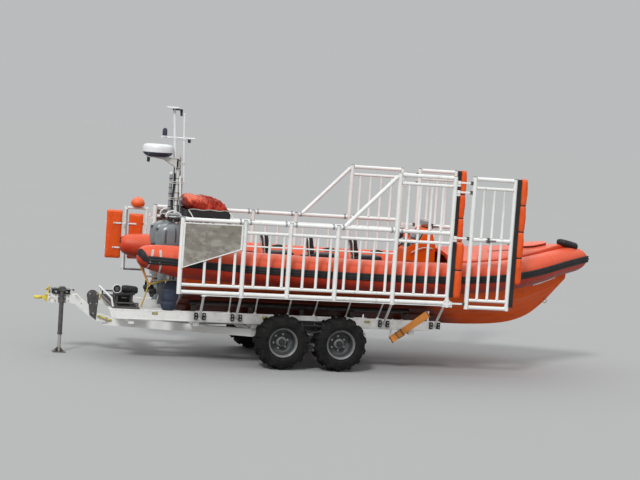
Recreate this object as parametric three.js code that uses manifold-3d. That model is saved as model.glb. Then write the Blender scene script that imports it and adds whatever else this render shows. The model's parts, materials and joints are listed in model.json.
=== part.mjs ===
// Inshore rescue boat (rigid inflatable) on its beach launching carriage.
// Millimetres, +X towards the bow and the sea, +Y to port, +Z up.
// Lengths along X are counted from midway between the carriage's two axles, heights from the ground.
import * as THREE from "three";
import { mergeVertices } from "three/addons/utils/BufferGeometryUtils.js";
import Module from "manifold-3d";

const wasm = await Module();
wasm.setup();

const GAP = 0.4;
const SIDES = { port: 1, starboard: -1 };
const SIDE_NAMES = Object.keys(SIDES);

// Colours and finishes
const PAINT = {
  galvanised: { color: 0xc9cdcf, roughness: 0.45, metalness: 0.7 },
  frameWhite: { color: 0xd9dcdd, roughness: 0.5, metalness: 0.1 },
  darkSteel: { color: 0x3a3e42, roughness: 0.55, metalness: 0.6 },
  rimGrey: { color: 0x9aa0a4, roughness: 0.5, metalness: 0.5 },
  tyre: { color: 0x17181a, roughness: 0.9, metalness: 0 },
  black: { color: 0x1b1c1e, roughness: 0.7, metalness: 0 },
  hullOrange: { color: 0xd2581b, roughness: 0.35, metalness: 0 },
  sponsonOrange: { color: 0xe0542f, roughness: 0.6, metalness: 0 },
  padOrange: { color: 0xd4521f, roughness: 0.7, metalness: 0 },
  deckGrey: { color: 0x8b8f92, roughness: 0.8, metalness: 0 },
  cowlGrey: { color: 0x76828c, roughness: 0.35, metalness: 0.1 },
  white: { color: 0xe9ecee, roughness: 0.4, metalness: 0 },
  yellow: { color: 0xd8c020, roughness: 0.5, metalness: 0.1 },
};

// Solids

function solidOf(geometry) {
  const bare = new THREE.BufferGeometry();
  bare.setAttribute("position", geometry.getAttribute("position"));
  if (geometry.index) bare.setIndex(geometry.index);
  const merged = mergeVertices(bare, 0.001);
  const vertProperties = new Float32Array(merged.getAttribute("position").array);
  const triVerts = new Uint32Array(merged.index.array);
  return new wasm.Manifold(new wasm.Mesh({ numProp: 3, vertProperties, triVerts }));
}

function geometryOf(solid) {
  const mesh = solid.getMesh();
  const geometry = new THREE.BufferGeometry();
  geometry.setAttribute("position", new THREE.BufferAttribute(new Float32Array(mesh.vertProperties), 3));
  geometry.setIndex(new THREE.BufferAttribute(new Uint32Array(mesh.triVerts), 1));
  return geometry;
}

function unite(solids) {
  return solids.reduce((whole, next) => whole.add(next));
}

// A box from its low and high corners.
function box([x0, y0, z0], [x1, y1, z1]) {
  const geometry = new THREE.BoxGeometry(x1 - x0, y1 - y0, z1 - z0);
  geometry.translate((x0 + x1) / 2, (y0 + y1) / 2, (z0 + z1) / 2);
  return solidOf(geometry);
}

// Turns +Y onto the direction from one point to another and moves the middle there.
function placeBetween(geometry, from, to) {
  const a = new THREE.Vector3(...from);
  const b = new THREE.Vector3(...to);
  const direction = b.clone().sub(a).normalize();
  const turn = new THREE.Quaternion().setFromUnitVectors(new THREE.Vector3(0, 1, 0), direction);
  geometry.applyQuaternion(turn);
  const middle = a.add(b).multiplyScalar(0.5);
  geometry.translate(middle.x, middle.y, middle.z);
  return geometry;
}

function lengthBetween(from, to) {
  return new THREE.Vector3(...from).distanceTo(new THREE.Vector3(...to));
}

// A round tube or rod from one point to another.
function rod(from, to, radius, sides = 6) {
  const geometry = new THREE.CylinderGeometry(radius, radius, lengthBetween(from, to), sides);
  return solidOf(placeBetween(geometry, from, to));
}

// A rectangular beam whose width lies across Y, from one point of a vertical plane to another.
function beam(from, to, width, height) {
  const a = new THREE.Vector3(...from);
  const b = new THREE.Vector3(...to);
  const along = b.clone().sub(a).normalize();
  const flatAcross = new THREE.Vector3(-along.y, along.x, 0).normalize();
  const upward = along.clone().cross(flatAcross);
  const geometry = new THREE.BoxGeometry(a.distanceTo(b), width, height);
  const turn = new THREE.Matrix4().makeBasis(along, flatAcross, upward);
  geometry.applyMatrix4(turn);
  const middle = a.add(b).multiplyScalar(0.5);
  geometry.translate(middle.x, middle.y, middle.z);
  return solidOf(geometry);
}

// A plate drawn in the XZ plane and given a thickness along Y.
function plateXZ(points, y0, y1) {
  const shape = new THREE.Shape(points.map(([x, z]) => new THREE.Vector2(x, z)));
  const geometry = new THREE.ExtrudeGeometry(shape, { depth: y1 - y0, bevelEnabled: false });
  geometry.rotateX(Math.PI / 2);
  geometry.translate(0, y1, 0);
  return solidOf(geometry);
}

// A body turned around a vertical axis, from [radius, height] pairs.
function lathe(points, segments) {
  const profile = points.map(([r, z]) => new THREE.Vector2(r, z));
  const geometry = new THREE.LatheGeometry(profile, segments);
  geometry.rotateX(Math.PI / 2);
  const solid = solidOf(geometry);
  return solid.volume() < 0 ? solidOf(flipped(geometry)) : solid;
}

function flipped(geometry) {
  const index = Array.from(geometry.index.array);
  for (let i = 0; i < index.length; i += 3) {
    [index[i], index[i + 1]] = [index[i + 1], index[i]];
  }
  geometry.setIndex(index);
  return geometry;
}

// A closed skin through rings of points that all have the same count.
function loft(rings) {
  const count = rings[0].length;
  const positions = rings.flat(2);
  const index = [];
  for (let ring = 0; ring < rings.length - 1; ring += 1) {
    for (let i = 0; i < count; i += 1) {
      const next = (i + 1) % count;
      const a = ring * count + i;
      const b = ring * count + next;
      index.push(a, b, b + count, a, b + count, a + count);
    }
  }
  const capped = [
    { ring: 0, order: [0, 2, 1] },
    { ring: rings.length - 1, order: [0, 1, 2] },
  ];
  for (const { ring, order } of capped) {
    const centre = positions.length / 3;
    const sum = rings[ring].reduce((s, p) => [s[0] + p[0], s[1] + p[1], s[2] + p[2]], [0, 0, 0]);
    positions.push(...sum.map((v) => v / count));
    for (let i = 0; i < count; i += 1) {
      const corner = [centre, ring * count + i, ring * count + ((i + 1) % count)];
      index.push(...order.map((k) => corner[k]));
    }
  }
  const geometry = new THREE.BufferGeometry();
  geometry.setAttribute("position", new THREE.Float32BufferAttribute(positions, 3));
  geometry.setIndex(index);
  const solid = solidOf(geometry);
  return solid.volume() < 0 ? solidOf(flipped(geometry)) : solid;
}

// The scene

const model = new THREE.Group();

function addMesh(name, solid, paint, parent = model) {
  const material = new THREE.MeshStandardMaterial(paint);
  const mesh = new THREE.Mesh(geometryOf(solid), material);
  mesh.name = name;
  parent.add(mesh);
  return mesh;
}

// Driving sizes

const WHEEL = { x: 500, y: 1240, width: 420, radius: 465, rimRadius: 235, hubRadius: 85, boreRadius: 48 };
const BOGIE = { y: 930, halfWidth: 50, halfHeight: 80 };
const RAIL = { y: 900, halfWidth: 45, bottom: 700, top: 870, landEnd: -3400, seaEnd: 2320 };
const FENCE = { y: 1600, landEnd: -2350, seaEnd: 2250, bottom: 1270, top: 2460, gateTop: 3400 };
const SPLAY = THREE.MathUtils.degToRad(2);
const TRANSOM = { aft: -2150, thickness: 60, notchHalf: 660, notchTop: 1590 };
const DECK = { top: 1250, thickness: 35 };
const ENGINE = { y: 330, tiltX: -2215, tiltZ: 1640, steerX: -2330 };

// Wheels

function tyreSolid() {
  const half = WHEEL.width / 2;
  const carcass = [
    [WHEEL.rimRadius + 2, -half + 25],
    [WHEEL.rimRadius + 60, -half],
    [WHEEL.radius - 85, -half + 5],
    [WHEEL.radius - 32, -half + 55],
    [WHEEL.radius - 28, half - 55],
    [WHEEL.radius - 85, half - 5],
    [WHEEL.rimRadius + 60, half],
    [WHEEL.rimRadius + 2, half - 25],
    [WHEEL.rimRadius + 2, -half + 25],
  ];
  const lugs = { perRow: 14, length: 64, radialDepth: 60, width: 170 };
  const pieces = [lathe(carcass, 28)];
  for (const [row, edge] of [[0, -1], [1, 1]]) {
    for (let i = 0; i < lugs.perRow; i += 1) {
      const angle = ((i + row / 2) / lugs.perRow) * 2 * Math.PI;
      const lug = new THREE.BoxGeometry(lugs.length, lugs.radialDepth, lugs.width);
      lug.translate(0, -(WHEEL.radius - lugs.radialDepth / 2), edge * (half - lugs.width / 2 - 12));
      lug.rotateZ(angle);
      pieces.push(solidOf(lug));
    }
  }
  return unite(pieces);
}

function rimSolid() {
  const { rimRadius, hubRadius, boreRadius } = WHEEL;
  const wall = 12;
  const profile = [
    [0, 92],
    [boreRadius, 92],
    [boreRadius, -100],
    [hubRadius, -100],
    [hubRadius, 50],
    [rimRadius - wall, 50],
    [rimRadius - wall, -180],
    [rimRadius, -180],
    [rimRadius, 180],
    [rimRadius - wall, 180],
    [rimRadius - wall, 66],
    [hubRadius, 66],
    [hubRadius, 112],
    [0, 112],
  ];
  return lathe(profile, 20);
}

const tyre = tyreSolid();
const rim = rimSolid();
const hubZ = -tyre.boundingBox().min[1];
const WHEEL_PLACES = { sea: WHEEL.x, land: -WHEEL.x };

for (const side of SIDE_NAMES) {
  for (const [place, x] of Object.entries(WHEEL_PLACES)) {
    const wheel = new THREE.Group();
    wheel.position.set(x, SIDES[side] * WHEEL.y, hubZ);
    wheel.rotation.x = (-SIDES[side] * Math.PI) / 2;
    model.add(wheel);
    const upright = new THREE.Group();
    upright.rotation.z = SIDES[side] > 0 ? Math.PI : 0;
    wheel.add(upright);
    addMesh(`tyre_${place}_${side}`, tyre, PAINT.tyre, upright);
    addMesh(`rim_${place}_${side}`, rim, PAINT.rimGrey, upright);
  }
}

// Carriage

function mirrored(build) {
  return SIDE_NAMES.map((side) => build(SIDES[side]));
}

const CROSS = { bottom: 620, top: 715 };
const LEG = { landX: -3350, kneeX: -900, kneeY: 800, seaX: 1080, bottom: 475, top: 605, width: 110 };

function chassisSolid() {
  const z = (LEG.bottom + LEG.top) / 2;
  const height = LEG.top - LEG.bottom;
  const neck = [
    [-4330, 830],
    [-3900, 830],
    [-3540, 560],
    [-3150, LEG.bottom],
    [-3150, LEG.top],
    [-3480, 690],
    [-3820, 980],
    [-4330, 980],
  ];
  const pieces = [plateXZ(neck, -80, 80)];
  for (const y of mirrored((s) => s * LEG.kneeY)) {
    pieces.push(beam([LEG.landX, 0, z], [LEG.kneeX, y, z], LEG.width, height));
    pieces.push(beam([LEG.kneeX - 40, y, z], [LEG.seaX, y, z], LEG.width, height));
  }
  for (const x of [-900, 0, LEG.seaX - 60]) {
    pieces.push(box([x - 60, -LEG.kneeY, LEG.bottom + 10], [x + 60, LEG.kneeY, LEG.top - 10]));
  }
  for (const x of [-900, 0, 900]) {
    for (const y of mirrored((s) => s * LEG.kneeY)) {
      pieces.push(box([x - 50, y - 45, LEG.top - 20], [x + 50, y + 45, CROSS.bottom - GAP]));
    }
  }
  for (const s of mirrored((v) => v)) {
    const outer = s * (BOGIE.y - BOGIE.halfWidth - GAP);
    const y = s * LEG.kneeY;
    pieces.push(box([-70, y - 45, hubZ - 70], [70, y + 45, LEG.bottom + 10]));
    pieces.push(rod([0, y, hubZ], [0, outer, hubZ], 60, 12));
  }
  return unite(pieces);
}

addMesh("chassis", chassisSolid(), PAINT.frameWhite);

function towEyeSolid() {
  const ring = new THREE.Shape();
  ring.absarc(0, 0, 75, 0, 2 * Math.PI, false);
  const hole = new THREE.Path();
  hole.absarc(0, 0, 32, 0, 2 * Math.PI, true);
  ring.holes.push(hole);
  const geometry = new THREE.ExtrudeGeometry(ring, { depth: 50, bevelEnabled: false, curveSegments: 16 });
  geometry.translate(-4490, 0, 880);
  const shank = box([-4430, -45, 885], [-4350, 45, 925]);
  const plate = box([-4356, -75, 840], [-4330 - GAP, 75, 970]);
  return unite([solidOf(geometry), shank, plate]);
}

addMesh("tow_eye", towEyeSolid(), PAINT.yellow);

function jackSolid() {
  const x = -4100;
  const y = -140;
  const tube = rod([x, y, 300], [x, y, 1050], 38, 12);
  const leg = rod([x, y, 10], [x, y, 320], 30, 12);
  const foot = box([x - 110, y - 110, 0], [x + 110, y + 110, 20]);
  const bracket = box([x - 60, y, 840], [x + 60, -80 - GAP, 960]);
  const head = box([x - 60, y - 50, 1040], [x + 60, y + 50, 1120]);
  const crank = rod([x + 50, y, 1085], [x + 190, y, 1085], 10, 8);
  const grip = rod([x + 182, y, 1085], [x + 182, y - 120, 1085], 14, 8);
  return unite([tube, leg, foot, bracket, head, crank, grip]);
}

addMesh("parking_jack", jackSolid(), PAINT.darkSteel);

function winchSolid() {
  const x = -3560;
  const z = 960;
  const cheek = [
    [x - 100, z + 80],
    [x - 100, z - 60],
    [x - 50, 640],
    [x + 60, 560],
    [x + 100, z - 60],
    [x + 100, z + 80],
  ];
  const pieces = [rod([x, -110, z], [x, 110, z], 62, 14)];
  for (const s of mirrored((v) => v)) {
    const near = s * (80 + GAP);
    const far = s * 96;
    pieces.push(plateXZ(cheek, Math.min(near, far), Math.max(near, far)));
  }
  pieces.push(rod([x, 90, z], [x, 240, z], 75, 12));
  return unite(pieces);
}

addMesh("winch", winchSolid(), PAINT.darkSteel);

const KEEL_Z = 780;
const CROSS_X = [-3000, -1900, -900, 0, 900, 1880];
const STRAP = { lowX: 1500, lowZ: 520, highX: 2150, highZ: 1005, width: 130, thickness: 8 };
const BUNK = { y: 470, x0: -1980, x1: 1930, width: 110, thickness: 50 };

function hullBottomZ(y) {
  const { keelZ, chineY, chineZ } = HULL_STATIONS[0];
  return keelZ + ((chineZ - keelZ) * Math.abs(y)) / chineY;
}

function cradleSolid() {
  const pieces = [];
  const railOutline = [
    [RAIL.landEnd, RAIL.top],
    [RAIL.landEnd + 60, RAIL.bottom + 30],
    [RAIL.landEnd + 160, RAIL.bottom],
    [RAIL.seaEnd - 260, RAIL.bottom],
    [RAIL.seaEnd + 60, RAIL.bottom + 60],
    [RAIL.seaEnd + 60, RAIL.top],
  ];
  for (const y of mirrored((s) => s * RAIL.y)) {
    pieces.push(plateXZ(railOutline, y - RAIL.halfWidth, y + RAIL.halfWidth));
  }
  for (const x of CROSS_X) {
    pieces.push(box([x - 50, -RAIL.y, CROSS.bottom], [x + 50, RAIL.y, CROSS.top]));
    if (x > BUNK.x0) pieces.push(box([x - 50, -60, 700], [x + 50, 60, KEEL_Z - GAP]));
  }
  const { keelZ, chineY, chineZ } = HULL_STATIONS[0];
  const slope = Math.atan2(chineZ - keelZ, chineY);
  for (const s of mirrored((v) => v)) {
    const geometry = new THREE.BoxGeometry(BUNK.x1 - BUNK.x0, BUNK.width, BUNK.thickness);
    geometry.translate(0, 0, -BUNK.thickness / 2 - 1);
    geometry.rotateX(s * slope);
    geometry.translate((BUNK.x0 + BUNK.x1) / 2, s * BUNK.y, hullBottomZ(BUNK.y));
    pieces.push(solidOf(geometry));
    for (const x of CROSS_X.filter((v) => v > BUNK.x0)) {
      const y = s * (BUNK.y + 10);
      pieces.push(box([x - 35, y - 30, 700], [x + 35, y + 30, hullBottomZ(BUNK.y) - 38]));
    }
    const outside = s * (RAIL.y + RAIL.halfWidth);
    const inside = s * (RAIL.y + RAIL.halfWidth - 20);
    const near = Math.min(outside, inside);
    const far = Math.max(outside, inside);
    pieces.push(box([STRAP.lowX - 15, near, STRAP.lowZ - 20], [STRAP.lowX + 15, far, RAIL.bottom + 10]));
    pieces.push(box([STRAP.highX - 15, near, RAIL.top - 10], [STRAP.highX + 15, far, STRAP.highZ + 40]));
  }
  return unite(pieces);
}

// Hull and sponsons

// Half sections of the hull: where it stands, the keel, the chine.
const HULL_STATIONS = [
  { x: -2150, keelZ: 780, chineY: 930, chineZ: 1200 },
  { x: 1500, keelZ: 780, chineY: 930, chineZ: 1200 },
  { x: 1950, keelZ: 780, chineY: 910, chineZ: 1206 },
  { x: 2600, keelZ: 750, chineY: 880, chineZ: 1215 },
  { x: 3300, keelZ: 755, chineY: 740, chineZ: 1250 },
  { x: 3900, keelZ: 815, chineY: 540, chineZ: 1310 },
  { x: 4300, keelZ: 960, chineY: 350, chineZ: 1400 },
  { x: 4600, keelZ: 1200, chineY: 190, chineZ: 1490 },
  { x: 4850, keelZ: 1480, chineY: 60, chineZ: 1580 },
  { x: 5000, keelZ: 1650, chineY: 18, chineZ: 1700 },
];

// The sponson's centre line and radius, from the stern cone's tip to beyond the bow.
const SPONSON_STATIONS = [
  { x: -3010, y: 1150, z: 1800, r: 110 },
  { x: -2940, y: 1150, z: 1792, r: 162 },
  { x: -2650, y: 1150, z: 1757, r: 225 },
  { x: -2350, y: 1150, z: 1722, r: 260 },
  { x: -2050, y: 1150, z: 1705, r: 270 },
  { x: -1000, y: 1150, z: 1665, r: 270 },
  { x: 300, y: 1150, z: 1640, r: 270 },
  { x: 1500, y: 1150, z: 1637, r: 270 },
  { x: 2400, y: 1140, z: 1652, r: 270 },
  { x: 2900, y: 1085, z: 1678, r: 270 },
  { x: 3400, y: 950, z: 1722, r: 268 },
  { x: 3900, y: 730, z: 1792, r: 262 },
  { x: 4300, y: 500, z: 1866, r: 252 },
  { x: 4660, y: 260, z: 1935, r: 240 },
  { x: 5020, y: 0, z: 1990, r: 232 },
  { x: 5300, y: -205, z: 2030, r: 226 },
];

function between(stations, x, key) {
  const after = stations.findIndex((s) => s.x >= x);
  if (after <= 0) return stations[after === 0 ? 0 : stations.length - 1][key];
  const a = stations[after - 1];
  const b = stations[after];
  const share = (x - a.x) / (b.x - a.x);
  return a[key] + share * (b[key] - a[key]);
}

// Rings around the sponson's centre line: swell is added to the radius.
function sponsonRings(swell, sides) {
  return SPONSON_STATIONS.map((station, i) => {
    const before = SPONSON_STATIONS[Math.max(i - 1, 0)];
    const after = SPONSON_STATIONS[Math.min(i + 1, SPONSON_STATIONS.length - 1)];
    const along = new THREE.Vector3(after.x - before.x, after.y - before.y, after.z - before.z).normalize();
    const across = new THREE.Vector3(-along.y, along.x, 0).normalize();
    const upward = along.clone().cross(across);
    const ring = [];
    for (let k = 0; k < sides; k += 1) {
      const angle = ((k + 0.5) / sides) * 2 * Math.PI;
      const offset = across.clone().multiplyScalar(Math.cos(angle));
      offset.addScaledVector(upward, Math.sin(angle));
      offset.multiplyScalar(station.r + swell);
      ring.push([station.x + offset.x, station.y + offset.y, station.z + offset.z]);
    }
    return ring;
  });
}

function mirrorAcross(solid) {
  return solid.mirror([0, 1, 0]);
}

const portHalfSpace = box([-4000, GAP, 0], [6500, 2500, 4000]);

function sponsonSolid(swell) {
  const tube = loft(sponsonRings(swell, 20));
  return swell > 0 ? tube : tube.intersect(portHalfSpace);
}

const portSponson = sponsonSolid(0);
const swollen = sponsonSolid(1);
const bothSwollen = swollen.add(mirrorAcross(swollen));

// A flat band around the outside of the sponson.
function strakeSolid() {
  const band = { half: 46, inward: 40, outward: 24 };
  const rings = SPONSON_STATIONS.slice(2).map((station, i, list) => {
    const before = list[Math.max(i - 1, 0)];
    const after = list[Math.min(i + 1, list.length - 1)];
    const along = new THREE.Vector3(after.x - before.x, after.y - before.y, 0).normalize();
    const across = new THREE.Vector3(-along.y, along.x, 0);
    const corners = [
      [band.outward, -band.half * 0.7],
      [band.outward, band.half * 0.7],
      [0, band.half],
      [-band.inward, band.half],
      [-band.inward, -band.half],
      [0, -band.half],
    ];
    return corners.map(([out, up]) => {
      const point = across.clone().multiplyScalar(station.r + out);
      return [station.x + point.x, station.y + point.y, station.z + up];
    });
  });
  return loft(rings).subtract(swollen).intersect(portHalfSpace);
}

function hullSolid() {
  const outline = HULL_STATIONS.map(({ x, keelZ, chineY, chineZ }) => {
    const yc = between(SPONSON_STATIONS, x, "y");
    const zc = between(SPONSON_STATIONS, x, "z");
    const half = [
      [chineY, chineZ],
      [Math.max(yc - 90, 20), zc - 150],
      [Math.max(yc - 200, 15), zc + 40],
    ];
    const port = half.map(([y, z]) => [x, y, z]);
    const starboard = half.map(([y, z]) => [x, -y, z]).reverse();
    return [[x, 0, keelZ], ...port, ...starboard];
  });
  const hollowX = [TRANSOM.aft + TRANSOM.thickness, 1500, 2600, 3300];
  const hollow = hollowX.map((x) => {
    const yc = between(SPONSON_STATIONS, x, "y");
    const keelZ = between(HULL_STATIONS, x, "keelZ");
    const chineY = between(HULL_STATIONS, x, "chineY");
    const chineZ = between(HULL_STATIONS, x, "chineZ");
    const half = [
      [chineY - 130, chineZ - 30 < 1205 ? chineZ - 30 : 1205],
      [yc - 320, DECK.top - DECK.thickness],
      [yc - 320, 2300],
    ];
    const port = half.map(([y, z]) => [x, y, z]);
    const starboard = half.map(([y, z]) => [x, -y, z]).reverse();
    return [[x, 0, keelZ + 85], ...port, ...starboard];
  });
  const notchLow = [TRANSOM.aft - 10, -TRANSOM.notchHalf, TRANSOM.notchTop];
  const notchHigh = [TRANSOM.aft + TRANSOM.thickness + 10, TRANSOM.notchHalf, 2300];
  const tub = loft(outline).subtract(loft(hollow));
  return tub.subtract(box(notchLow, notchHigh)).subtract(bothSwollen);
}

const hull = hullSolid();
addMesh("hull", hull, PAINT.hullOrange);
for (const side of SIDE_NAMES) {
  const place = (solid) => (side === "port" ? solid : mirrorAcross(solid));
  addMesh(`sponson_${side}`, place(portSponson), PAINT.sponsonOrange);
  addMesh(`strake_${side}`, place(strakeSolid()), PAINT.black);
}
addMesh("cradle", cradleSolid(), PAINT.frameWhite);

function deckSolid() {
  const stations = [TRANSOM.aft + TRANSOM.thickness + GAP, 1500, 2600];
  const points = stations.map((x) => [x, between(SPONSON_STATIONS, x, "y") - 320 - GAP]);
  const outline = [...points, ...points.map(([x, y]) => [x, -y]).reverse()];
  const shape = new THREE.Shape(outline.map(([x, y]) => new THREE.Vector2(x, y)));
  const geometry = new THREE.ExtrudeGeometry(shape, { depth: DECK.thickness - GAP, bevelEnabled: false });
  geometry.translate(0, 0, DECK.top - DECK.thickness + GAP);
  return solidOf(geometry);
}

addMesh("cockpit_deck", deckSolid(), PAINT.deckGrey);

// The cambered orange deck ahead of the helm, resting on the sponsons.
const FOREDECK = [
  { x: 2480, top: 2090 },
  { x: 3000, top: 2130 },
  { x: 3600, top: 2175 },
  { x: 4200, top: 2225 },
  { x: 4800, top: 2275 },
  { x: 5000, top: 2255 },
];

function foredeckSolid() {
  const thickness = 60;
  const rings = FOREDECK.map(({ x, top }) => {
    const yc = Math.max(between(SPONSON_STATIONS, x, "y"), 60);
    const zc = between(SPONSON_STATIONS, x, "z");
    const half = [
      [yc * 0.5, top - 25],
      [yc - 60, Math.min(zc + 290, top - 40)],
      [yc - 60, zc + 200],
      [yc * 0.5, top - thickness - 30],
    ];
    const port = half.map(([y, z]) => [x, y, z]);
    const starboard = half.map(([y, z]) => [x, -y, z]).reverse();
    return [[x, 0, top], ...port, [x, 0, top - thickness], ...starboard];
  });
  return loft(rings).subtract(bothSwollen);
}

const foredeck = foredeckSolid();
addMesh("foredeck", foredeck, PAINT.sponsonOrange);

function bowPadSolid() {
  const outline = [
    [4800, 2245],
    [5000, 2225],
    [5170, 2225],
    [5190, 2270],
    [5130, 2330],
    [4900, 2370],
    [4810, 2330],
  ];
  const swollenDeck = foredeck.translate([0, 0, GAP]);
  return plateXZ(outline, -90, 90).subtract(swollenDeck).subtract(foredeck).subtract(bothSwollen);
}

addMesh("bow_fairlead", bowPadSolid(), PAINT.black);

// Cockpit

function consoleSolid() {
  const side = [
    [1830, DECK.top + GAP],
    [2380, DECK.top + GAP],
    [2380, 2180],
    [2280, 2440],
    [2210, 2440],
    [2080, 2210],
    [1850, 2080],
    [1830, 2000],
  ];
  return plateXZ(side, -340, 340);
}

addMesh("helm_console", consoleSolid(), PAINT.sponsonOrange);

function helmWheelSolid() {
  const ring = new THREE.TorusGeometry(170, 14, 6, 18);
  const pieces = [solidOf(ring)];
  pieces.push(rod([-165, 0, 0], [165, 0, 0], 11, 6));
  pieces.push(rod([0, -165, 0], [0, 0, 0], 11, 6));
  pieces.push(rod([0, 0, -70], [0, 0, 15], 24, 8));
  return unite(pieces);
}

const helm = new THREE.Group();
helm.position.set(1850, 0, 2215);
helm.rotation.y = -THREE.MathUtils.degToRad(60);
model.add(helm);
addMesh("helm_wheel", helmWheelSolid(), PAINT.black, helm);

const SEATS = [
  { x: -420 },
  { x: 380 },
  { x: 1180 },
];

function seatRowSolid() {
  const seatTop = 1900;
  const pod = box([-700, -150, DECK.top + GAP], [1480, 150, 1640]);
  const pieces = [pod];
  for (const { x } of SEATS) {
    pieces.push(box([x - 180, -150, 1630], [x + 290, 150, 1790]));
    pieces.push(box([x - 200, -180, 1780], [x + 300, 180, seatTop]));
    pieces.push(beam([x - 170, 0, seatTop - 20], [x - 230, 0, 2200], 320, 90));
  }
  return unite(pieces);
}

addMesh("seat_row", seatRowSolid(), PAINT.black);

// Gantry, mast and what they carry

const GANTRY = { y: 760, aftX: -2010, foreX: -1420, z: 2400 };

function gantrySolid() {
  const pieces = [];
  for (const s of mirrored((v) => v)) {
    const y = s * GANTRY.y;
    for (const x of [GANTRY.aftX, GANTRY.foreX]) {
      pieces.push(rod([x, y, DECK.top + GAP], [x, y, GANTRY.z], 30, 8));
      pieces.push(box([x - 60, y - 50, DECK.top + GAP], [x + 60, y + 50, DECK.top + 14]));
    }
    pieces.push(rod([GANTRY.aftX - 30, y, GANTRY.z], [GANTRY.foreX + 30, y, GANTRY.z], 30, 8));
    pieces.push(rod([GANTRY.aftX, y, 1750], [GANTRY.foreX, y, 1750], 22, 8));
  }
  for (const x of [GANTRY.aftX, GANTRY.foreX]) {
    pieces.push(rod([x, -GANTRY.y - 30, GANTRY.z], [x, GANTRY.y + 30, GANTRY.z], 30, 8));
  }
  pieces.push(box([-2330, -110, GANTRY.z - 10], [GANTRY.aftX + 10, 110, GANTRY.z + 30]));
  return unite(pieces);
}

addMesh("gantry", gantrySolid(), PAINT.darkSteel);

const TRAY = { x0: -2130, x1: -1385, y: 620, bottom: GANTRY.z + 30 + GAP, top: 2555 };

function traySolid() {
  const floor = box([TRAY.x0, -TRAY.y, TRAY.bottom], [TRAY.x1, TRAY.y, TRAY.bottom + 15]);
  const pieces = [floor];
  const wall = 15;
  for (const x of [TRAY.x0, TRAY.x1 - wall]) {
    pieces.push(box([x, -TRAY.y, TRAY.bottom], [x + wall, TRAY.y, TRAY.top]));
  }
  for (const y of [-TRAY.y, TRAY.y - wall]) {
    pieces.push(box([TRAY.x0, y, TRAY.bottom], [TRAY.x1, y + wall, TRAY.top]));
  }
  return unite(pieces);
}

addMesh("bag_tray", traySolid(), PAINT.black);

function bagSolid() {
  const rings = [
    { x: TRAY.x0 + 20, y: 480, low: 2475, high: 2760 },
    { x: TRAY.x0 + 130, y: 560, low: 2455, high: 2810 },
    { x: -1700, y: 570, low: 2455, high: 2795 },
    { x: TRAY.x1 - 20, y: 470, low: 2475, high: 2700 },
  ];
  return loft(rings.map(({ x, y, low, high }) => [
    [x, -y, low],
    [x, y, low],
    [x, y + 15, (low + high) / 2],
    [x, y * 0.7, high],
    [x, -y * 0.7, high],
    [x, -y - 15, (low + high) / 2],
  ]));
}

addMesh("righting_bag", bagSolid(), PAINT.padOrange);

// The mast's lower post, then two thinner poles that lean aft.
const MAST = { x: -2235, base: GANTRY.z + 30 + GAP, top: 3460, plateZ: 4240, plateTop: 4275 };
const RADAR = { x: -2600, bottom: 3410, radius: 262, height: 215 };
const AFT_POLE = { low: [-2290, 0, 3290], high: [-2358, 0, 4250], radius: 18 };
const FORE_POLE = { low: [-2120, 0, 2960], high: [-2182, 0, 4150], radius: 16 };
const YARD = { aftX: -2545, foreX: -1985, z: 3745 };

function mastSolid() {
  const pieces = [];
  pieces.push(box([-2370, -90, MAST.base], [-2140, 90, MAST.base + 30]));
  pieces.push(rod([MAST.x, 0, MAST.base], [MAST.x, 0, MAST.top], 34, 10));
  pieces.push(rod(AFT_POLE.low, AFT_POLE.high, AFT_POLE.radius, 8));
  pieces.push(rod(FORE_POLE.low, FORE_POLE.high, FORE_POLE.radius, 8));
  pieces.push(rod([-2345, 0, MAST.base], [-2345, 0, 3115], 16, 8));
  pieces.push(rod([-2160, 0, MAST.base], [-2160, 0, 3070], 16, 8));
  for (const z of [2680, 2960]) {
    pieces.push(box([-2370, -50, z], [-2135, 50, z + 45]));
  }
  pieces.push(box([-2200, -20, 2970], [-2100, 20, 2995]));
  pieces.push(box([-2330, -25, 3290], [-2120, 25, 3330]));
  pieces.push(box([-2290, -30, 3400], [MAST.x, 30, 3450]));
  const shelfZ = RADAR.bottom - 14;
  pieces.push(box([RADAR.x - 190, -110, shelfZ], [MAST.x, 110, RADAR.bottom - GAP]));
  pieces.push(beam([RADAR.x + 60, 0, shelfZ - 14], [MAST.x, 0, 3250], 40, 40));
  pieces.push(rod([-2755, 0, 3310], [-2755, 0, shelfZ + 5], 28, 8));
  pieces.push(rod([YARD.aftX, 0, YARD.z], [YARD.foreX, 0, YARD.z], 15, 8));
  pieces.push(rod([-2500, 0, YARD.z], [-2500, 0, 3905], 45, 10));
  pieces.push(rod([-2070, 0, 3670], [-2070, 0, YARD.z], 28, 8));
  pieces.push(rod([-2380, 0, MAST.plateZ], [-2380, 0, MAST.plateTop], 122, 16));
  pieces.push(box([-2390, -25, MAST.plateZ - 25], [-2215, 25, MAST.plateZ + 10]));
  pieces.push(box([-2245, -25, 4120], [-2215, 25, MAST.plateZ + 10]));
  return unite(pieces);
}

addMesh("mast", mastSolid(), PAINT.galvanised);

function radarSolid() {
  const { radius, height } = RADAR;
  const profile = [
    [0, 0],
    [radius - 60, 0],
    [radius - 15, 35],
    [radius, 70],
    [radius, height - 60],
    [radius - 25, height - 15],
    [radius - 70, height],
    [0, height],
  ];
  return lathe(profile, 24).translate([RADAR.x, 0, RADAR.bottom]);
}

addMesh("radar", radarSolid(), PAINT.white);

// Outboards

const CLAMP = { halfWidth: 110, top: 1600 };

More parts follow.
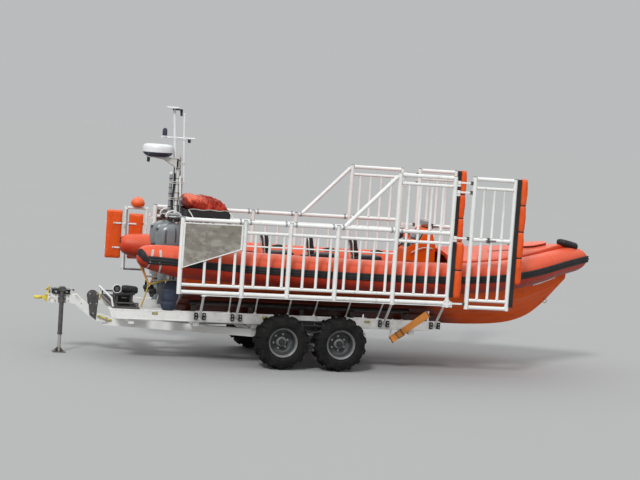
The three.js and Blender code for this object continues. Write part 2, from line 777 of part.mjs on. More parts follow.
function transomBracketSolid() {
  const aft = TRANSOM.aft;
  const pieces = [box([aft - 14, -600, 1150], [aft - GAP, 600, 1580])];
  for (const s of mirrored((v) => v)) {
    for (const edge of [-1, 1]) {
      const y = s * ENGINE.y + edge * (CLAMP.halfWidth - 12);
      const cheek = [
        [aft - 10, 1250],
        [aft - 90, 1330],
        [ENGINE.tiltX - 35, ENGINE.tiltZ - 20],
        [ENGINE.tiltX - 35, ENGINE.tiltZ + 35],
        [ENGINE.tiltX + 35, ENGINE.tiltZ + 35],
        [aft - 10, CLAMP.top - 25],
      ];
      pieces.push(plateXZ(cheek, y - 12, y + 12));
    }
  }
  return unite(pieces);
}

addMesh("transom_bracket", transomBracketSolid(), PAINT.darkSteel);

function swivelSolid() {
  const inside = CLAMP.halfWidth - 24 - 5;
  const tube = rod([ENGINE.steerX, 0, 1250], [ENGINE.steerX, 0, 1690], 42, 12);
  const bore = rod([ENGINE.steerX, 0, 1240], [ENGINE.steerX, 0, 1700], 22, 12);
  const arm = box([ENGINE.steerX, -inside, ENGINE.tiltZ - 28], [ENGINE.tiltX + 28, inside, ENGINE.tiltZ + 28]);
  const heel = box([ENGINE.steerX, -30, 1270], [ENGINE.steerX + 95, 30, 1330]);
  return unite([tube, arm, heel]).subtract(bore);
}

function engineSolid() {
  const x = ENGINE.steerX;
  const cowl = [
    { z: 1880, fore: 190, aft: -250, half: 165 },
    { z: 1960, fore: 212, aft: -275, half: 190 },
    { z: 2170, fore: 205, aft: -262, half: 185 },
    { z: 2270, fore: 165, aft: -170, half: 150 },
    { z: 2300, fore: 100, aft: -70, half: 90 },
  ];
  const rings = cowl.map(({ z, fore, aft, half }) => [
    [x + fore, -half * 0.62, z],
    [x + fore, half * 0.62, z],
    [x + fore * 0.6, half, z],
    [x + aft * 0.7, half, z],
    [x + aft, half * 0.55, z],
    [x + aft, -half * 0.55, z],
    [x + aft * 0.7, -half, z],
    [x + fore * 0.6, -half, z],
  ]);
  const pieces = [loft(rings)];
  const pan = [
    [x + 150, 1890],
    [x + 110, 1780],
    [x - 60, 1720],
    [x - 200, 1740],
    [x - 230, 1890],
  ];
  pieces.push(plateXZ(pan, -130, 130));
  pieces.push(rod([x, 0, 1215], [x, 0, 1800], 20, 12));
  pieces.push(box([x - 30, -30, 1195], [x + 30, 30, 1240]));
  const legOutline = [
    [x - 60, 1800],
    [x - 200, 1800],
    [x - 190, 1240],
    [x - 150, 1050],
    [x - 180, 905],
    [x - 80, 905],
    [x + 5, 1060],
    [x + 20, 1225],
    [x - 58, 1240],
  ];
  pieces.push(plateXZ(legOutline, -45, 45));
  pieces.push(box([x - 300, -110, 1300], [x - 60, 110, 1315]));
  pieces.push(rod([x - 205, 0, 1120], [x + 60, 0, 1120], 55, 12));
  return unite(pieces);
}

const PROP = { x: ENGINE.steerX - 270, z: 1120, radius: 160, hub: 50 };

function propellerSolid() {
  const pieces = [rod([-60, 0, 0], [60, 0, 0], PROP.hub, 12)];
  for (let i = 0; i < 3; i += 1) {
    const blade = new THREE.BoxGeometry(14, 120, PROP.radius - 30);
    blade.rotateZ(THREE.MathUtils.degToRad(-35));
    blade.translate(0, 0, 30 + (PROP.radius - 30) / 2);
    blade.rotateX((i / 3) * 2 * Math.PI);
    pieces.push(solidOf(blade));
  }
  return unite(pieces);
}

for (const side of SIDE_NAMES) {
  const mount = new THREE.Group();
  mount.position.y = SIDES[side] * ENGINE.y;
  model.add(mount);
  addMesh(`swivel_bracket_${side}`, swivelSolid(), PAINT.darkSteel, mount);
  addMesh(`engine_${side}`, engineSolid(), PAINT.cowlGrey, mount);
  const propeller = new THREE.Group();
  propeller.position.set(PROP.x, 0, PROP.z);
  mount.add(propeller);
  addMesh(`propeller_${side}`, propellerSolid(), PAINT.black, propeller);
}

// Bogies

function bogieSolid(s) {
  const low = [-WHEEL.x - 70, BOGIE.y - BOGIE.halfWidth, hubZ - BOGIE.halfHeight];
  const high = [WHEEL.x + 70, BOGIE.y + BOGIE.halfWidth, hubZ + BOGIE.halfHeight];
  const pieces = [box(low, high)];
  for (const x of Object.values(WHEEL_PLACES)) {
    pieces.push(rod([x, BOGIE.y, hubZ], [x, WHEEL.y + 85, hubZ], WHEEL.boreRadius - 3, 14));
  }
  const whole = unite(pieces);
  return s > 0 ? whole : mirrorAcross(whole);
}

for (const side of SIDE_NAMES) {
  addMesh(`bogie_beam_${side}`, bogieSolid(SIDES[side]), PAINT.darkSteel);
}

// Fences and gates

const POSTS = [-2350, -1310, -540, 270, 1280, 2250];
const BARS = [-1950, -1700, -1450, -1120, -880, -640, -290, -60, 160, 420, 670, 910, 1140];
const GATE_BARS = [1450, 1650, 1850, 2050];
const TUBE = { post: 38, rail: 34, lower: 27, bar: 24, thin: 12 };
const LEVEL = { bottom: FENCE.bottom, subBottom: 1390, thin: 2070, subTop: 2290, top: FENCE.top };
const GATE_LEVEL = { landX: 1280, subTop: 3260, top: FENCE.gateTop };
const ARM_Z = [3330, 3170, 2390, 1270];
const HINGE = { x: 2320, pin: 10, sleeve: 30, bore: 13, half: 28 };
const INNER_PAD = { x: 2390, radius: 95, bottom: 1375, top: 2315 };

const STERN_GATE = { hingeX: -2430, seaX: -2480, landX: -2980, postX: -2870, top: 2410, bottom: 1300 };
const STERN_HINGE_Z = [2300, 1450];

// Square tube in a fence's own plane, upright or level.
function upright(x, y, z0, z1, half) {
  return box([x - half, y - half, z0], [x + half, y + half, z1]);
}

function level(x0, x1, y, z, half) {
  return box([x0, y - half, z - half], [x1, y + half, z + half]);
}

// The starboard or port fence: s is -1 or 1.
function fenceSolid(s) {
  const y = s * FENCE.y;
  const pieces = [];
  const first = POSTS[0];
  const last = POSTS[POSTS.length - 1];
  for (const x of POSTS) {
    const top = x >= GATE_LEVEL.landX ? GATE_LEVEL.top : LEVEL.top;
    pieces.push(upright(x, y, LEVEL.bottom - TUBE.post, top + TUBE.post, TUBE.post));
  }
  pieces.push(level(first, last, y, LEVEL.bottom, TUBE.rail));
  pieces.push(level(first, last, y, LEVEL.top, TUBE.rail));
  pieces.push(level(first, last, y, LEVEL.subBottom, TUBE.lower));
  pieces.push(level(first, last, y, LEVEL.subTop, TUBE.lower));
  pieces.push(level(POSTS[1], POSTS[4], y, LEVEL.thin, TUBE.thin));
  pieces.push(level(GATE_LEVEL.landX, last, y, GATE_LEVEL.top, TUBE.rail));
  pieces.push(level(GATE_LEVEL.landX, last, y, GATE_LEVEL.subTop, TUBE.lower));
  for (const x of BARS) {
    pieces.push(upright(x, y, LEVEL.subBottom, LEVEL.subTop, TUBE.bar));
  }
  for (const x of GATE_BARS) {
    pieces.push(upright(x, y, LEVEL.subBottom, GATE_LEVEL.subTop, TUBE.bar));
  }
  pieces.push(beam([380, y, LEVEL.top], [GATE_LEVEL.landX, y, GATE_LEVEL.top], 2 * TUBE.rail, 2 * TUBE.rail));
  for (const z of ARM_Z) {
    pieces.push(box([last, y - 22, z - HINGE.half - 36], [HINGE.x + 24, y + 22, z - HINGE.half - 6]));
    pieces.push(rod([HINGE.x, y, z - HINGE.half - 20], [HINGE.x, y, z + HINGE.half], HINGE.pin, 8));
  }
  const backTo = INNER_PAD.x - INNER_PAD.radius - GAP;
  pieces.push(box([last, y - 35, INNER_PAD.bottom + 10], [backTo, y + 35, INNER_PAD.top - 5]));
  if (s > 0) {
    const { hingeX } = STERN_GATE;
    for (const z of STERN_HINGE_Z) {
      pieces.push(box([hingeX - 20, y - 20, z - HINGE.half - 36], [first, y + 20, z - HINGE.half - 6]));
      pieces.push(rod([hingeX, y, z - HINGE.half - 20], [hingeX, y, z + HINGE.half], HINGE.pin, 8));
    }
  }
  return unite(pieces);
}

function padSolid(radius, bottom, top, count) {
  const seam = { depth: 16, half: 12 };
  const profile = [[0, bottom], [radius - 25, bottom], [radius, bottom + 25]];
  for (let i = 1; i < count; i += 1) {
    const z = bottom + ((top - bottom) * i) / count;
    profile.push([radius, z - seam.half], [radius - seam.depth, z], [radius, z + seam.half]);
  }
  profile.push([radius, top - 25], [radius - 25, top], [0, top]);
  return lathe(profile, 14);
}

for (const side of SIDE_NAMES) {
  const s = SIDES[side];
  addMesh(`fence_${side}`, fenceSolid(s), PAINT.galvanised);
  const pad = padSolid(INNER_PAD.radius, INNER_PAD.bottom, INNER_PAD.top, 2);
  addMesh(`inner_pad_${side}`, pad.translate([INNER_PAD.x, s * FENCE.y, 0]), PAINT.padOrange);
}

// The struts that carry a fence out from its rail, joined by a flat bar under the fence.
const STRUTS = {
  main: [-1930, -1310, 1280, 2200],
  mainLean: 70,
  thin: [-1477, -1024, -455, 3, 566, 1133],
  thinLean: 120,
  barTop: LEVEL.bottom - TUBE.post - GAP,
  barThickness: 12,
};
const RAIL_CLAMP = { half: 100, plate: 12, blockX: 68, blockHalf: 27, blockDepth: 50, low: 745, high: 858 };

function outriggerSolid(s) {
  const top = STRUTS.barTop;
  const low = top - STRUTS.barThickness;
  const y = s * FENCE.y;
  const first = STRUTS.main[0] - 30;
  const last = STRUTS.main[STRUTS.main.length - 1] + 30;
  const pieces = [box([first, y - 30, low], [last, y + 30, top])];
  const face = RAIL.y + RAIL.halfWidth + GAP;
  const across = (a, b) => [Math.min(s * a, s * b), Math.max(s * a, s * b)];
  for (const x of STRUTS.main) {
    const footX = x + STRUTS.mainLean;
    const [y0, y1] = across(face, face + RAIL_CLAMP.plate);
    const { half, blockX, blockHalf, blockDepth, low: z0, high: z1 } = RAIL_CLAMP;
    pieces.push(box([footX - half, y0, z0 - 10], [footX + half, y1, z1 + 4]));
    for (const edge of [-1, 1]) {
      const blockMiddle = footX + edge * blockX;
      const [near, far] = across(face + 2, face + blockDepth);
      pieces.push(box([blockMiddle - blockHalf, near, z0], [blockMiddle + blockHalf, far, z1]));
    }
    pieces.push(rod([x, y, low - 8], [footX, s * (face + 18), 800], 22, 8));
  }
  for (const x of STRUTS.thin) {
    const footX = x + STRUTS.thinLean;
    pieces.push(rod([x, y, low - 2], [footX, s * RAIL.y, 900], 13, 6));
    pieces.push(box([footX - 30, s * RAIL.y - 30, RAIL.top + GAP], [footX + 30, s * RAIL.y + 30, 903]));
  }
  return unite(pieces);
}

for (const side of SIDE_NAMES) {
  addMesh(`outrigger_${side}`, outriggerSolid(SIDES[side]), PAINT.galvanised);
}

// The plate panel at the landward end of each fence.
function meshPanelSolid(s) {
  const outline = [
    [-2340, 2415],
    [-2340, 1660],
    [-1345, 2010],
    [-1345, 2415],
  ];
  const near = s * (FENCE.y + TUBE.post + GAP);
  const far = s * (FENCE.y + TUBE.post + 10);
  return plateXZ(outline, Math.min(near, far), Math.max(near, far));
}

for (const side of SIDE_NAMES) {
  addMesh(`plate_panel_${side}`, meshPanelSolid(SIDES[side]), PAINT.galvanised);
}

// An outer gate, drawn in line with +X from its hinge axis.
const OUTER_GATE = { landX: 275, seaX: 995, bottom: 1220, middle: 2375, top: 3410, bars: [455, 635, 815] };
const OUTER_PAD = { x: 1137, radius: 80, bottom: 1655, top: 3455 };

function outerGateSolid() {
  const { landX, seaX, bottom, middle, top, bars } = OUTER_GATE;
  const pieces = [];
  for (const x of [landX, seaX]) {
    pieces.push(upright(x, 0, bottom - TUBE.post, top + TUBE.post, TUBE.post));
  }
  const subBottom = bottom + 120;
  const subTop = top - 155;
  for (const z of [bottom, middle, top]) {
    pieces.push(level(landX, seaX, 0, z, TUBE.rail));
  }
  for (const z of [subBottom, subTop]) {
    pieces.push(level(landX, seaX, 0, z, TUBE.lower));
  }
  for (const x of bars) {
    pieces.push(upright(x, 0, subBottom, subTop, TUBE.bar));
  }
  for (const z of ARM_Z) {
    pieces.push(level(0, landX, 0, z, 15));
    pieces.push(rod([0, 0, z - HINGE.half], [0, 0, z + HINGE.half], HINGE.sleeve, 12));
  }
  const backLow = [seaX, -34, bottom + 30];
  const backHigh = [OUTER_PAD.x - OUTER_PAD.radius - GAP, 34, OUTER_PAD.top - 10];
  pieces.push(box(backLow, backHigh));
  const bores = ARM_Z.map((z) => rod([0, 0, z - 40], [0, 0, z + 40], HINGE.bore, 12));
  return unite(pieces).subtract(unite(bores));
}

for (const side of SIDE_NAMES) {
  const gate = new THREE.Group();
  gate.position.set(HINGE.x, SIDES[side] * FENCE.y, 0);
  gate.rotation.z = SIDES[side] * SPLAY;
  model.add(gate);
  addMesh(`outer_gate_${side}`, outerGateSolid(), PAINT.galvanised, gate);
  const pad = padSolid(OUTER_PAD.radius, OUTER_PAD.bottom, OUTER_PAD.top, 4);
  addMesh(`outer_pad_${side}`, pad.translate([OUTER_PAD.x, 0, 0]), PAINT.padOrange, gate);
}

// The landward gate on the port side, with its two padded boards and a float on top.

function sternGateSolid() {
  const y = FENCE.y;
  const { hingeX, seaX, landX, postX, top, bottom } = STERN_GATE;
  const pieces = [];
  pieces.push(rod([seaX - 20, y, bottom - 20], [seaX - 20, y, top + 10], 26));
  pieces.push(rod([postX, y, bottom - 20], [postX, y, top + 10], 30));
  for (const z of [top, bottom]) {
    pieces.push(rod([seaX, y, z], [landX, y, z], 26));
  }
  for (const z of [2130, 1690]) {
    pieces.push(box([-3235, y - 26, z - 22], [-2480, y - 8, z + 22]));
  }
  for (const z of STERN_HINGE_Z) {
    pieces.push(box([seaX - 20, y - 14, z - 20], [hingeX, y + 14, z + 20]));
    pieces.push(rod([hingeX, y, z - HINGE.half], [hingeX, y, z + HINGE.half], 24, 12));
  }
  const bores = STERN_HINGE_Z.map((z) => rod([hingeX, y, z - 40], [hingeX, y, z + 40], HINGE.bore, 12));
  return unite(pieces).subtract(unite(bores));
}

addMesh("stern_gate", sternGateSolid(), PAINT.galvanised);

const BOARDS = {
  outboard: { x0: -3250, x1: -2935, z0: 1465, z1: 2395 },
  inboard: { x0: -2830, x1: -2535, z0: 1465, z1: 2345 },
};

for (const [name, { x0, x1, z0, z1 }] of Object.entries(BOARDS)) {
  const front = FENCE.y - 26 - GAP;
  addMesh(`stern_board_${name}`, box([x0, front - 70, z0], [x1, front, z1]), PAINT.padOrange);
}

function floatSolid() {
  const profile = [
    [0, 0],
    [90, 0],
    [125, 50],
    [110, 120],
    [60, 170],
    [0, 185],
  ];
  return lathe(profile, 14).translate([-2670, FENCE.y - 10, STERN_GATE.top + 26 + GAP]);
}

addMesh("gate_float", floatSolid(), PAINT.padOrange);

// What stands between the rails' landward ends, and the straps that hold the cradle down.

function platformSolid() {
  const top = RAIL.top + GAP;
  const pieces = [box([-3330, -RAIL.y - 40, top], [-2880, RAIL.y + 40, top + 30])];
  pieces.push(box([-3250, -620, top + 20], [-2960, -240, top + 230]));
  pieces.push(rod([-3080, -180, top + 110], [-3080, 420, top + 110], 100, 12));
  return unite(pieces);
}

addMesh("stern_platform", platformSolid(), PAINT.black);

for (const side of SIDE_NAMES) {
  const s = SIDES[side];
  const y = s * (RAIL.y + RAIL.halfWidth + STRAP.thickness / 2 + GAP);
  const low = [STRAP.lowX, y, STRAP.lowZ];
  const high = [STRAP.highX, y, STRAP.highZ];
  const strap = beam(low, high, STRAP.thickness, STRAP.width);
  addMesh(`strap_${side}`, strap, PAINT.padOrange);
}

// The origin goes to the middle of the whole model's box, on the ground.
model.updateMatrixWorld(true);
const bounds = new THREE.Box3().setFromObject(model, true);
const centre = bounds.getCenter(new THREE.Vector3());
model.position.set(-centre.x, -centre.y, -bounds.min.z);

export default model;
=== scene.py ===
# Inshore rescue boat on its beach launching carriage: the look of every surface.
# Metres, +X towards the bow, +Y to port, +Z up. Shapes are drawn in the carriage's own
# frame, which counts X from midway between the axles, and are shifted once when made.
import json
import math
from itertools import product

import bmesh
import bpy
from mathutils import Matrix, Vector, noise

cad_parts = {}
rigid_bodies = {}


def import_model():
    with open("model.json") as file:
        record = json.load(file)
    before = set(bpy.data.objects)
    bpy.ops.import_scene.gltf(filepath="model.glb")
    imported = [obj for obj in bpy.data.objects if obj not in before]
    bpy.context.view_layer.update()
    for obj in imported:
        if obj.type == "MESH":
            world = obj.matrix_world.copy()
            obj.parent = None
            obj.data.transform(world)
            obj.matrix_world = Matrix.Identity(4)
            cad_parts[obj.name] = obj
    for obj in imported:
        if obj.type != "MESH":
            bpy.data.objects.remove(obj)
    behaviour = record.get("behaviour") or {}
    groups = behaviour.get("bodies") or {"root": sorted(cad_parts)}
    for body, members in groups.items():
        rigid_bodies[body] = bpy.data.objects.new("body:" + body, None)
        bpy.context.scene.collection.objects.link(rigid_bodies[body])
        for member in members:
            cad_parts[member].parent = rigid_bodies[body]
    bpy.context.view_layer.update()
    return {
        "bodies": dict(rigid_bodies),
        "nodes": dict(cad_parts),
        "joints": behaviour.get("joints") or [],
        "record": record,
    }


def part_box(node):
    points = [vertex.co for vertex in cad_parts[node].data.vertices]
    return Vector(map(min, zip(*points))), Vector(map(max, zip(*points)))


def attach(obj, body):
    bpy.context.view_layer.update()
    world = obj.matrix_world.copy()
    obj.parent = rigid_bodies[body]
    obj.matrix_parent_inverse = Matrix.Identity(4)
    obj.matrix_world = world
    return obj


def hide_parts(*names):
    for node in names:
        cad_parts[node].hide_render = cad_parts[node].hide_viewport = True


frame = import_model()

BODY = "carriage_and_boat"
WHEEL_X = 0.5
tyre_low, tyre_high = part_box("tyre_sea_port")
AXLES_X = (tyre_low[0] + tyre_high[0]) / 2 - WHEEL_X
SHIFT = Vector((AXLES_X, 0, 0))
SIDES = {"port": 1, "starboard": -1}


def placed(name, data):
    """A new object in the scene."""
    made = bpy.data.objects.new(name, data)
    bpy.context.scene.collection.objects.link(made)
    return made


def round_edges(thing, width, sharp):
    """Puts a small round on every edge that turns by more than sharp degrees."""
    rounding = thing.modifiers.new("edge_round", "BEVEL")
    rounding.width = width
    rounding.segments = 2
    rounding.limit_method = "ANGLE"
    rounding.angle_limit = math.radians(sharp)
    return rounding


# Camera and light

# The camera stands where the photo was taken from; the lens is longer, to fill the frame.
YAW = math.radians(10.18)
NOSE_DOWN = math.radians(3.90)
CAMERA_TILT = math.radians(2.97)
CAMERA_OFFSET = Vector((1.303, 30.192, -4.694))
PHOTO_LENS = 45.5
ZOOM = 2.14
AIM = Vector((0.36, 0, 2.12))

turn = Matrix.Rotation(YAW, 3, "Z") @ Matrix.Rotation(NOSE_DOWN, 3, "Y")
back = turn.transposed()
camera_data = bpy.data.cameras.new("camera")
camera_data.lens = PHOTO_LENS * ZOOM
camera = placed("camera", camera_data)
camera_place = back @ -CAMERA_OFFSET + SHIFT
camera_up = back @ Vector((0, math.sin(CAMERA_TILT), math.cos(CAMERA_TILT)))
forward = (AIM + SHIFT - camera_place).normalized()
right = forward.cross(camera_up).normalized()
upward = right.cross(forward)
looking = Matrix((right, upward, -forward)).transposed().to_4x4()
camera.matrix_world = Matrix.Translation(camera_place) @ looking
bpy.context.scene.camera = camera


def sun(name, azimuth, elevation, strength, width):
    """A wide soft light from a compass direction; azimuth 0 shines from -Y, 90 from +X."""
    data = bpy.data.lights.new(name, "SUN")
    data.energy = strength
    data.angle = math.radians(width)
    lamp = placed(name, data)
    a, e = math.radians(azimuth), math.radians(elevation)
    source = Vector((math.sin(a) * math.cos(e), -math.cos(a) * math.cos(e), math.sin(e)))
    lamp.rotation_mode = "QUATERNION"
    lamp.rotation_quaternion = source.to_track_quat("Z", "Y")
    lamp.location = source * 20


def studio_sky(horizon, overhead):
    """A soft dome that is brighter overhead than at the horizon."""
    world = bpy.data.worlds.new("studio")
    world.use_nodes = True
    tree = world.node_tree
    coords = tree.nodes.new("ShaderNodeTexCoord")
    split = tree.nodes.new("ShaderNodeSeparateXYZ")
    rise = tree.nodes.new("ShaderNodeMapRange")
    for name, value in (("From Min", 0.12), ("From Max", 0.90), ("To Min", horizon),
                        ("To Max", overhead)):
        rise.inputs[name].default_value = value
    background = tree.nodes["Background"]
    background.inputs["Color"].default_value = (0.985, 1.0, 1.012, 1)
    tree.links.new(coords.outputs["Generated"], split.inputs["Vector"])
    tree.links.new(split.outputs["Z"], rise.inputs["Value"])
    tree.links.new(rise.outputs["Result"], background.inputs["Strength"])
    bpy.context.scene.world = world


sun("key", -30, 40, 2.0, 10)
sun("rim", 170, 40, 0.4, 40)
studio_sky(0.50, 1.30)
bpy.context.scene.view_settings.view_transform = "Standard"
bpy.context.scene.view_settings.look = "None"


# Materials

# Patterns read the CAD frame's X, where the hull's painted shade and the bag's painted light end.
HULL_SHADE_END = 2.30 + AXLES_X
BAG_LIGHT_END = -1.80 + AXLES_X
HULL_SHADE_TOP = 1.15
HULL_SHADE_LEAN = 1.5


def darkened(color, share):
    return tuple(share * c for c in color)


class Finish:
    """One procedural material; its patterns are laid out in metres on the piece itself."""

    def __init__(self, name, color, rough, metal=0.0, coat=0.0, sheen=0.0, gloss=0.5):
        self.material = bpy.data.materials.new(name)
        self.material.use_nodes = True
        self.tree = self.material.node_tree
        self.shader = self.tree.nodes["Principled BSDF"]
        self.shader.inputs["Metallic"].default_value = metal
        self.shader.inputs["Coat Weight"].default_value = coat
        self.shader.inputs["Coat Roughness"].default_value = 0.12
        self.shader.inputs["Sheen Weight"].default_value = sheen
        self.shader.inputs["Specular IOR Level"].default_value = gloss
        self.coords = self.node("ShaderNodeTexCoord").outputs["Object"]
        self.color = tuple(color) + (1,)
        self.rough = rough
        self.height = None

    def node(self, kind, **inputs):
        node = self.tree.nodes.new(kind)
        for name, value in inputs.items():
            self.feed(node.inputs[name.replace("_", " ")], value)
        return node

    def feed(self, socket, value):
        if isinstance(value, bpy.types.NodeSocket):
            self.tree.links.new(value, socket)
        else:
            socket.default_value = value

    def stretched(self, stretch):
        """The place on the piece in metres, each axis multiplied by its stretch."""
        if stretch == (1, 1, 1):
            return self.coords
        mapping = self.node("ShaderNodeMapping", Vector=self.coords, Scale=stretch)
        return mapping.outputs["Vector"]

    def noise(self, scale, stretch=(1, 1, 1), detail=5.0, twist=0.0):
        found = self.node("ShaderNodeTexNoise", Vector=self.stretched(stretch), Scale=scale,
                          Detail=detail, Roughness=0.6, Distortion=twist)
        return found.outputs["Fac"]

    def cells(self, scale):
        found = self.node("ShaderNodeTexVoronoi", Vector=self.coords, Scale=scale)
        return found.outputs["Distance"]

    def waves(self, scale, direction):
        found = self.node("ShaderNodeTexWave", Vector=self.coords, Scale=scale)
        found.bands_direction = direction
        return found.outputs["Fac"]

    def band(self, value, low, high):
        """Turns a value's stretch from low to high into 0 to 1; low above high turns it round."""
        return self.node("ShaderNodeMapRange", Value=value, From_Min=low,
                         From_Max=high).outputs["Result"]

    def combined(self, operation, a, b):
        found = self.tree.nodes.new("ShaderNodeMath")
        found.operation = operation
        self.feed(found.inputs[0], a)
        self.feed(found.inputs[1], b)
        return found.outputs[0]

    def times(self, a, b):
        return self.combined("MULTIPLY", a, b)

    def plus(self, a, b):
        return self.combined("ADD", a, b)

    def along(self, axis):
        split = self.node("ShaderNodeSeparateXYZ", Vector=self.coords)
        return split.outputs[axis]

    def facing_up(self, low, high):
        """Runs from 0 to 1 as the surface turns to look up."""
        geometry = self.node("ShaderNodeNewGeometry")
        split = self.node("ShaderNodeSeparateXYZ", Vector=geometry.outputs["Normal"])
        return self.band(split.outputs["Z"], low, high)

    def edges(self, low=0.52, high=0.60):
        """Where the surface is a sharp outer edge."""
        geometry = self.node("ShaderNodeNewGeometry")
        return self.band(geometry.outputs["Pointiness"], low, high)

    def patch(self, mask, color, strength):
        """Lays a colour over what is there, as far as the mask goes."""
        faded = self.times(mask, strength)
        mixer = self.tree.nodes.new("ShaderNodeMix")
        mixer.data_type = "RGBA"
        self.feed(mixer.inputs[0], faded)
        self.feed(mixer.inputs[6], self.color)
        self.feed(mixer.inputs[7], tuple(color) + (1,))
        self.color = mixer.outputs[2]
        return self

    def stain(self, scale, low, high, color, strength, **pattern):
        """Lays a colour over what is there in patches of noise, wide or small by their scale."""
        return self.patch(self.band(self.noise(scale, **pattern), low, high), color, strength)

    def shine(self, mask, low, high):
        """Lets the roughness run from low to high with the mask."""
        self.rough = self.node("ShaderNodeMapRange", Value=mask, To_Min=low,
                               To_Max=high).outputs["Result"]
        return self

    def relief(self, height, depth):
        """Adds a pattern to the bump, depth in metres."""
        part = self.times(height, depth)
        self.height = part if self.height is None else self.plus(self.height, part)
        return self

    def done(self):
        self.feed(self.shader.inputs["Base Color"], self.color)
        self.feed(self.shader.inputs["Roughness"], self.rough)
        if self.height is not None:
            bump = self.node("ShaderNodeBump", Height=self.height, Distance=1.0, Strength=1.0)
            self.tree.links.new(bump.outputs["Normal"], self.shader.inputs["Normal"])
        return self.material


def painted_white():
    f = Finish("frame_white", (0.71, 0.71, 0.685), 0.42, gloss=0.35)
    f.stain(1.3, 0.48, 0.78, (0.61, 0.61, 0.585), 0.5)
    f.stain(8, 0.62, 0.78, (0.38, 0.35, 0.30), 0.30, stretch=(1, 1, 0.25))
    f.stain(38, 0.70, 0.73, (0.20, 0.09, 0.04), 0.7)
    worn = f.times(f.edges(0.54, 0.62), f.band(f.noise(14), 0.52, 0.64))
    f.patch(worn, (0.30, 0.20, 0.14), 0.6)
    f.shine(f.noise(6), 0.32, 0.62)
    return f.relief(f.noise(60), 0.0006).done()


def painted(name, color):
    f = Finish(name, color, 0.35)
    f.stain(2.6, 0.45, 0.72, darkened(color, 0.55), 0.6)
    f.patch(f.times(f.edges(), f.band(f.noise(18), 0.45, 0.6)), (0.20, 0.14, 0.10), 0.7)
    f.stain(22, 0.62, 0.72, (0.30, 0.24, 0.18), 0.4, stretch=(1, 1, 0.4))
    f.shine(f.noise(8), 0.35, 0.6)
    return f.relief(f.noise(70), 0.0005).done()


def galvanised():
    f = Finish("fence_tube", (0.69, 0.695, 0.675), 0.42, gloss=0.35)
    f.patch(f.band(f.cells(60), 0.2, 0.7), (0.74, 0.75, 0.74), 0.35)
    f.stain(3.2, 0.48, 0.74, (0.56, 0.56, 0.54), 0.5)
    f.stain(12, 0.60, 0.76, (0.36, 0.34, 0.30), 0.45, stretch=(1, 1, 0.15))
    f.stain(5, 0.62, 0.75, (0.72, 0.73, 0.72), 0.6, stretch=(1, 1, 0.5))
    f.shine(f.noise(10), 0.30, 0.58)
    return f.relief(f.noise(120), 0.0003).done()


def alloy(name="gantry_alloy", color=(0.36, 0.38, 0.40), metal=0.7):
    f = Finish(name, color, 0.35, metal=metal)
    f.stain(4, 0.45, 0.7, darkened(color, 0.7), 0.6)
    f.stain(26, 0.6, 0.75, (0.55, 0.55, 0.53), 0.4, stretch=(1, 1, 0.3))
    f.shine(f.noise(14), 0.28, 0.55)
    return f.relief(f.noise(90, (1, 1, 0.2)), 0.0003).done()


def pad_cover():
    f = Finish("pad_cover", (0.68, 0.082, 0.008), 0.5, gloss=0.25)
    f.stain(5, 0.45, 0.75, (0.52, 0.050, 0.006), 0.6, stretch=(1, 1, 0.6))
    f.stain(2.4, 0.52, 0.74, (0.74, 0.125, 0.022), 0.45)
    f.stain(15, 0.60, 0.74, (0.28, 0.10, 0.05), 0.5, stretch=(1, 1, 0.2))
    # Painted light: what looks up is lightened.
    f.patch(f.facing_up(0.05, 0.70), (0.74, 0.190, 0.095), 0.85)
    f.shine(f.noise(9), 0.38, 0.66)
    f.relief(f.noise(11, (1, 1, 0.35), twist=0.8), 0.010)
    return f.relief(f.noise(300, detail=2), 0.0004).done()


def black_cover(name="black_rubber", shade=0.014):
    f = Finish(name, (shade, shade, shade * 1.1), 0.6, gloss=0.25)
    f.stain(4, 0.45, 0.75, (0.036, 0.034, 0.034), 0.6)
    f.stain(16, 0.62, 0.76, (0.085, 0.075, 0.065), 0.35, stretch=(1, 1, 0.3))
    f.shine(f.noise(9), 0.45, 0.75)
    return f.relief(f.noise(45), 0.0010).done()


def sponson_cloth():
    f = Finish("sponson_cloth", (0.50, 0.034, 0.006), 0.42, gloss=0.3)
    f.stain(1.3, 0.42, 0.70, (0.41, 0.024, 0.005), 0.7)
    # Painted shade and light: what looks down is darkened, and what looks up is lightened.
    f.patch(f.facing_up(-0.20, -0.75), (0.22, 0.012, 0.004), 0.75)
    f.patch(f.facing_up(-0.15, 0.55), (0.62, 0.085, 0.032), 0.95)
    # Painted highlights in patches where it looks up.
    f.patch(f.times(f.facing_up(0.1, 0.9), f.band(f.noise(3.5, (0.4, 1, 1)), 0.50, 0.72)),
            (0.68, 0.150, 0.075), 0.5)
    f.stain(13, 0.60, 0.72, (0.40, 0.09, 0.05), 0.45, stretch=(0.25, 1, 1))
    f.stain(40, 0.68, 0.74, (0.70, 0.33, 0.24), 0.3)
    f.shine(f.noise(7), 0.30, 0.56)
    f.relief(f.waves(210, "Z"), 0.00025)
    f.relief(f.waves(210, "X"), 0.00025)
    return f.relief(f.noise(6, (0.5, 1, 1)), 0.004).done()


def bag_cloth():
    f = Finish("bag_cloth", (0.34, 0.022, 0.007), 0.5, gloss=0.18)
    f.stain(4, 0.42, 0.70, (0.20, 0.012, 0.006), 0.8)
    # The landward half lies flatter and is painted lighter where it looks up, as painted light; the
    # seaward half is creased and keeps the darker base.
    painted_light_top = f.times(f.facing_up(0.15, 0.75),
                       f.band(f.along("X"), BAG_LIGHT_END + 0.10, BAG_LIGHT_END - 0.22))
    f.patch(painted_light_top, (0.66, 0.135, 0.060), 0.9)
    # Painted highlights in patches where it looks up.
    f.patch(f.times(f.facing_up(0.55, 0.95), f.band(f.noise(7, twist=0.8), 0.50, 0.62)),
            (0.58, 0.075, 0.030), 0.6)
    f.stain(9, 0.57, 0.63, (0.075, 0.008, 0.006), 0.75, twist=1.6)
    f.shine(f.noise(9), 0.38, 0.62)
    f.relief(f.noise(16, twist=1.4), 0.012)
    return f.relief(f.noise(260, detail=2), 0.0004).done()


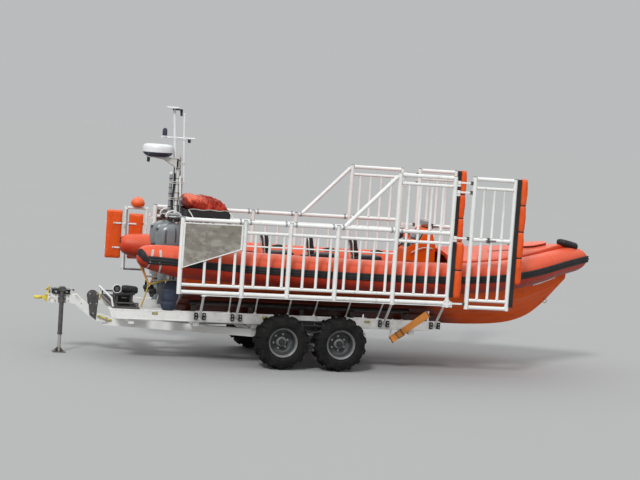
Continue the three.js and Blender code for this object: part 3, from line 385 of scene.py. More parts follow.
def hull_moulding():
    f = Finish("hull_moulding", (0.72, 0.092, 0.001), 0.34, coat=0.04, gloss=0.18)
    f.stain(1.1, 0.42, 0.70, (0.62, 0.064, 0.001), 0.7)
    scratches = f.band(f.noise(26, (0.06, 1, 1), detail=8), 0.62, 0.70)
    f.patch(scratches, (0.66, 0.21, 0.08), 0.4)
    f.stain(7, 0.58, 0.75, (0.34, 0.050, 0.008), 0.5, stretch=(0.3, 1, 1))
    # Painted shade: the hull's low sides over the cradle are darkened, fading out towards the bow
    # and up the sides.
    forward = f.plus(f.along("X"), f.times(f.along("Z"), HULL_SHADE_LEAN))
    end = HULL_SHADE_END + HULL_SHADE_LEAN * HULL_SHADE_TOP
    low = f.times(f.band(f.along("Z"), 1.37, 1.22), f.band(forward, end + 0.25, end - 0.25))
    f.patch(low, (0.045, 0.006, 0.003), 0.92)
    f.shine(f.noise(9), 0.22, 0.50)
    return f.relief(f.noise(3), 0.003).done()


def tyre_rubber():
    f = Finish("tyre", (0.0085, 0.0085, 0.009), 0.75, gloss=0.12)
    f.stain(6, 0.45, 0.75, (0.026, 0.024, 0.021), 0.7)
    f.stain(22, 0.60, 0.74, (0.075, 0.066, 0.053), 0.35)
    f.stain(75, 0.64, 0.70, (0.16, 0.14, 0.11), 0.25)
    f.shine(f.noise(12), 0.62, 0.92)
    return f.relief(f.noise(85), 0.0012).done()


def rim_paint():
    f = Finish("rim_steel", (0.17, 0.175, 0.175), 0.45, metal=0.15)
    f.stain(9, 0.42, 0.66, (0.105, 0.10, 0.092), 0.8)
    f.stain(28, 0.60, 0.70, (0.13, 0.07, 0.04), 0.5)
    f.patch(f.edges(), (0.34, 0.34, 0.34), 0.6)
    f.shine(f.noise(11), 0.36, 0.68)
    return f.relief(f.noise(50), 0.0008).done()


def deck_grey():
    f = Finish("deck_grey", (0.26, 0.275, 0.28), 0.7)
    f.stain(3, 0.42, 0.7, (0.17, 0.18, 0.18), 0.7)
    f.stain(17, 0.6, 0.72, (0.42, 0.38, 0.31), 0.4)
    f.relief(f.cells(160), 0.003)
    return f.shine(f.noise(9), 0.55, 0.85).done()


def seat_vinyl():
    f = Finish("seat_cover", (0.014, 0.014, 0.016), 0.45, gloss=0.25)
    f.stain(5, 0.45, 0.7, (0.05, 0.05, 0.052), 0.8)
    f.stain(24, 0.62, 0.72, (0.13, 0.12, 0.11), 0.4)
    f.relief(f.cells(420), 0.0006)
    f.relief(f.noise(9, twist=1.0), 0.004)
    return f.shine(f.noise(8), 0.34, 0.62).done()


def webbing(name="webbing", color=(0.92, 0.345, 0.075)):
    f = Finish(name, color, 0.75, sheen=0.1, gloss=0.2)
    f.patch(f.band(f.waves(110, "X"), 0.3, 0.8), darkened(color, 0.7), 0.4)
    f.stain(7, 0.48, 0.75, darkened(color, 0.6), 0.5)
    f.relief(f.waves(130, "X"), 0.0012)
    f.relief(f.waves(130, "Z"), 0.0012)
    return f.shine(f.noise(20), 0.65, 0.9).done()


def white_plastic():
    f = Finish("white_plastic", (0.66, 0.67, 0.68), 0.3, coat=0.3)
    f.stain(5, 0.45, 0.7, (0.57, 0.58, 0.58), 0.6)
    f.stain(20, 0.6, 0.74, (0.50, 0.47, 0.42), 0.35, stretch=(1, 1, 0.2))
    return f.shine(f.noise(8), 0.22, 0.45).relief(f.noise(50), 0.0003).done()


def cowl_paint():
    f = Finish("cowl_paint", (0.165, 0.183, 0.192), 0.36, coat=0.15)
    f.stain(4, 0.45, 0.72, (0.125, 0.140, 0.150), 0.7)
    f.stain(24, 0.62, 0.73, (0.34, 0.36, 0.36), 0.35, stretch=(1, 1, 0.3))
    return f.shine(f.noise(10), 0.20, 0.42).relief(f.noise(60), 0.0003).done()


def plate_mottled():
    f = Finish("plate_mottled", (0.205, 0.188, 0.158), 0.6, gloss=0.25)
    f.stain(4.5, 0.44, 0.62, (0.30, 0.285, 0.25), 0.9, stretch=(1, 1, 1.9), detail=2)
    f.stain(6.0, 0.54, 0.66, (0.150, 0.134, 0.108), 0.7, stretch=(1.3, 1, 1.7), detail=2)
    f.stain(11, 0.60, 0.74, (0.37, 0.36, 0.33), 0.3, stretch=(1, 1, 0.12))
    f.relief(f.cells(55), 0.0016)
    return f.shine(f.noise(12), 0.42, 0.70).done()


def dark_glass():
    f = Finish("dark_glass", (0.010, 0.012, 0.014), 0.08, coat=1.0)
    f.stain(9, 0.5, 0.8, (0.03, 0.032, 0.035), 0.6)
    return f.shine(f.noise(30), 0.05, 0.22).done()


def coloured(name, color, rough, coat=0.0):
    f = Finish(name, color, rough, coat=coat)
    f.stain(14, 0.45, 0.7, darkened(color, 0.6), 0.6)
    f.shine(f.noise(20), 0.8 * rough, min(1.0, 1.35 * rough))
    return f.relief(f.noise(110), 0.0004).done()


def rope(name, color):
    f = Finish(name, color, 0.8, sheen=0.2)
    f.stain(30, 0.45, 0.7, darkened(color, 0.55), 0.6)
    f.relief(f.waves(90, "DIAGONAL"), 0.003)
    return f.shine(f.noise(40), 0.7, 0.95).done()


def floor_paint():
    f = Finish("floor", (0.325, 0.326, 0.325), 0.9, gloss=0.0)
    f.stain(0.15, 0.4, 0.7, (0.316, 0.317, 0.316), 0.5)
    return f.done()


WHITE = painted_white()
GALV = galvanised()
ALLOY = alloy()
PALE_ALLOY = alloy("mast_alloy", (0.52, 0.52, 0.50), 0.15)
# A darker alloy for the landward gate's bottom bar and board post, as painted shade.
GATE_SHADE_ALLOY = alloy("gate_alloy_painted_shade", (0.33, 0.33, 0.32), 0.2)
YELLOW = painted("yellow_paint", (0.62, 0.50, 0.05))
STEEL = painted("dark_steel", (0.050, 0.053, 0.056))
PAD = pad_cover()
BLACK = black_cover()
KIT = black_cover("black_kit", 0.020)
SPONSON_CLOTH = sponson_cloth()
HULL_PAINT = hull_moulding()
TYRE_RUBBER = tyre_rubber()
RIM = rim_paint()
DECK = deck_grey()
SEAT = seat_vinyl()
WEBBING = webbing()
RADOME = white_plastic()
COWL = cowl_paint()
BAG = bag_cloth()
PLATE = plate_mottled()
GLASS = dark_glass()
ZINC = alloy("zinc_bolt", (0.50, 0.50, 0.48), 0.8)
NAVY = coloured("navy_cover", (0.020, 0.028, 0.055), 0.6)
RED = coloured("red_lens", (0.60, 0.02, 0.015), 0.2, 0.6)
# Pale finish for the bow's painted highlight.
BOW_HIGHLIGHT = coloured("bow_painted_highlight", (0.78, 0.74, 0.70), 0.4)
WELL_SHADE_RED = coloured("well_painted_shade", (0.085, 0.010, 0.008), 0.6)
ROPE_YELLOW = rope("rope_yellow", (0.62, 0.44, 0.05))
ROPE_BLUE = rope("rope_blue", (0.05, 0.09, 0.22))
ROPE_WHITE = rope("rope_white", (0.62, 0.60, 0.55))
WHITE_WEB = webbing("white_webbing", (0.60, 0.59, 0.55))

NODE_FINISH = {
    "chassis": WHITE, "cradle": WHITE, "tow_eye": YELLOW, "parking_jack": STEEL, "winch": STEEL,
    "stern_platform": KIT, "bogie_beam": STEEL, "fence": GALV, "outrigger": GALV,
    "plate_panel": PLATE,
    "inner_pad": PAD, "outer_pad": PAD, "strap": WEBBING, "hull": HULL_PAINT, "cockpit_deck": DECK,
    "foredeck": HULL_PAINT, "sponson": SPONSON_CLOTH, "strake": BLACK, "bow_fairlead": BLACK,
    "helm_console": HULL_PAINT,
    "helm_wheel": KIT, "seat_row": SEAT, "gantry": ALLOY, "bag_tray": KIT,
    "righting_bag": SPONSON_CLOTH,
    "mast": PALE_ALLOY, "radar": RADOME, "transom_bracket": STEEL, "swivel_bracket": STEEL,
    "engine": COWL, "propeller": KIT, "tyre": TYRE_RUBBER, "rim": RIM, "outer_gate": GALV,
    "stern_gate": GALV, "stern_board": PAD, "gate_float": PAD,
}


def dress_nodes():
    """Gives every CAD node its finish, and a small round on its edges."""
    for name, node in frame["nodes"].items():
        finish = next(f for start, f in NODE_FINISH.items() if name.startswith(start))
        node.data.materials.clear()
        node.data.materials.append(finish)
        round_edges(node, 0.004, 40).harden_normals = True


dress_nodes()


# Shapes

def angles(count, start=0.0):
    """The angles of count even steps round a circle."""
    return [start + 2 * math.pi * k / count for k in range(count)]


def squared(value, power):
    """The value to a power with its sign kept; powers below 1 turn a circle into a rounded box."""
    return math.copysign(abs(value) ** power, value)


class Shape:
    """Collects closed bodies of one piece, each face with the number of its finish."""

    def __init__(self, finish):
        self.finishes = [finish]
        self.verts = []
        self.faces = []
        self.marks = []
        self.paint = 0

    def use(self, finish):
        if finish not in self.finishes:
            self.finishes.append(finish)
        self.paint = self.finishes.index(finish)
        return self

    def add(self, verts, faces):
        start = len(self.verts)
        self.verts += [Vector(v) for v in verts]
        self.faces += [[start + i for i in face] for face in faces]
        self.marks += [self.paint] * len(faces)
        return self

    def loft(self, rings, closed=False):
        """A skin through rings of equal count, capped at both ends unless it closes on itself."""
        count = len(rings[0])
        faces = []
        steps = len(rings) if closed else len(rings) - 1
        for r in range(steps):
            a = r * count
            b = ((r + 1) % len(rings)) * count
            for i in range(count):
                j = (i + 1) % count
                faces.append((a + i, a + j, b + j, b + i))
        if not closed:
            last = (len(rings) - 1) * count
            faces.append(tuple(reversed(range(count))))
            faces.append(tuple(last + i for i in range(count)))
        return self.add([p for ring in rings for p in ring], faces)

    def tube(self, points, radius, sides=14, closed=False, flat=1.0):
        """A round bar along points; radius may be one number or one for each point."""
        points = [Vector(p) for p in points]
        radii = radius if isinstance(radius, (list, tuple)) else [radius] * len(points)
        rings = []
        for point, size, (across, lift) in zip(points, radii, directions(points, closed)):
            ring = []
            for angle in angles(sides):
                ring.append(point + across * (math.cos(angle) * size)
                            + lift * (math.sin(angle) * size * flat))
            rings.append(ring)
        return self.loft(rings, closed)

    def box(self, low, high, matrix=None):
        """A box between two opposite corners, given in any order."""
        corners = [Vector(corner) for corner in product(*(sorted(span) for span in zip(low, high)))]
        if matrix is not None:
            corners = [matrix @ c for c in corners]
        faces = [(0, 1, 3, 2), (4, 6, 7, 5), (0, 4, 5, 1), (2, 3, 7, 6), (0, 2, 6, 4), (1, 5, 7, 3)]
        return self.add(corners, faces)

    def plate(self, outline, y0, y1):
        """A plate drawn as (x, z) points, from y0 to y1."""
        near = [(x, min(y0, y1), z) for x, z in outline]
        far = [(x, max(y0, y1), z) for x, z in outline]
        return self.loft([near, far])

    def lathe(self, profile, centre, axis=(0, 0, 1), sides=32):
        """A body turned from (radius, height) pairs along an axis through centre."""
        axis = Vector(axis).normalized()
        turned = Vector((0, 0, 1)).rotation_difference(axis)
        rings = []
        for radius, height in profile:
            size = max(radius, 0.0002)
            ring = []
            for angle in angles(sides):
                spot = Vector((size * math.cos(angle), size * math.sin(angle), height))
                ring.append(Vector(centre) + turned @ spot)
            rings.append(ring)
        return self.loft(rings)

    def disc(self, radius, height, centre, axis=(0, 0, 1), sides=32):
        return self.collar(0, radius, height, centre, axis, sides)

    def collar(self, bore, radius, height, centre, axis=(0, 0, 1), sides=32):
        """A thick ring round a bar of the bore's radius."""
        return self.lathe([(bore, 0), (radius, 0), (radius, height), (bore, height)], centre, axis,
                          sides)

    def swept(self, profile, sides, spot):
        """A hollow body; spot places each (radius, height) of the profile at each angle."""
        rings = []
        for a in angles(sides):
            rings.append([spot(r, h, math.sin(a), math.cos(a)) for r, h in profile])
        return self.loft(rings, closed=True)

    def bolt(self, centre, axis, size=0.012):
        """A hexagon head on a washer."""
        self.lathe([(size * 1.5, 0), (size * 1.5, size * 0.25)], centre, axis, 16)
        self.lathe([(size, size * 0.25), (size, size * 0.9), (size * 0.8, size * 1.05)], centre,
                   axis, 6)
        return self

    def bolts(self, spots, axis, size):
        """A zinc bolt at each spot; the shape's finish stays what it was."""
        paint = self.paint
        self.use(ZINC)
        for spot in spots:
            self.bolt(spot, axis, size)
        self.paint = paint
        return self

    def ring(self, centre, axis, radius, thick, sides=24):
        """A round bar bent to a ring."""
        turned = Vector((0, 0, 1)).rotation_difference(Vector(axis).normalized())
        points = []
        for angle in angles(sides):
            spot = Vector((radius * math.cos(angle), radius * math.sin(angle), 0))
            points.append(Vector(centre) + turned @ spot)
        return self.tube(points, thick, 8, closed=True)


def directions(points, closed):
    """For each point of a route, two directions square to it that don't twist."""
    count = len(points)
    along = []
    for i in range(count):
        before = points[(i - 1) % count] if closed or i > 0 else points[i]
        after = points[(i + 1) % count] if closed or i < count - 1 else points[i]
        along.append((after - before).normalized())
    helper = Vector((0, 0, 1)) if abs(along[0].z) < 0.9 else Vector((1, 0, 0))
    across = along[0].cross(helper).normalized()
    found = []
    for i, direction in enumerate(along):
        if i > 0:
            across = along[i - 1].rotation_difference(direction) @ across
            across = (across - direction * across.dot(direction)).normalized()
        found.append((across, across.cross(direction)))
    return found


def smooth_route(points, per_span):
    """A rounded route through given points."""
    points = [Vector(p) for p in points]
    last = len(points) - 1
    route = []
    for i in range(last):
        p0, p1, p2, p3 = (points[min(max(k, 0), last)] for k in range(i - 1, i + 3))
        for step in range(per_span):
            t = step / per_span
            route.append(0.5 * (2 * p1 + (p2 - p0) * t + (2 * p0 - 5 * p1 + 4 * p2 - p3) * t ** 2
                                + (3 * p1 - p0 - 3 * p2 + p3) * t ** 3))
    route.append(points[-1])
    return route


def make(name, shape, body=BODY, stands_for=(), bevel=0.003, smooth=38, place=None,
         cut_side=0):
    """Turns a shape into one piece that rides on a body.

    A piece with a place of its own isn't shifted, and cut_side keeps one side of the centre line.
    """
    mesh = bpy.data.meshes.new(name)
    shift = SHIFT if place is None else Vector((0, 0, 0))
    mesh.from_pydata([v + shift for v in shape.verts], [], shape.faces)
    for finish in shape.finishes:
        mesh.materials.append(finish)
    mesh.polygons.foreach_set("material_index", shape.marks)
    tidy = bmesh.new()
    tidy.from_mesh(mesh)
    if cut_side:
        bmesh.ops.bisect_plane(tidy, geom=tidy.verts[:] + tidy.edges[:] + tidy.faces[:],
                               plane_co=(0, cut_side * CENTRE_GAP, 0), plane_no=(0, cut_side, 0),
                               clear_inner=True)
        bmesh.ops.holes_fill(tidy, edges=[e for e in tidy.edges if e.is_boundary])
    bmesh.ops.recalc_face_normals(tidy, faces=tidy.faces)
    tidy.to_mesh(mesh)
    tidy.free()
    mesh.polygons.foreach_set("use_smooth", [True] * len(mesh.polygons))
    mesh.set_sharp_from_angle(angle=math.radians(smooth))
    piece = placed(name, mesh)
    if place is not None:
        piece.matrix_world = place
    if bevel:
        round_edges(piece, bevel, 42)
    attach(piece, body)
    if stands_for:
        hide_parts(*stands_for)
    return piece


def copied_mesh(piece):
    """The piece's mesh with its modifiers applied."""
    scene = bpy.context.evaluated_depsgraph_get()
    return bpy.data.meshes.new_from_object(piece.evaluated_get(scene))


def puff(piece, voxel, cap, pressure, last_frame):
    """Blows a padded piece up as cloth and keeps the result; no point moves further than cap."""
    scene = bpy.context.scene
    finishes = list(piece.data.materials)
    trial = placed(piece.name + "_cloth", piece.data.copy())
    even = trial.modifiers.new("even", "REMESH")
    even.mode, even.voxel_size = "VOXEL", voxel
    trial.data = copied_mesh(trial)
    trial.modifiers.remove(even)
    start = [v.co.copy() for v in trial.data.vertices]
    cloth = trial.modifiers.new("cloth", "CLOTH")
    cloth.settings.use_pressure = True
    cloth.settings.uniform_pressure_force = pressure
    cloth.settings.effector_weights.gravity = 0
    cloth.point_cache.frame_start, cloth.point_cache.frame_end = 1, last_frame
    for frame in range(1, last_frame + 1):
        scene.frame_set(frame)
    blown = copied_mesh(trial)
    scene.frame_set(1)
    for vert, home in zip(blown.vertices, start):
        move = vert.co - home
        if move.length > cap:
            vert.co = home + move * (cap / move.length)
    bpy.data.objects.remove(trial)
    blown.name = piece.name
    blown.materials.clear()
    for finish in finishes:
        blown.materials.append(finish)
    blown.polygons.foreach_set("use_smooth", [True] * len(blown.polygons))
    piece.data = blown
    rounder = piece.modifiers.new("rounder", "SUBSURF")
    rounder.levels = rounder.render_levels = 1
    smooth = copied_mesh(piece)
    piece.modifiers.remove(rounder)
    smooth.name = piece.name
    piece.data = smooth


def hump(at, middle, width):
    """A rounded hump of 1 at its middle."""
    return math.exp(-((at - middle) / width) ** 2)


def tilted(x, y, z, degrees):
    """A place turned about the Y axis."""
    return Matrix.Translation((x, y, z)) @ Matrix.Rotation(math.radians(degrees), 4, "Y")


def wrinkled(spot, size, scale, seed):
    """A steady random amount between -size and size at a spot."""
    return size * noise.noise(Vector(spot) * scale + Vector((seed, seed * 1.7, 0)))


# Wheels

HUB_Z = (tyre_low[2] + tyre_high[2]) / 2
TYRE_LUGS = 14
WHEEL_Y = 1.24
DISH_EDGE = 0.2125


def round_y(radius, y, sine, cosine):
    return radius * sine, y, radius * cosine


def tyre_shape():
    """A tyre around the Y axis at the origin, its outer face towards -Y."""
    shape = Shape(TYRE_RUBBER)
    side = [(0.237, 0.172), (0.250, 0.196), (0.262, 0.190), (0.285, 0.207), (0.330, 0.210),
            (0.372, 0.205), (0.402, 0.190), (0.424, 0.165), (0.434, 0.125), (0.437, 0.06)]
    profile = side + [(r, -y) for r, y in reversed(side)]
    shape.swept(profile, 84, round_y)
    for y in (0.209523, -0.209523):
        for radius in (0.305, 0.352):
            shape.ring((0, y, 0), (0, 1, 0), radius, 0.0035, 64)
    stations = [(0.006, 0.464, 0.434), (0.060, 0.465, 0.432), (0.125, 0.463, 0.428),
                (0.172, 0.452, 0.418), (0.200, 0.425, 0.398), (0.209, 0.388, 0.376)]
    for row, s in ((0, -1), (1, 1)):
        for i in range(TYRE_LUGS):
            middle = (i + row / 2) / TYRE_LUGS * 2 * math.pi
            lug = []
            for y, top, low in stations:
                lean = middle + 0.55 * (y - 0.10)
                half = 0.030 + 0.035 * y
                corners = [(low, half + 0.006), (top, half - 0.005), (top, 0.005 - half),
                           (low, -half - 0.006)]
                ring = []
                for r, offset in corners:
                    a = lean + offset / r
                    ring.append((r * math.sin(a), s * y, r * math.cos(a)))
                lug.append(ring)
            shape.loft(lug)
    return shape


def rim_shape():
    """A pressed wheel: a light lip round a dish painted darker as painted shade."""
    shape = Shape(RIM)
    barrel = [(0.2365, 0.183), (0.250, 0.190), (0.252, 0.183), (0.236, 0.166), (0.222, 0.150),
              (0.212, 0.060), (0.205, -0.030), (0.150, -0.052), (0.118, -0.050), (0.095, -0.036),
              (0.088, -0.036)]
    inner = [(0.088, -0.026), (0.118, -0.038), (0.150, -0.040), (0.196, -0.018), (0.203, 0.062),
             (0.212, 0.150), (0.222, 0.170)]
    # The barrel's outer lip is towards -Y.
    shape.swept([(r, -y) for r, y in barrel + inner], 64, round_y)
    # Painted shade: the faces inside the dish's edge take the darker steel finish.
    dark = shape.use(STEEL).paint
    for i, face in enumerate(shape.faces):
        if all(math.hypot(shape.verts[k].x, shape.verts[k].z) < DISH_EDGE for k in face):
            shape.marks[i] = dark
    back = [(0.205, -0.03), (0.235, 0.10), (0.250, 0.190), (0.242, 0.190), (0.228, 0.105),
            (0.198, -0.02)]
    shape.use(RIM).swept(back, 64, round_y)
    shape.lathe([(0.0, 0.0), (0.090, 0.0), (0.090, 0.060), (0.070, 0.085), (0.0, 0.092)],
                (0, 0.03, 0), (0, -1, 0), 40)
    shape.use(KIT)
    shape.lathe([(0.0, 0), (0.052, 0), (0.052, 0.030), (0.044, 0.042), (0.0, 0.045)],
                (0, -0.055, 0), (0, -1, 0), 32)
    shape.bolts([round_y(0.122, 0.036, math.sin(a), math.cos(a)) for a in angles(6)], (0, -1, 0),
                0.013)
    shape.tube([(0.17, 0.03, 0.02), (0.178, -0.02, 0.02), (0.178, -0.045, 0.02)], 0.005, 8)
    return shape


def make_wheels():
    tyre, rim = tyre_shape(), rim_shape()
    for side, s in SIDES.items():
        for place, x in (("sea", WHEEL_X), ("land", -WHEEL_X)):
            centre = Vector((x + AXLES_X, s * WHEEL_Y, HUB_Z))
            facing = Matrix.Rotation(0 if s < 0 else math.pi, 4, "Z")
            roll = Matrix.Rotation(0.7 * x + 0.4 * s, 4, "Y")
            where = Matrix.Translation(centre) @ facing
            body = f"wheel_{place}_{side}"
            make(f"tyre_look_{place}_{side}", tyre, body, [f"tyre_{place}_{side}"], 0.004,
                 place=where)
            make(f"rim_look_{place}_{side}", rim, body, [f"rim_{place}_{side}"], 0.002,
                 place=where @ roll)


# The cradle's rails and the side fences

RAIL = {"y": 0.900, "half": 0.045, "land": -3.400, "sea": 2.380, "bottom": 0.700, "top": 0.870}
FENCE_Y = 1.6
POSTS = [-2.350, -1.310, -0.540, 0.270, 1.280, 2.250]
BARS = [-1.950, -1.700, -1.450, -1.120, -0.880, -0.640, -0.290, -0.060, 0.160, 0.420, 0.670, 0.910,
        1.140]
GATE_BARS = [1.450, 1.650, 1.850, 2.050]
LEVEL = {"bottom": 1.270, "sub_bottom": 1.390, "thin": 2.070, "sub_top": 2.290, "top": 2.460}
GATE_LEVEL = {"land": 1.280, "sub_top": 3.260, "top": 3.400}
TUBE = {"post": 0.0375, "rail": 0.0335, "lower": 0.0265, "bar": 0.0235, "thin": 0.012}
ARM_Z = [3.330, 3.170, 2.390, 1.270]
HINGE = {"x": 2.320, "pin": 0.010, "half": 0.028}
INNER_PAD = {"x": 2.398, "radius": 0.089, "bottom": 1.375, "top": 2.315}
STERN_HINGE_X = -2.430
STERN_HINGE_Z = [2.300, 1.450]
WELD = 1.14


def bar(shape, a, b, radius, sides=14):
    """A tube with a weld's thickening at both ends."""
    a, b = Vector(a), Vector(b)
    run = (b - a).normalized()
    length = (b - a).length
    lead = min(0.012, length / 6)
    points = [a, a + run * lead, a + run * 2 * lead, b - run * 2 * lead, b - run * lead, b]
    radii = [radius * WELD, radius * WELD * 0.97, radius, radius, radius * WELD * 0.97,
             radius * WELD]
    shape.tube(points, radii, sides)


def round_z(x, y, z=0):
    """Places a swept profile round an upright axis."""
    return lambda radius, height, sine, cosine: (x + radius * cosine, y + radius * sine, z + height)


def hinge_sleeve(radius):
    """The profile of a sleeve that turns on a hinge pin."""
    half, bore = HINGE["half"], 0.0135
    return [(bore, -half), (radius, -half), (radius, half), (bore, half)]


def capped_post(shape, x, y, low, high, radius):
    """An upright tube with a plastic plug in its top."""
    shape.tube([(x, y, low), (x, y, high)], radius, 18)
    paint = shape.paint
    shape.use(KIT).lathe([(0, 0), (radius * 0.94, 0), (radius * 0.9, 0.006), (0, 0.010)],
                         (x, y, high), sides=18)
    shape.paint = paint


def fence_shape(s):
    y = s * FENCE_Y
    first, last = POSTS[0], POSTS[-1]
    post, rail, lower, thin_bar = TUBE["post"], TUBE["rail"], TUBE["lower"], TUBE["bar"]
    shape = Shape(GALV)
    for x in POSTS:
        top = GATE_LEVEL["top"] if x >= GATE_LEVEL["land"] else LEVEL["top"]
        capped_post(shape, x, y, LEVEL["bottom"] - 0.036, top + 0.028, post)
    for a, b in zip(POSTS, POSTS[1:]):
        bar(shape, (a + post, y, LEVEL["bottom"]), (b - post, y, LEVEL["bottom"]), rail, 16)
        bar(shape, (a + post, y, LEVEL["top"]), (b - post, y, LEVEL["top"]), rail, 16)
        bar(shape, (a + post, y, LEVEL["sub_bottom"]), (b - post, y, LEVEL["sub_bottom"]), lower)
        bar(shape, (a + post, y, LEVEL["sub_top"]), (b - post, y, LEVEL["sub_top"]), lower)
    for a, b in zip(POSTS[1:-2], POSTS[2:-1]):
        bar(shape, (a + post, y, LEVEL["thin"]), (b - post, y, LEVEL["thin"]), TUBE["thin"], 10)
    land = GATE_LEVEL["land"]
    for z, size in ((GATE_LEVEL["top"], rail), (GATE_LEVEL["sub_top"], lower)):
        bar(shape, (land + post, y, z), (last - post, y, z), size)
    for x in BARS:
        bar(shape, (x, y, LEVEL["sub_bottom"] + lower), (x, y, LEVEL["sub_top"] - lower), thin_bar,
            12)
    for x in GATE_BARS:
        bar(shape, (x, y, LEVEL["sub_bottom"] + lower), (x, y, LEVEL["top"] - rail), thin_bar, 12)
        bar(shape, (x, y, LEVEL["top"] + rail), (x, y, GATE_LEVEL["sub_top"] - lower), thin_bar, 12)
    bar(shape, (0.380, y, LEVEL["top"] + rail * 0.6), (land - post, y, GATE_LEVEL["top"] - 0.03),
        rail, 16)
    # Round end plate where the bottom rail meets the last post, and small ones along the top.
    outside = y + s * 0.034
    shape.disc(0.070, 0.006, (last - 0.01, outside, LEVEL["bottom"]), (0, s, 0), 32)
    shape.bolts([(last - 0.01 + 0.048 * math.cos(a), outside + s * 0.006,
                  LEVEL["bottom"] + 0.048 * math.sin(a))
                 for a in angles(4, math.pi / 4)], (0, s, 0), 0.007)
    # Pipe clamps on the top rail beside each post.
    shape.use(ALLOY)
    for x in POSTS[1:-1]:
        for edge in (-0.085, 0.085):
            shape.lathe([(0.033, -0.015), (0.042, -0.015), (0.042, 0.015), (0.033, 0.015)],
                        (x + edge, y, LEVEL["top"]), (1, 0, 0), 20)
            shape.box((x + edge - 0.013, y - 0.012, LEVEL["top"] + 0.036),
                      (x + edge + 0.013, y + 0.012, LEVEL["top"] + 0.056))
    # Lugs and pins of the outer gate's hinges.
    for z in ARM_Z:
        low = z - HINGE["half"]
        shape.use(GALV)
        shape.box((last + 0.02, y - 0.022, low - 0.036),
                  (HINGE["x"] + 0.024, y + 0.022, low - 0.006))
        shape.use(ZINC)
        shape.tube([(HINGE["x"], y, low - 0.036), (HINGE["x"], y, z + HINGE["half"] + 0.004)],
                   HINGE["pin"], 12)
        shape.bolt((HINGE["x"], y, low - 0.036), (0, 0, -1))
    if s > 0:
        shape.use(GALV)
        for z in STERN_HINGE_Z:
            low = z - HINGE["half"]
            shape.box((STERN_HINGE_X - 0.020, y - 0.020, low - 0.036),
                      (first, y + 0.020, low - 0.006))
            shape.tube([(STERN_HINGE_X, y, low - 0.036), (STERN_HINGE_X, y, z + HINGE["half"])],
                       0.010, 12)
    # The black board that the inner pad is laced to.
    shape.use(BLACK)
    shape.box((last + 0.022, y - 0.066, INNER_PAD["bottom"] + 0.004),
              (INNER_PAD["x"] - 0.068, y + 0.066, INNER_PAD["top"] - 0.004))
    return shape


def pad_shape(x, y, bottom, top, radius, count, seed):
    """A standing padded roll of count cushions, with straps in the grooves between them."""
    shape = Shape(PAD)
    sides = 36
    height = (top - bottom) / count
    rings = []
    for part in range(count):
        steps = 22
        for k in range(steps + 1):
            t = k / steps
            z = bottom + (part + t) * height
            swell = math.sin(math.pi * t) ** 0.40
            ring = []
            for angle in angles(sides):
                size = radius * (0.70 + 0.30 * swell)
                pull = wrinkled((math.cos(angle) * 0.3, math.sin(angle) * 0.3, z), 0.0075, 7.0,
                                seed)
                crease = wrinkled((angle * 0.9, 0, z * 3.1), 0.004, 9.0, seed + 3)
                fold = 0.0035 * math.sin(17 * angle + 5 * part) * (1 - swell)
                size = min(size + (pull + crease) * swell + fold - 0.004, radius)
                ring.append((x + size * math.cos(angle), y + size * math.sin(angle), z))
            rings.append(ring)
    ends = []
    for z, ring in ((bottom, rings[0]), (top, rings[-1])):
        middle = Vector((x, y, z))
        ends.append([tuple(middle + (Vector(p) - middle) * 0.55) for p in ring])
    shape.loft([ends[0]] + rings + [ends[1]])
    shape.use(BLACK)
    for part in range(1, count):
        z = bottom + part * height
        shape.ring((x, y, z), (0, 0, 1), radius * 0.715, 0.010, 36)
    for part in range(count):
        for share in (0.3, 0.7):
            z = bottom + (part + share) * height
            shape.box((x - (radius - 0.004), y - 0.028, z - 0.020),
                      (x - (radius + 0.006), y + 0.028, z + 0.020))
    return shape


OUTER_GATE = {"land": 0.275, "sea": 0.995, "bottom": 1.220, "middle": 2.375, "top": 3.410,
              "bars": [0.455, 0.635, 0.815]}
OUTER_PAD = {"x": 1.143, "radius": 0.074, "bottom": 1.655, "top": 3.455}
SPLAY = math.radians(2)


def outer_gate_shape():
    """An outer gate in line with +X from its hinge at the origin."""
    measures = ("land", "sea", "bottom", "middle", "top")
    land, sea, bottom, middle, top = (OUTER_GATE[k] for k in measures)
    post, rail, lower, thin_bar = TUBE["post"], TUBE["rail"], TUBE["lower"], TUBE["bar"]
    sub_bottom, sub_top = bottom + 0.120, top - 0.155
    shape = Shape(GALV)
    for x in (land, sea):
        capped_post(shape, x, 0, bottom - 0.034, top + 0.028, post)
    for z in (bottom, middle, top):
        bar(shape, (land + post, 0, z), (sea - post, 0, z), rail, 16)
    for z in (sub_bottom, sub_top):
        bar(shape, (land + post, 0, z), (sea - post, 0, z), lower)
    for x in OUTER_GATE["bars"]:
        bar(shape, (x, 0, sub_bottom + lower), (x, 0, middle - rail), thin_bar, 12)
        bar(shape, (x, 0, middle + rail), (x, 0, sub_top - lower), thin_bar, 12)
    for z in ARM_Z:
        shape.box((0.024, -0.014, z - 0.014), (land - post + 0.006, 0.014, z + 0.014))
        shape.swept(hinge_sleeve(0.030), 24, round_z(0, 0, z))
        shape.use(STEEL)
        shape.box((land - 0.075, -0.020, z - 0.030), (land - 0.026, 0.020, z + 0.030))
        shape.use(GALV)
    shape.use(BLACK)
    shape.box((sea + 0.026, -0.060, bottom + 0.035),
              (OUTER_PAD["x"] - 0.058, 0.060, OUTER_PAD["top"] - 0.012))
    # Latch on the middle rail.
    shape.use(STEEL)
    shape.box((0.560, -0.040, middle - 0.045), (0.600, 0.040, middle + 0.045))
    shape.tube([(0.530, -0.045, middle), (0.700, -0.045, middle)], 0.011, 12)
    shape.tube([(0.690, -0.045, middle), (0.690, -0.100, middle)], 0.008, 10)
    return shape


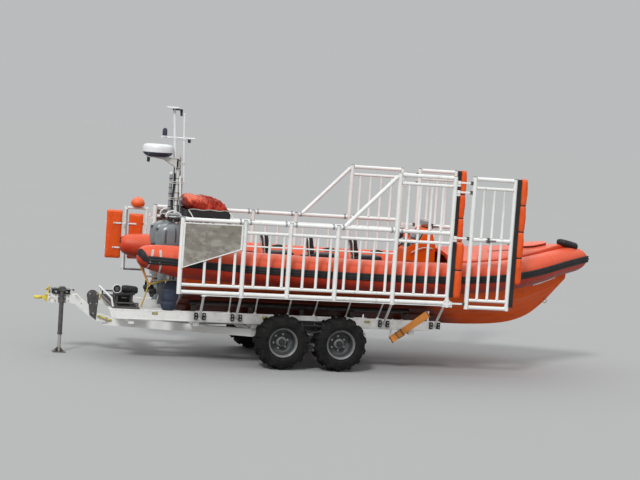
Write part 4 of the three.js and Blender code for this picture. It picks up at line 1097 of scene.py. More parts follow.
def strut_shape(s):
    """The struts from the rail out to the fence, the flat bar under it and the black clamps."""
    y = s * FENCE_Y
    middle_y = s * RAIL["y"]
    face = RAIL["y"] + RAIL["half"]
    shape = Shape(GALV)
    mains = [-1.930, -1.310, 1.280, 2.200]
    shape.box((mains[0] - 0.030, y - 0.030, 1.220), (mains[-1] + 0.030, y + 0.030, 1.231))
    for x in mains:
        foot = x + 0.070
        bar(shape, (x, y, 1.215), (foot, s * (face + 0.016), 0.800), 0.021, 14)
        shape.box((foot - 0.030, s * face, 0.735), (foot + 0.030, s * (face + 0.012), 0.862))
        shape.disc(0.050, 0.008, (x, y, 1.2125), (0, 0, 1), 24)
        shape.use(BLACK)
        for middle in (foot - 0.068, foot + 0.068):
            shape.box((middle - 0.027, s * (face + 0.002), 0.745),
                      (middle + 0.027, s * (face + 0.050), 0.858))
        shape.bolts(product((foot - 0.068, foot + 0.068), (s * (face + 0.050),), (0.775, 0.828)),
                    (0, s, 0), 0.009)
        shape.use(GALV)
    for x in (-1.477, -1.024, -0.455, 0.003, 0.566, 1.133):
        foot = x + 0.120
        bar(shape, (x, y, 1.218), (foot, middle_y, 0.900), 0.012, 12)
        shape.box((foot - 0.030, middle_y - 0.030, 0.8705), (foot + 0.030, middle_y + 0.030, 0.880))
        shape.lathe([(0, 0), (0.022, 0), (0.016, 0.026), (0, 0.026)], (foot, middle_y, 0.880),
                    (0, 0, 1), 16)
    # The short peg on the rail between two struts.
    shape.lathe([(0.016, 0), (0.016, 0.05), (0.006, 0.075)], (0.995, middle_y, RAIL["top"]),
                sides=16)
    return shape


def panel_shape(s):
    """The plate panel at the landward end of a fence: mottled sheet in a light frame."""
    y0, y1 = sorted((s * (FENCE_Y + 0.0385), s * (FENCE_Y + 0.0475)))
    corners = [(-2.340, 2.415), (-2.340, 1.660), (-1.345, 2.010), (-1.345, 2.415)]
    shape = Shape(PLATE)
    shape.plate(corners, y0 + 0.003, y1 - 0.001)
    shape.use(GALV)
    width = 0.022
    middle_x = sum(c[0] for c in corners) / 4
    middle_z = sum(c[1] for c in corners) / 4
    for (xa, za), (xb, zb) in zip(corners, corners[1:] + corners[:1]):
        inner = []
        for x, z in ((xb, zb), (xa, za)):
            pull = Vector((middle_x - x, middle_z - z)).normalized() * width * 1.6
            inner.append((x + pull.x, z + pull.y))
        shape.plate([(xa, za), (xb, zb)] + inner, y0, y1)
    shape.use(ZINC)
    for (xa, za), (xb, zb) in zip(corners, corners[1:] + corners[:1]):
        for share in (0.12, 0.5, 0.88):
            x, z = xa + share * (xb - xa), za + share * (zb - za)
            pull = Vector((middle_x - x, middle_z - z)).normalized() * width * 0.6
            shape.lathe([(0, 0), (0.006, 0), (0.004, 0.003), (0, 0.0035)],
                        (x + pull.x, y1 if s > 0 else y0, z + pull.y), (0, s, 0), 12)
    return shape


def make_fences():
    for side, s in SIDES.items():
        make(f"fence_look_{side}", fence_shape(s), stands_for=[f"fence_{side}"],
             bevel=0.002)
        make(f"outrigger_look_{side}", strut_shape(s),
             stands_for=[f"outrigger_{side}"], bevel=0.002)
        make(f"plate_look_{side}", panel_shape(s), stands_for=[f"plate_panel_{side}"],
             bevel=0.001)
        pad = pad_shape(INNER_PAD["x"], s * FENCE_Y, INNER_PAD["bottom"], INNER_PAD["top"],
                        INNER_PAD["radius"], 2, 5 + s)
        piece = make(f"inner_pad_look_{side}", pad, stands_for=[f"inner_pad_{side}"],
                     bevel=0)
        body = f"gate_{side}"
        hinge = Vector((HINGE["x"], s * FENCE_Y, 0)) + SHIFT
        swing = Matrix.Translation(hinge) @ Matrix.Rotation(s * SPLAY, 4, "Z")
        make(f"outer_gate_look_{side}", outer_gate_shape(), body,
             [f"outer_gate_{side}"], 0.002, place=swing)
        pad = pad_shape(OUTER_PAD["x"], 0, OUTER_PAD["bottom"], OUTER_PAD["top"],
                        OUTER_PAD["radius"], 4, 11 + s)
        piece = make(f"outer_pad_look_{side}", pad, body, [f"outer_pad_{side}"], 0,
                     place=swing)


make_wheels()
make_fences()


# Landward gate

STERN_GATE = {"hinge": STERN_HINGE_X, "sea": -2.480, "post": -2.870, "top": 2.410, "bottom": 1.300}
BOARDS = {
    "outboard": (-3.250, -2.914, 1.465, 2.395),
    "inboard": (-2.848, -2.535, 1.465, 2.345),
}
BOARD_BAR_Z = (2.130, 1.690)
BOARD_FRONT = FENCE_Y - 0.0264
BOARD_BACK = BOARD_FRONT - 0.070
BOARD_SWELL = 0.009


def stern_gate_shape():
    y = FENCE_Y
    g = STERN_GATE
    shape = Shape(GALV)
    capped_post(shape, g["sea"] - 0.020, y, g["bottom"] - 0.020, g["top"] + 0.012, 0.025)
    capped_post(shape, g["post"], y, g["bottom"] - 0.020, g["top"] + 0.012, 0.029)
    # The bottom bar takes the darker alloy as painted shade.
    for z, size, finish in ((g["top"], 0.024, GALV), (g["bottom"], 0.020, GATE_SHADE_ALLOY)):
        bar(shape.use(finish), (g["sea"], y, z), (g["post"] - 0.030, y, z), size, 16)
    shape.use(GALV)
    for z, seaward in zip(BOARD_BAR_Z, (-2.690, -2.885)):
        shape.box((-3.235, y - 0.0255, z - 0.022), (g["sea"], y - 0.010, z + 0.022))
        # The flat bar across the boards' faces, and the spacer that holds it off the post.
        shape.box((-3.100, BOARD_BACK - 0.014, z - 0.013), (seaward, BOARD_BACK - 0.004, z + 0.013))
        shape.box((g["post"] - 0.022, BOARD_BACK - 0.008, z - 0.016),
                  (g["post"] + 0.022, y - 0.020, z + 0.016))
    # The post before the boards takes the darker alloy as painted shade.
    shape.use(GATE_SHADE_ALLOY).tube([(g["post"], BOARD_BACK - 0.016, g["bottom"] + 0.02),
                               (g["post"], BOARD_BACK - 0.016, g["top"] - 0.02)], 0.017, 14)
    shape.use(GALV)
    for z in (g["bottom"] + 0.03, g["top"] - 0.03):
        shape.box((g["post"] - 0.014, BOARD_BACK - 0.010, z - 0.010),
                  (g["post"] + 0.014, y - 0.020, z + 0.010))
    for z in STERN_HINGE_Z:
        shape.box((g["sea"] - 0.020, y - 0.013, z - 0.019),
                  (g["hinge"] - 0.018, y + 0.013, z + 0.019))
        shape.swept(hinge_sleeve(0.024), 20, round_z(g["hinge"], y, z))
    shape.bolts([(x, BOARD_BACK - 0.014, z) for z in BOARD_BAR_Z for x in (-3.080, -2.960)],
                (0, -1, 0), 0.007)
    return shape


def cushion_shape(low, high, edge, finish, seed, seams=(), axis=1, near=-1):
    """A crowned padded board: it swells most on its near side along the axis."""
    shape = Shape(finish)
    low, high = Vector(low), Vector(high)
    a, b = [i for i in range(3) if i != axis]
    steps_a, steps_b = 30, 60
    corner = 0.045
    grid = {}

    def surface(u, v, side):
        around = max(abs(2 * u - 1), abs(2 * v - 1))
        crown = (1 - abs(2 * u - 1) ** 6) ** 0.5 * (1 - abs(2 * v - 1) ** 8) ** 0.5
        for seam, width in seams:
            crown *= 1 - 0.55 * hump(v, seam, width)
        spot = [0.0, 0.0, 0.0]
        pull = edge * (around ** 10)
        spot[a] = low[a] + (high[a] - low[a]) * u
        spot[b] = low[b] + (high[b] - low[b]) * v
        spot[a] += -pull * 0.4 * (2 * u - 1)
        spot[b] += -pull * 0.4 * (2 * v - 1)
        # A corner is turned to a quarter circle.
        out = []
        for k in (a, b):
            middle = (low[k] + high[k]) / 2
            out.append(abs(spot[k] - middle) - ((high[k] - low[k]) / 2 - corner))
        if min(out) > 0:
            shrink = max(out) / math.hypot(*out)
            for k, over in zip((a, b), out):
                middle = (low[k] + high[k]) / 2
                spot[k] -= math.copysign(over * (1 - shrink), spot[k] - middle)
        ripple = wrinkled((spot[a], spot[b], side), 0.008, 6.0, seed) * crown
        ripple += wrinkled((spot[a], spot[b], side), 0.004, 19.0, seed + 4) * crown
        middle = (low[axis] + high[axis]) / 2
        half = (high[axis] - low[axis]) / 2
        reach = half * (0.42 + 0.58 * crown)
        ripple *= 1.0 if side == near else 0.5
        spot[axis] = middle + side * min(reach + ripple, half)
        return tuple(spot)

    verts, faces = [], []
    for side in (-1, 1):
        for i in range(steps_a + 1):
            for j in range(steps_b + 1):
                grid[side, i, j] = len(verts)
                verts.append(surface(i / steps_a, j / steps_b, side))
    for side in (-1, 1):
        for i in range(steps_a):
            for j in range(steps_b):
                quad = [grid[side, i, j], grid[side, i + 1, j], grid[side, i + 1, j + 1],
                        grid[side, i, j + 1]]
                faces.append(quad if side > 0 else quad[::-1])
    rim = [(i, 0) for i in range(steps_a)] + [(steps_a, j) for j in range(steps_b)]
    rim += [(i, steps_b) for i in range(steps_a, 0, -1)] + [(0, j) for j in range(steps_b, 0, -1)]
    for (i, j), (k, m) in zip(rim, rim[1:] + rim[:1]):
        faces.append([grid[-1, i, j], grid[-1, k, m], grid[1, k, m], grid[1, i, j]])
    shape.add(verts, faces)
    return shape


def float_shape(x, y, z):
    shape = Shape(PAD)
    profile = [(0, 0), (0.070, 0.0), (0.104, 0.012), (0.121, 0.040), (0.125, 0.062), (0.121, 0.084),
               (0.106, 0.118), (0.080, 0.150), (0.045, 0.172), (0.020, 0.180), (0, 0.181)]
    shape.lathe(profile, (x, y, z), sides=40)
    shape.ring((x, y, z + 0.062), (0, 0, 1), 0.1225, 0.0035, 48)
    shape.use(KIT).lathe([(0, 0), (0.020, 0), (0.017, 0.006), (0, 0.0065)], (x, y, z + 0.178),
                         sides=20)
    return shape


def make_stern_gate():
    body = "landward_gate"
    make("stern_gate_look", stern_gate_shape(), body, ["stern_gate"], 0.002)
    for name, (x0, x1, z0, z1) in BOARDS.items():
        # It starts smaller by what the cloth may swell, and stays in the space of its solid.
        low = (x0 + BOARD_SWELL, BOARD_BACK + BOARD_SWELL, z0 + BOARD_SWELL)
        high = (x1 - BOARD_SWELL, BOARD_FRONT - BOARD_SWELL, z1 - BOARD_SWELL)
        board = cushion_shape(low, high, 0.03, PAD, seed=3 if name == "outboard" else 8)
        piece = make(f"stern_board_look_{name}", board, body, [f"stern_board_{name}"],
                     0)
        puff(piece, voxel=0.0075, cap=BOARD_SWELL, pressure=4.0, last_frame=20)
    make("gate_float_look", float_shape(-2.670, FENCE_Y - 0.010, 2.4364), body,
         ["gate_float"], 0)


# Hull and sponsons

# Where a section stands, its keel height, its chine's distance out and height.
HULL = [(-2.150, 0.780, 0.930, 1.200), (0.000, 0.780, 0.930, 1.200), (1.500, 0.780, 0.930, 1.200),
        (1.950, 0.780, 0.910, 1.206), (2.600, 0.750, 0.880, 1.215), (3.300, 0.755, 0.740, 1.250),
        (3.900, 0.815, 0.540, 1.310), (4.300, 0.960, 0.350, 1.400), (4.600, 1.200, 0.190, 1.490),
        (4.850, 1.480, 0.060, 1.580), (5.000, 1.650, 0.018, 1.700)]
TRANSOM_X, KEEL_Z, CHINE_Y, CHINE_Z = HULL[0]
# The sponson's centre line and radius: x, y, z, radius.
SPONSON = [(-3.009, 1.150, 1.800, 0.040), (-3.000, 1.150, 1.799, 0.085),
           (-2.975, 1.150, 1.796, 0.128), (-2.930, 1.150, 1.791, 0.162),
           (-2.800, 1.150, 1.775, 0.202), (-2.650, 1.150, 1.757, 0.226),
           (-2.350, 1.150, 1.722, 0.259), (-2.050, 1.150, 1.705, 0.270),
           (-1.000, 1.150, 1.665, 0.270), (0.300, 1.150, 1.640, 0.270),
           (1.500, 1.150, 1.637, 0.270), (2.400, 1.140, 1.652, 0.270), (2.900, 1.085, 1.678, 0.270),
           (3.400, 0.950, 1.722, 0.268), (3.900, 0.730, 1.792, 0.262), (4.300, 0.500, 1.866, 0.252),
           (4.660, 0.260, 1.935, 0.240), (5.020, 0.000, 1.990, 0.232),
           (5.300, -0.205, 2.030, 0.226)]
SEAM_X = [-2.45, -1.55, -0.62, 0.32, 1.25, 2.15, 3.02, 3.78, 4.42]
SEAM_HALF = 0.026
SEAM_LIFT = 0.0028
SPONSON_STEP = 0.0165
# The scuff cap's edge runs round the tube from here, further seaward outboard and low down.
CAP_X = -2.952
CAP_OUT = 0.105
CAP_UP = 0.085
STRAKE_END = -2.86
CENTRE_GAP = 0.0004


def rows_at(rows, x):
    """A row of a station table at x, by straight lines between its rows."""
    for a, b in zip(rows, rows[1:]):
        if x <= b[0]:
            share = max((x - a[0]) / (b[0] - a[0]), 0)
            return [p + share * (q - p) for p, q in zip(a, b)]
    return list(rows[-1])


def smooth_rows(rows, step):
    """The rows of a station table along rounded lines, about one every step metres."""
    found = []
    points = [Vector(row) for row in rows]
    for i in range(len(points) - 1):
        before, a = points[max(i - 1, 0)], points[i]
        b, after = points[i + 1], points[min(i + 2, len(points) - 1)]
        count = max(1, round((b[0] - a[0]) / step))
        width = b[0] - a[0]
        slope_a = (b - before) / max(b[0] - before[0], 1e-6) * width
        slope_b = (after - a) / max(after[0] - a[0], 1e-6) * width
        for k in range(count):
            t = k / count
            h00, h10 = 2 * t ** 3 - 3 * t ** 2 + 1, t ** 3 - 2 * t ** 2 + t
            h01, h11 = -2 * t ** 3 + 3 * t ** 2, t ** 3 - t ** 2
            found.append(h00 * a + h10 * slope_a + h01 * b + h11 * slope_b)
    found.append(points[-1])
    return found


def sponson_rings(s):
    """The sections of a sponson's skin, a little fuller where its lengths are glued together."""
    rings = []
    sides = 44
    rows = smooth_rows(SPONSON, SPONSON_STEP)
    centres = [Vector((r[0], s * r[1], r[2])) for r in rows]
    for i, row in enumerate(rows):
        before, after = centres[max(i - 1, 0)], centres[min(i + 1, len(rows) - 1)]
        along = (after - before).normalized()
        across = Vector((-along.y, along.x, 0)).normalized()
        upward = along.cross(across)
        size = row[3]
        if any(abs(row[0] - seam) < SEAM_HALF for seam in SEAM_X):
            size += SEAM_LIFT
        ring = []
        for k in range(sides):
            a = 2 * math.pi * (k + 0.5) / sides
            ring.append(centres[i] + across * (math.cos(a) * size) + upward * (math.sin(a) * size))
        rings.append(ring)
    return rings


def sponson_shape(s):
    """The tube, with a black scuff cap round the lower outboard side of its landward end."""
    shape = Shape(SPONSON_CLOTH)
    shape.loft(sponson_rings(s))
    rows = smooth_rows(SPONSON, SPONSON_STEP)
    tip = rows[0][0]
    sides = 56
    skins = []
    for lift in (0.0035, -0.004):
        rings = []
        for step in range(15):
            ring = []
            for angle in angles(sides):
                out, up = math.cos(angle), math.sin(angle)
                reach = CAP_X + CAP_OUT * out - CAP_UP * up
                x = tip + (max(reach, tip + 0.006) - tip) * step / 14
                _, y, z, radius = rows_at(rows, x)
                size = radius + lift
                ring.append(Vector((x, s * (y + out * size), z + up * size)))
            rings.append(ring)
        skins.append(rings)
    outer, inner = skins
    shape.use(BLACK).loft(outer + list(reversed(inner)))
    return shape


def strake_shape(s):
    """The ribbed black band around the outside of a sponson, with its cover strip."""
    profile = [(-0.030, -0.062), (0.002, -0.062), (0.015, -0.053), (0.020, -0.040), (0.014, -0.030),
               (0.014, -0.020), (0.0235, -0.009), (0.0235, 0.009), (0.014, 0.020), (0.014, 0.030),
               (0.020, 0.040), (0.015, 0.053), (0.002, 0.062), (-0.030, 0.062)]
    rows = smooth_rows(SPONSON, 0.05)
    centres = [Vector((r[0], s * r[1], r[2])) for r in rows]
    rings = []
    for i, row in enumerate(rows):
        if row[0] < STRAKE_END:
            continue
        along = centres[min(i + 1, len(rows) - 1)] - centres[max(i - 1, 0)]
        across = s * Vector((-along.y, along.x, 0)).normalized()
        # Towards the landward end the band drops and widens.
        drop = 0.10 * max(0.0, -2.45 - row[0])
        tall = 1.0 + 0.35 * max(0.0, -2.5 - row[0])
        rings.append([centres[i] + across * (row[3] + out) + Vector((0, 0, up * tall - drop))
                      for out, up in profile])
    shape = Shape(BLACK)
    shape.loft(rings)
    return shape


def grip_shape(s):
    """Black handles on their patches along a sponson's inner top."""
    shape = Shape(BLACK)
    for x in (-1.10, -0.15, 0.80, 1.70, 3.40):
        _, y, z, radius = rows_at(SPONSON, x)
        tilt = math.radians(28)
        out = Vector((0, -s * math.sin(tilt), math.cos(tilt)))
        centre = Vector((x, s * y, z)) + out * radius
        side = Vector((0, s * math.cos(tilt), math.sin(tilt)))
        patch = []
        for a in angles(28):
            flat = Vector((0.125 * squared(math.cos(a), 0.6), 0, 0))
            flat += side * (0.052 * squared(math.sin(a), 0.6))
            fall = -0.5 * (flat.dot(side)) ** 2 / radius
            patch.append(centre + flat + out * fall)
        shape.loft([[p - out * 0.004 for p in patch], [p + out * 0.004 for p in patch]])
        loop = [(-0.095, 0.002), (-0.078, 0.020), (-0.045, 0.034), (0.0, 0.038), (0.045, 0.034),
                (0.078, 0.020), (0.095, 0.002)]
        shape.tube([centre + Vector((dx, 0, 0)) + out * lift for dx, lift in loop], 0.0095, 10)
    return shape


TUB_FLOOR = 1.2135
TRANSOM_TOP = 1.590
TRANSOM_Y = 0.660


def both_halves(x, port, starboard):
    """A closed section at x from (y, z) pairs to port and those mirrored to starboard."""
    near = [Vector((x, y, z)) for y, z in port]
    return near + [Vector((x, -y, z)) for y, z in reversed(starboard)]


def hull_ring(row, part):
    """One section of the hull, of the part named transom, cockpit or bow."""
    x, keel, chine_y, chine_z = row
    _, yc, zc, _ = rows_at(SPONSON, x)
    fine = min(1.0, max(chine_y / 0.6, 0.15))

    def bottom(share):
        return keel + (chine_z - keel) * share

    half = [(0.022 * fine, keel), (0.030 * fine, keel + 0.012)]
    for share in (0.34, 0.66):
        y = chine_y * share
        z = bottom(share)
        half += [(y, z), (y + 0.012 * fine, z - 0.012 * fine), (y + 0.034 * fine, z - 0.010 * fine),
                 (y + 0.036 * fine, z + 0.014 * fine)]
    half += [(chine_y * 0.93, bottom(0.93)), (chine_y * 0.945, bottom(0.93) - 0.010 * fine),
             (chine_y, chine_z - 0.020 * fine), (chine_y, chine_z)]
    shoulder = max(yc - 0.09, 0.02)
    half += [((chine_y + shoulder) / 2 + 0.01, (chine_z + zc - 0.15) / 2), (shoulder, zc - 0.15)]
    top = zc + 0.04
    outer_top = max(yc - 0.20, 0.015)
    half.append((outer_top, top))
    inner = max(yc - 0.30, 0.012)
    wall = max(yc - 0.32, 0.010)
    if part == "transom":
        half += [(inner, top), (TRANSOM_Y, top), (TRANSOM_Y, TRANSOM_TOP), (0.002, TRANSOM_TOP)]
    elif part == "cockpit":
        half += [(inner, top), (wall, top - 0.01), (wall, TUB_FLOOR), (0.002, TUB_FLOOR)]
    else:
        half += [(inner, top), (wall, top - 0.01), (wall * 0.98, top - 0.02), (0.002, top - 0.02)]
    return both_halves(x, half, half)


def hull_shape():
    shape = Shape(HULL_PAINT)
    rows = smooth_rows(HULL, 0.06)
    cut, bulkhead = -2.090, 2.620
    rings = [hull_ring(rows_at(rows, x), "transom") for x in (HULL[0][0], cut - 0.001)]
    rings += [hull_ring(rows_at(rows, cut), "cockpit")]
    rings += [hull_ring(row, "cockpit") for row in rows if cut + 0.01 < row[0] < bulkhead - 0.01]
    rings += [hull_ring(rows_at(rows, bulkhead), "cockpit"),
              hull_ring(rows_at(rows, bulkhead + 0.001), "bow")]
    rings += [hull_ring(row, "bow") for row in rows if row[0] > bulkhead + 0.02]
    shape.loft(rings)
    return shape


# Where the bow's painted highlight runs.
BOW_HIGHLIGHT_X = (4.22, 4.80)


def hull_trim_shape():
    """The pale painted highlight along the bow, the towing eye, and the transom's drains and rings.
    """
    # Painted highlight: a thin pale strip along the join of hull and sponson near the bow.
    shape = Shape(BOW_HIGHLIGHT)
    rows = smooth_rows(HULL, 0.04)
    for s in SIDES.values():
        rings = []
        for row in rows:
            if not BOW_HIGHLIGHT_X[0] < row[0] < BOW_HIGHLIGHT_X[1]:
                continue
            x, _, chine_y, chine_z = row
            share = (x - BOW_HIGHLIGHT_X[0]) / (BOW_HIGHLIGHT_X[1] - BOW_HIGHLIGHT_X[0])
            _, yc, zc, _ = rows_at(SPONSON, x)
            shoulder_y, shoulder_z = max(yc - 0.09, 0.02), zc - 0.15
            base_y = (chine_y + shoulder_y) / 2 + 0.01
            base_z = (chine_z + shoulder_z) / 2
            high = 0.013 * math.sin(math.pi * min(1, share * 0.9 + 0.08)) ** 0.5 + 0.002
            near, far = s * (base_y - 0.01), s * (base_y + 0.012)
            rings.append([(x, near, base_z - high), (x, far, base_z - high),
                          (x, far, base_z + high), (x, near, base_z + high)])
        shape.loft(rings)
    shape.use(ZINC)
    drain_x, drain_z, ring_z = -2.1515, 1.09, 1.45
    stem = rows_at(rows, 4.62)
    shape.ring((4.645, 0, stem[1] + 0.005), (0, 1, 0), 0.034, 0.009, 20)
    for y in (-0.52, 0.52):
        shape.lathe([(0.020, 0), (0.034, 0), (0.034, 0.005), (0.020, 0.008)], (drain_x, y, drain_z),
                    (-1, 0, 0), 24)
        shape.use(BLACK).disc(0.020, 0.004, (drain_x, y, drain_z), (-1, 0, 0), 24)
        shape.use(ZINC)
    shape.use(STEEL)
    for y in (-0.74, 0.74):
        shape.lathe([(0.012, 0), (0.012, 0.045)], (TRANSOM_X, y, ring_z), (-1, 0, 0), 16)
        shape.ring((-2.195, y, ring_z), (0, 1, 0), 0.030, 0.007, 20)
    return shape


# Where the foredeck's crown stands: x, height of its crown.
FOREDECK = [(2.480, 2.090), (3.000, 2.130), (3.600, 2.175), (4.200, 2.225), (4.800, 2.275),
            (5.000, 2.255)]


def foredeck_edge(x, top):
    """Where the sponson's centre line and the foredeck's edge run at x, as y, z, y, z."""
    _, yc, zc, _ = rows_at(SPONSON, x)
    yc = max(yc, 0.06)
    return yc, zc, yc - 0.06, min(zc + 0.29, top - 0.04)


def foredeck_shape():
    shape = Shape(SPONSON_CLOTH)
    rings = []
    for x, top in smooth_rows(FOREDECK, 0.05):
        yc, zc, edge_y, edge_top = foredeck_edge(x, top)
        half = []
        for share in (0.0, 0.18, 0.36, 0.54, 0.72, 0.86, 0.95):
            y = edge_y * share
            half.append((y, top - (top - edge_top - 0.012) * share ** 2.2))
        half += [(edge_y - 0.004, edge_top), (edge_y, edge_top - 0.020), (edge_y, zc + 0.215)]
        half += [(edge_y * 0.9, zc + 0.200), (yc * 0.5, top - 0.088), (0.0, top - 0.060)]
        rings.append(both_halves(x, half, half[1:-1]))
    shape.loft(rings)
    return shape


def deck_top(x, share):
    """A point of the foredeck's skin: share runs from 0 on the centre line to 1 at its edge."""
    top = rows_at(FOREDECK, x)[1]
    _, _, edge_y, edge_top = foredeck_edge(x, top)
    return Vector((x, edge_y * share, top - (top - edge_top - 0.012) * abs(share) ** 2.2))


def foredeck_kit_shape():
    """The lacing strips, the well with its raised lid, dark red under the lid as painted shade, and
    the lid's hinges.
    """
    shape = Shape(NAVY)
    for s in SIDES.values():
        route = [deck_top(x, s * share) + Vector((0, 0, 0.002)) for x, share in
                 ((3.30, 0.56), (3.50, 0.57), (3.70, 0.58), (3.84, 0.60))]
        shape.tube(smooth_route(route, 4), 0.012, 10, flat=0.5)
    lid_x, lid_length, columns = 3.94, 0.60, 13
    outline = []
    for k in range(columns):
        t = k / (columns - 1)
        outline.append((lid_x + lid_length * t,
                        0.60 * math.sin(math.pi * (0.12 + 0.76 * t)) ** 0.35))

    def layer(inset, low, high):
        rings = []
        for x, share in outline:
            t = (x - lid_x) / lid_length
            ring = []
            for u in (-1.0, -0.75, -0.4, 0.0, 0.4, 0.75, 1.0):
                spot = deck_top(x, u * (share - inset))
                ring.append(spot + Vector((0, 0, high + 0.014 * t + 0.010 * (1 - u * u))))
            under = Vector((0, 0, low))
            bottom = [deck_top(x, u * (share - inset)) + under for u in (1.0, 0.4, -0.4, -1.0)]
            rings.append(ring + bottom)
        return rings

    # Painted shade: the body under the lid is dark red where the recess lies in shade.
    shape.use(WELL_SHADE_RED).loft(layer(0.05, -0.010, 0.026))
    shape.use(SPONSON_CLOTH).loft(layer(0.0, 0.026, 0.036))
    shape.use(BLACK)
    for y in (-0.10, 0.10):
        base = deck_top(3.945, 0.0) + Vector((0, y, 0.026))
        shape.box(base + Vector((-0.030, -0.025, -0.020)), base + Vector((0.020, 0.025, 0.020)))
    return shape


def bow_fitting_shape():
    """The black fender roll and fairlead on the nose of the foredeck, sloping down seaward."""
    shape = Shape(BLACK)
    # Where it stands, its lowest and highest points and its half width.
    spine = [(4.803, 2.272, 2.338, 0.050), (4.818, 2.256, 2.362, 0.074),
             (4.870, 2.246, 2.369, 0.087), (4.960, 2.232, 2.357, 0.0895),
             (5.060, 2.213, 2.335, 0.0895), (5.135, 2.198, 2.318, 0.086),
             (5.172, 2.200, 2.300, 0.070), (5.187, 2.220, 2.278, 0.044)]
    rings = []
    for x, low, high, width in smooth_route(spine, 4):
        ring = []
        for a in angles(28):
            c, s = math.cos(a), math.sin(a)
            ring.append((x, width * squared(c, 0.8), (low + high) / 2 + (high - low) / 2 * s))
        rings.append(ring)
    shape.loft(rings)
    shape.use(STEEL)
    for x, z in ((4.885, 2.368), (5.075, 2.331)):
        hoop = [(x, -0.088, z - 0.060), (x, -0.066, z - 0.012), (x, 0.0, z + 0.0005),
                (x, 0.066, z - 0.012), (x, 0.088, z - 0.060)]
        shape.tube(hoop, 0.006, 10)
    return shape


def make_boat():
    for side, s in SIDES.items():
        make(f"sponson_look_{side}", sponson_shape(s),
             stands_for=[f"sponson_{side}"], bevel=0, smooth=60, cut_side=s)
        make(f"strake_look_{side}", strake_shape(s), stands_for=[f"strake_{side}"],
             bevel=0, smooth=50, cut_side=s)
        make(f"grab_handles_{side}", grip_shape(s), bevel=0.001)
    make("hull_look", hull_shape(), stands_for=["hull"], bevel=0.002, smooth=24)
    make("hull_trim", hull_trim_shape(), bevel=0.001)
    make("foredeck_look", foredeck_shape(), stands_for=["foredeck"], bevel=0.002,
         smooth=30)
    make("foredeck_kit", foredeck_kit_shape(), bevel=0.003)
    make("bow_fitting_look", bow_fitting_shape(), stands_for=["bow_fairlead"],
         bevel=0.001)


make_stern_gate()
make_boat()


# Cockpit

DECK_TOP = 1.2504
CONSOLE = [(1.830, DECK_TOP), (2.380, DECK_TOP), (2.380, 2.150), (2.300, 2.400), (2.270, 2.438),
           (2.215, 2.438), (2.190, 2.405), (2.085, 2.215), (2.050, 2.190), (1.860, 2.085),
           (1.832, 2.050)]
CONSOLE_Y = 0.340
SEATS_X = [-0.420, 0.380, 1.180]


def sloped(a, b, lift, share_low, share_high, half, deep):
    """The corners of a thin panel lying on the slope from a to b, as a box and its turn."""
    a, b = Vector((a[0], 0, a[1])), Vector((b[0], 0, b[1]))
    along = (b - a).normalized()
    out = Vector((-along.z, 0, along.x))
    length = (b - a).length
    turn_to = Matrix((along, Vector((0, 1, 0)), out)).transposed().to_4x4()
    place = Matrix.Translation(a + out * lift) @ turn_to
    return (share_low * length, -half, 0), (share_high * length, half, deep), place


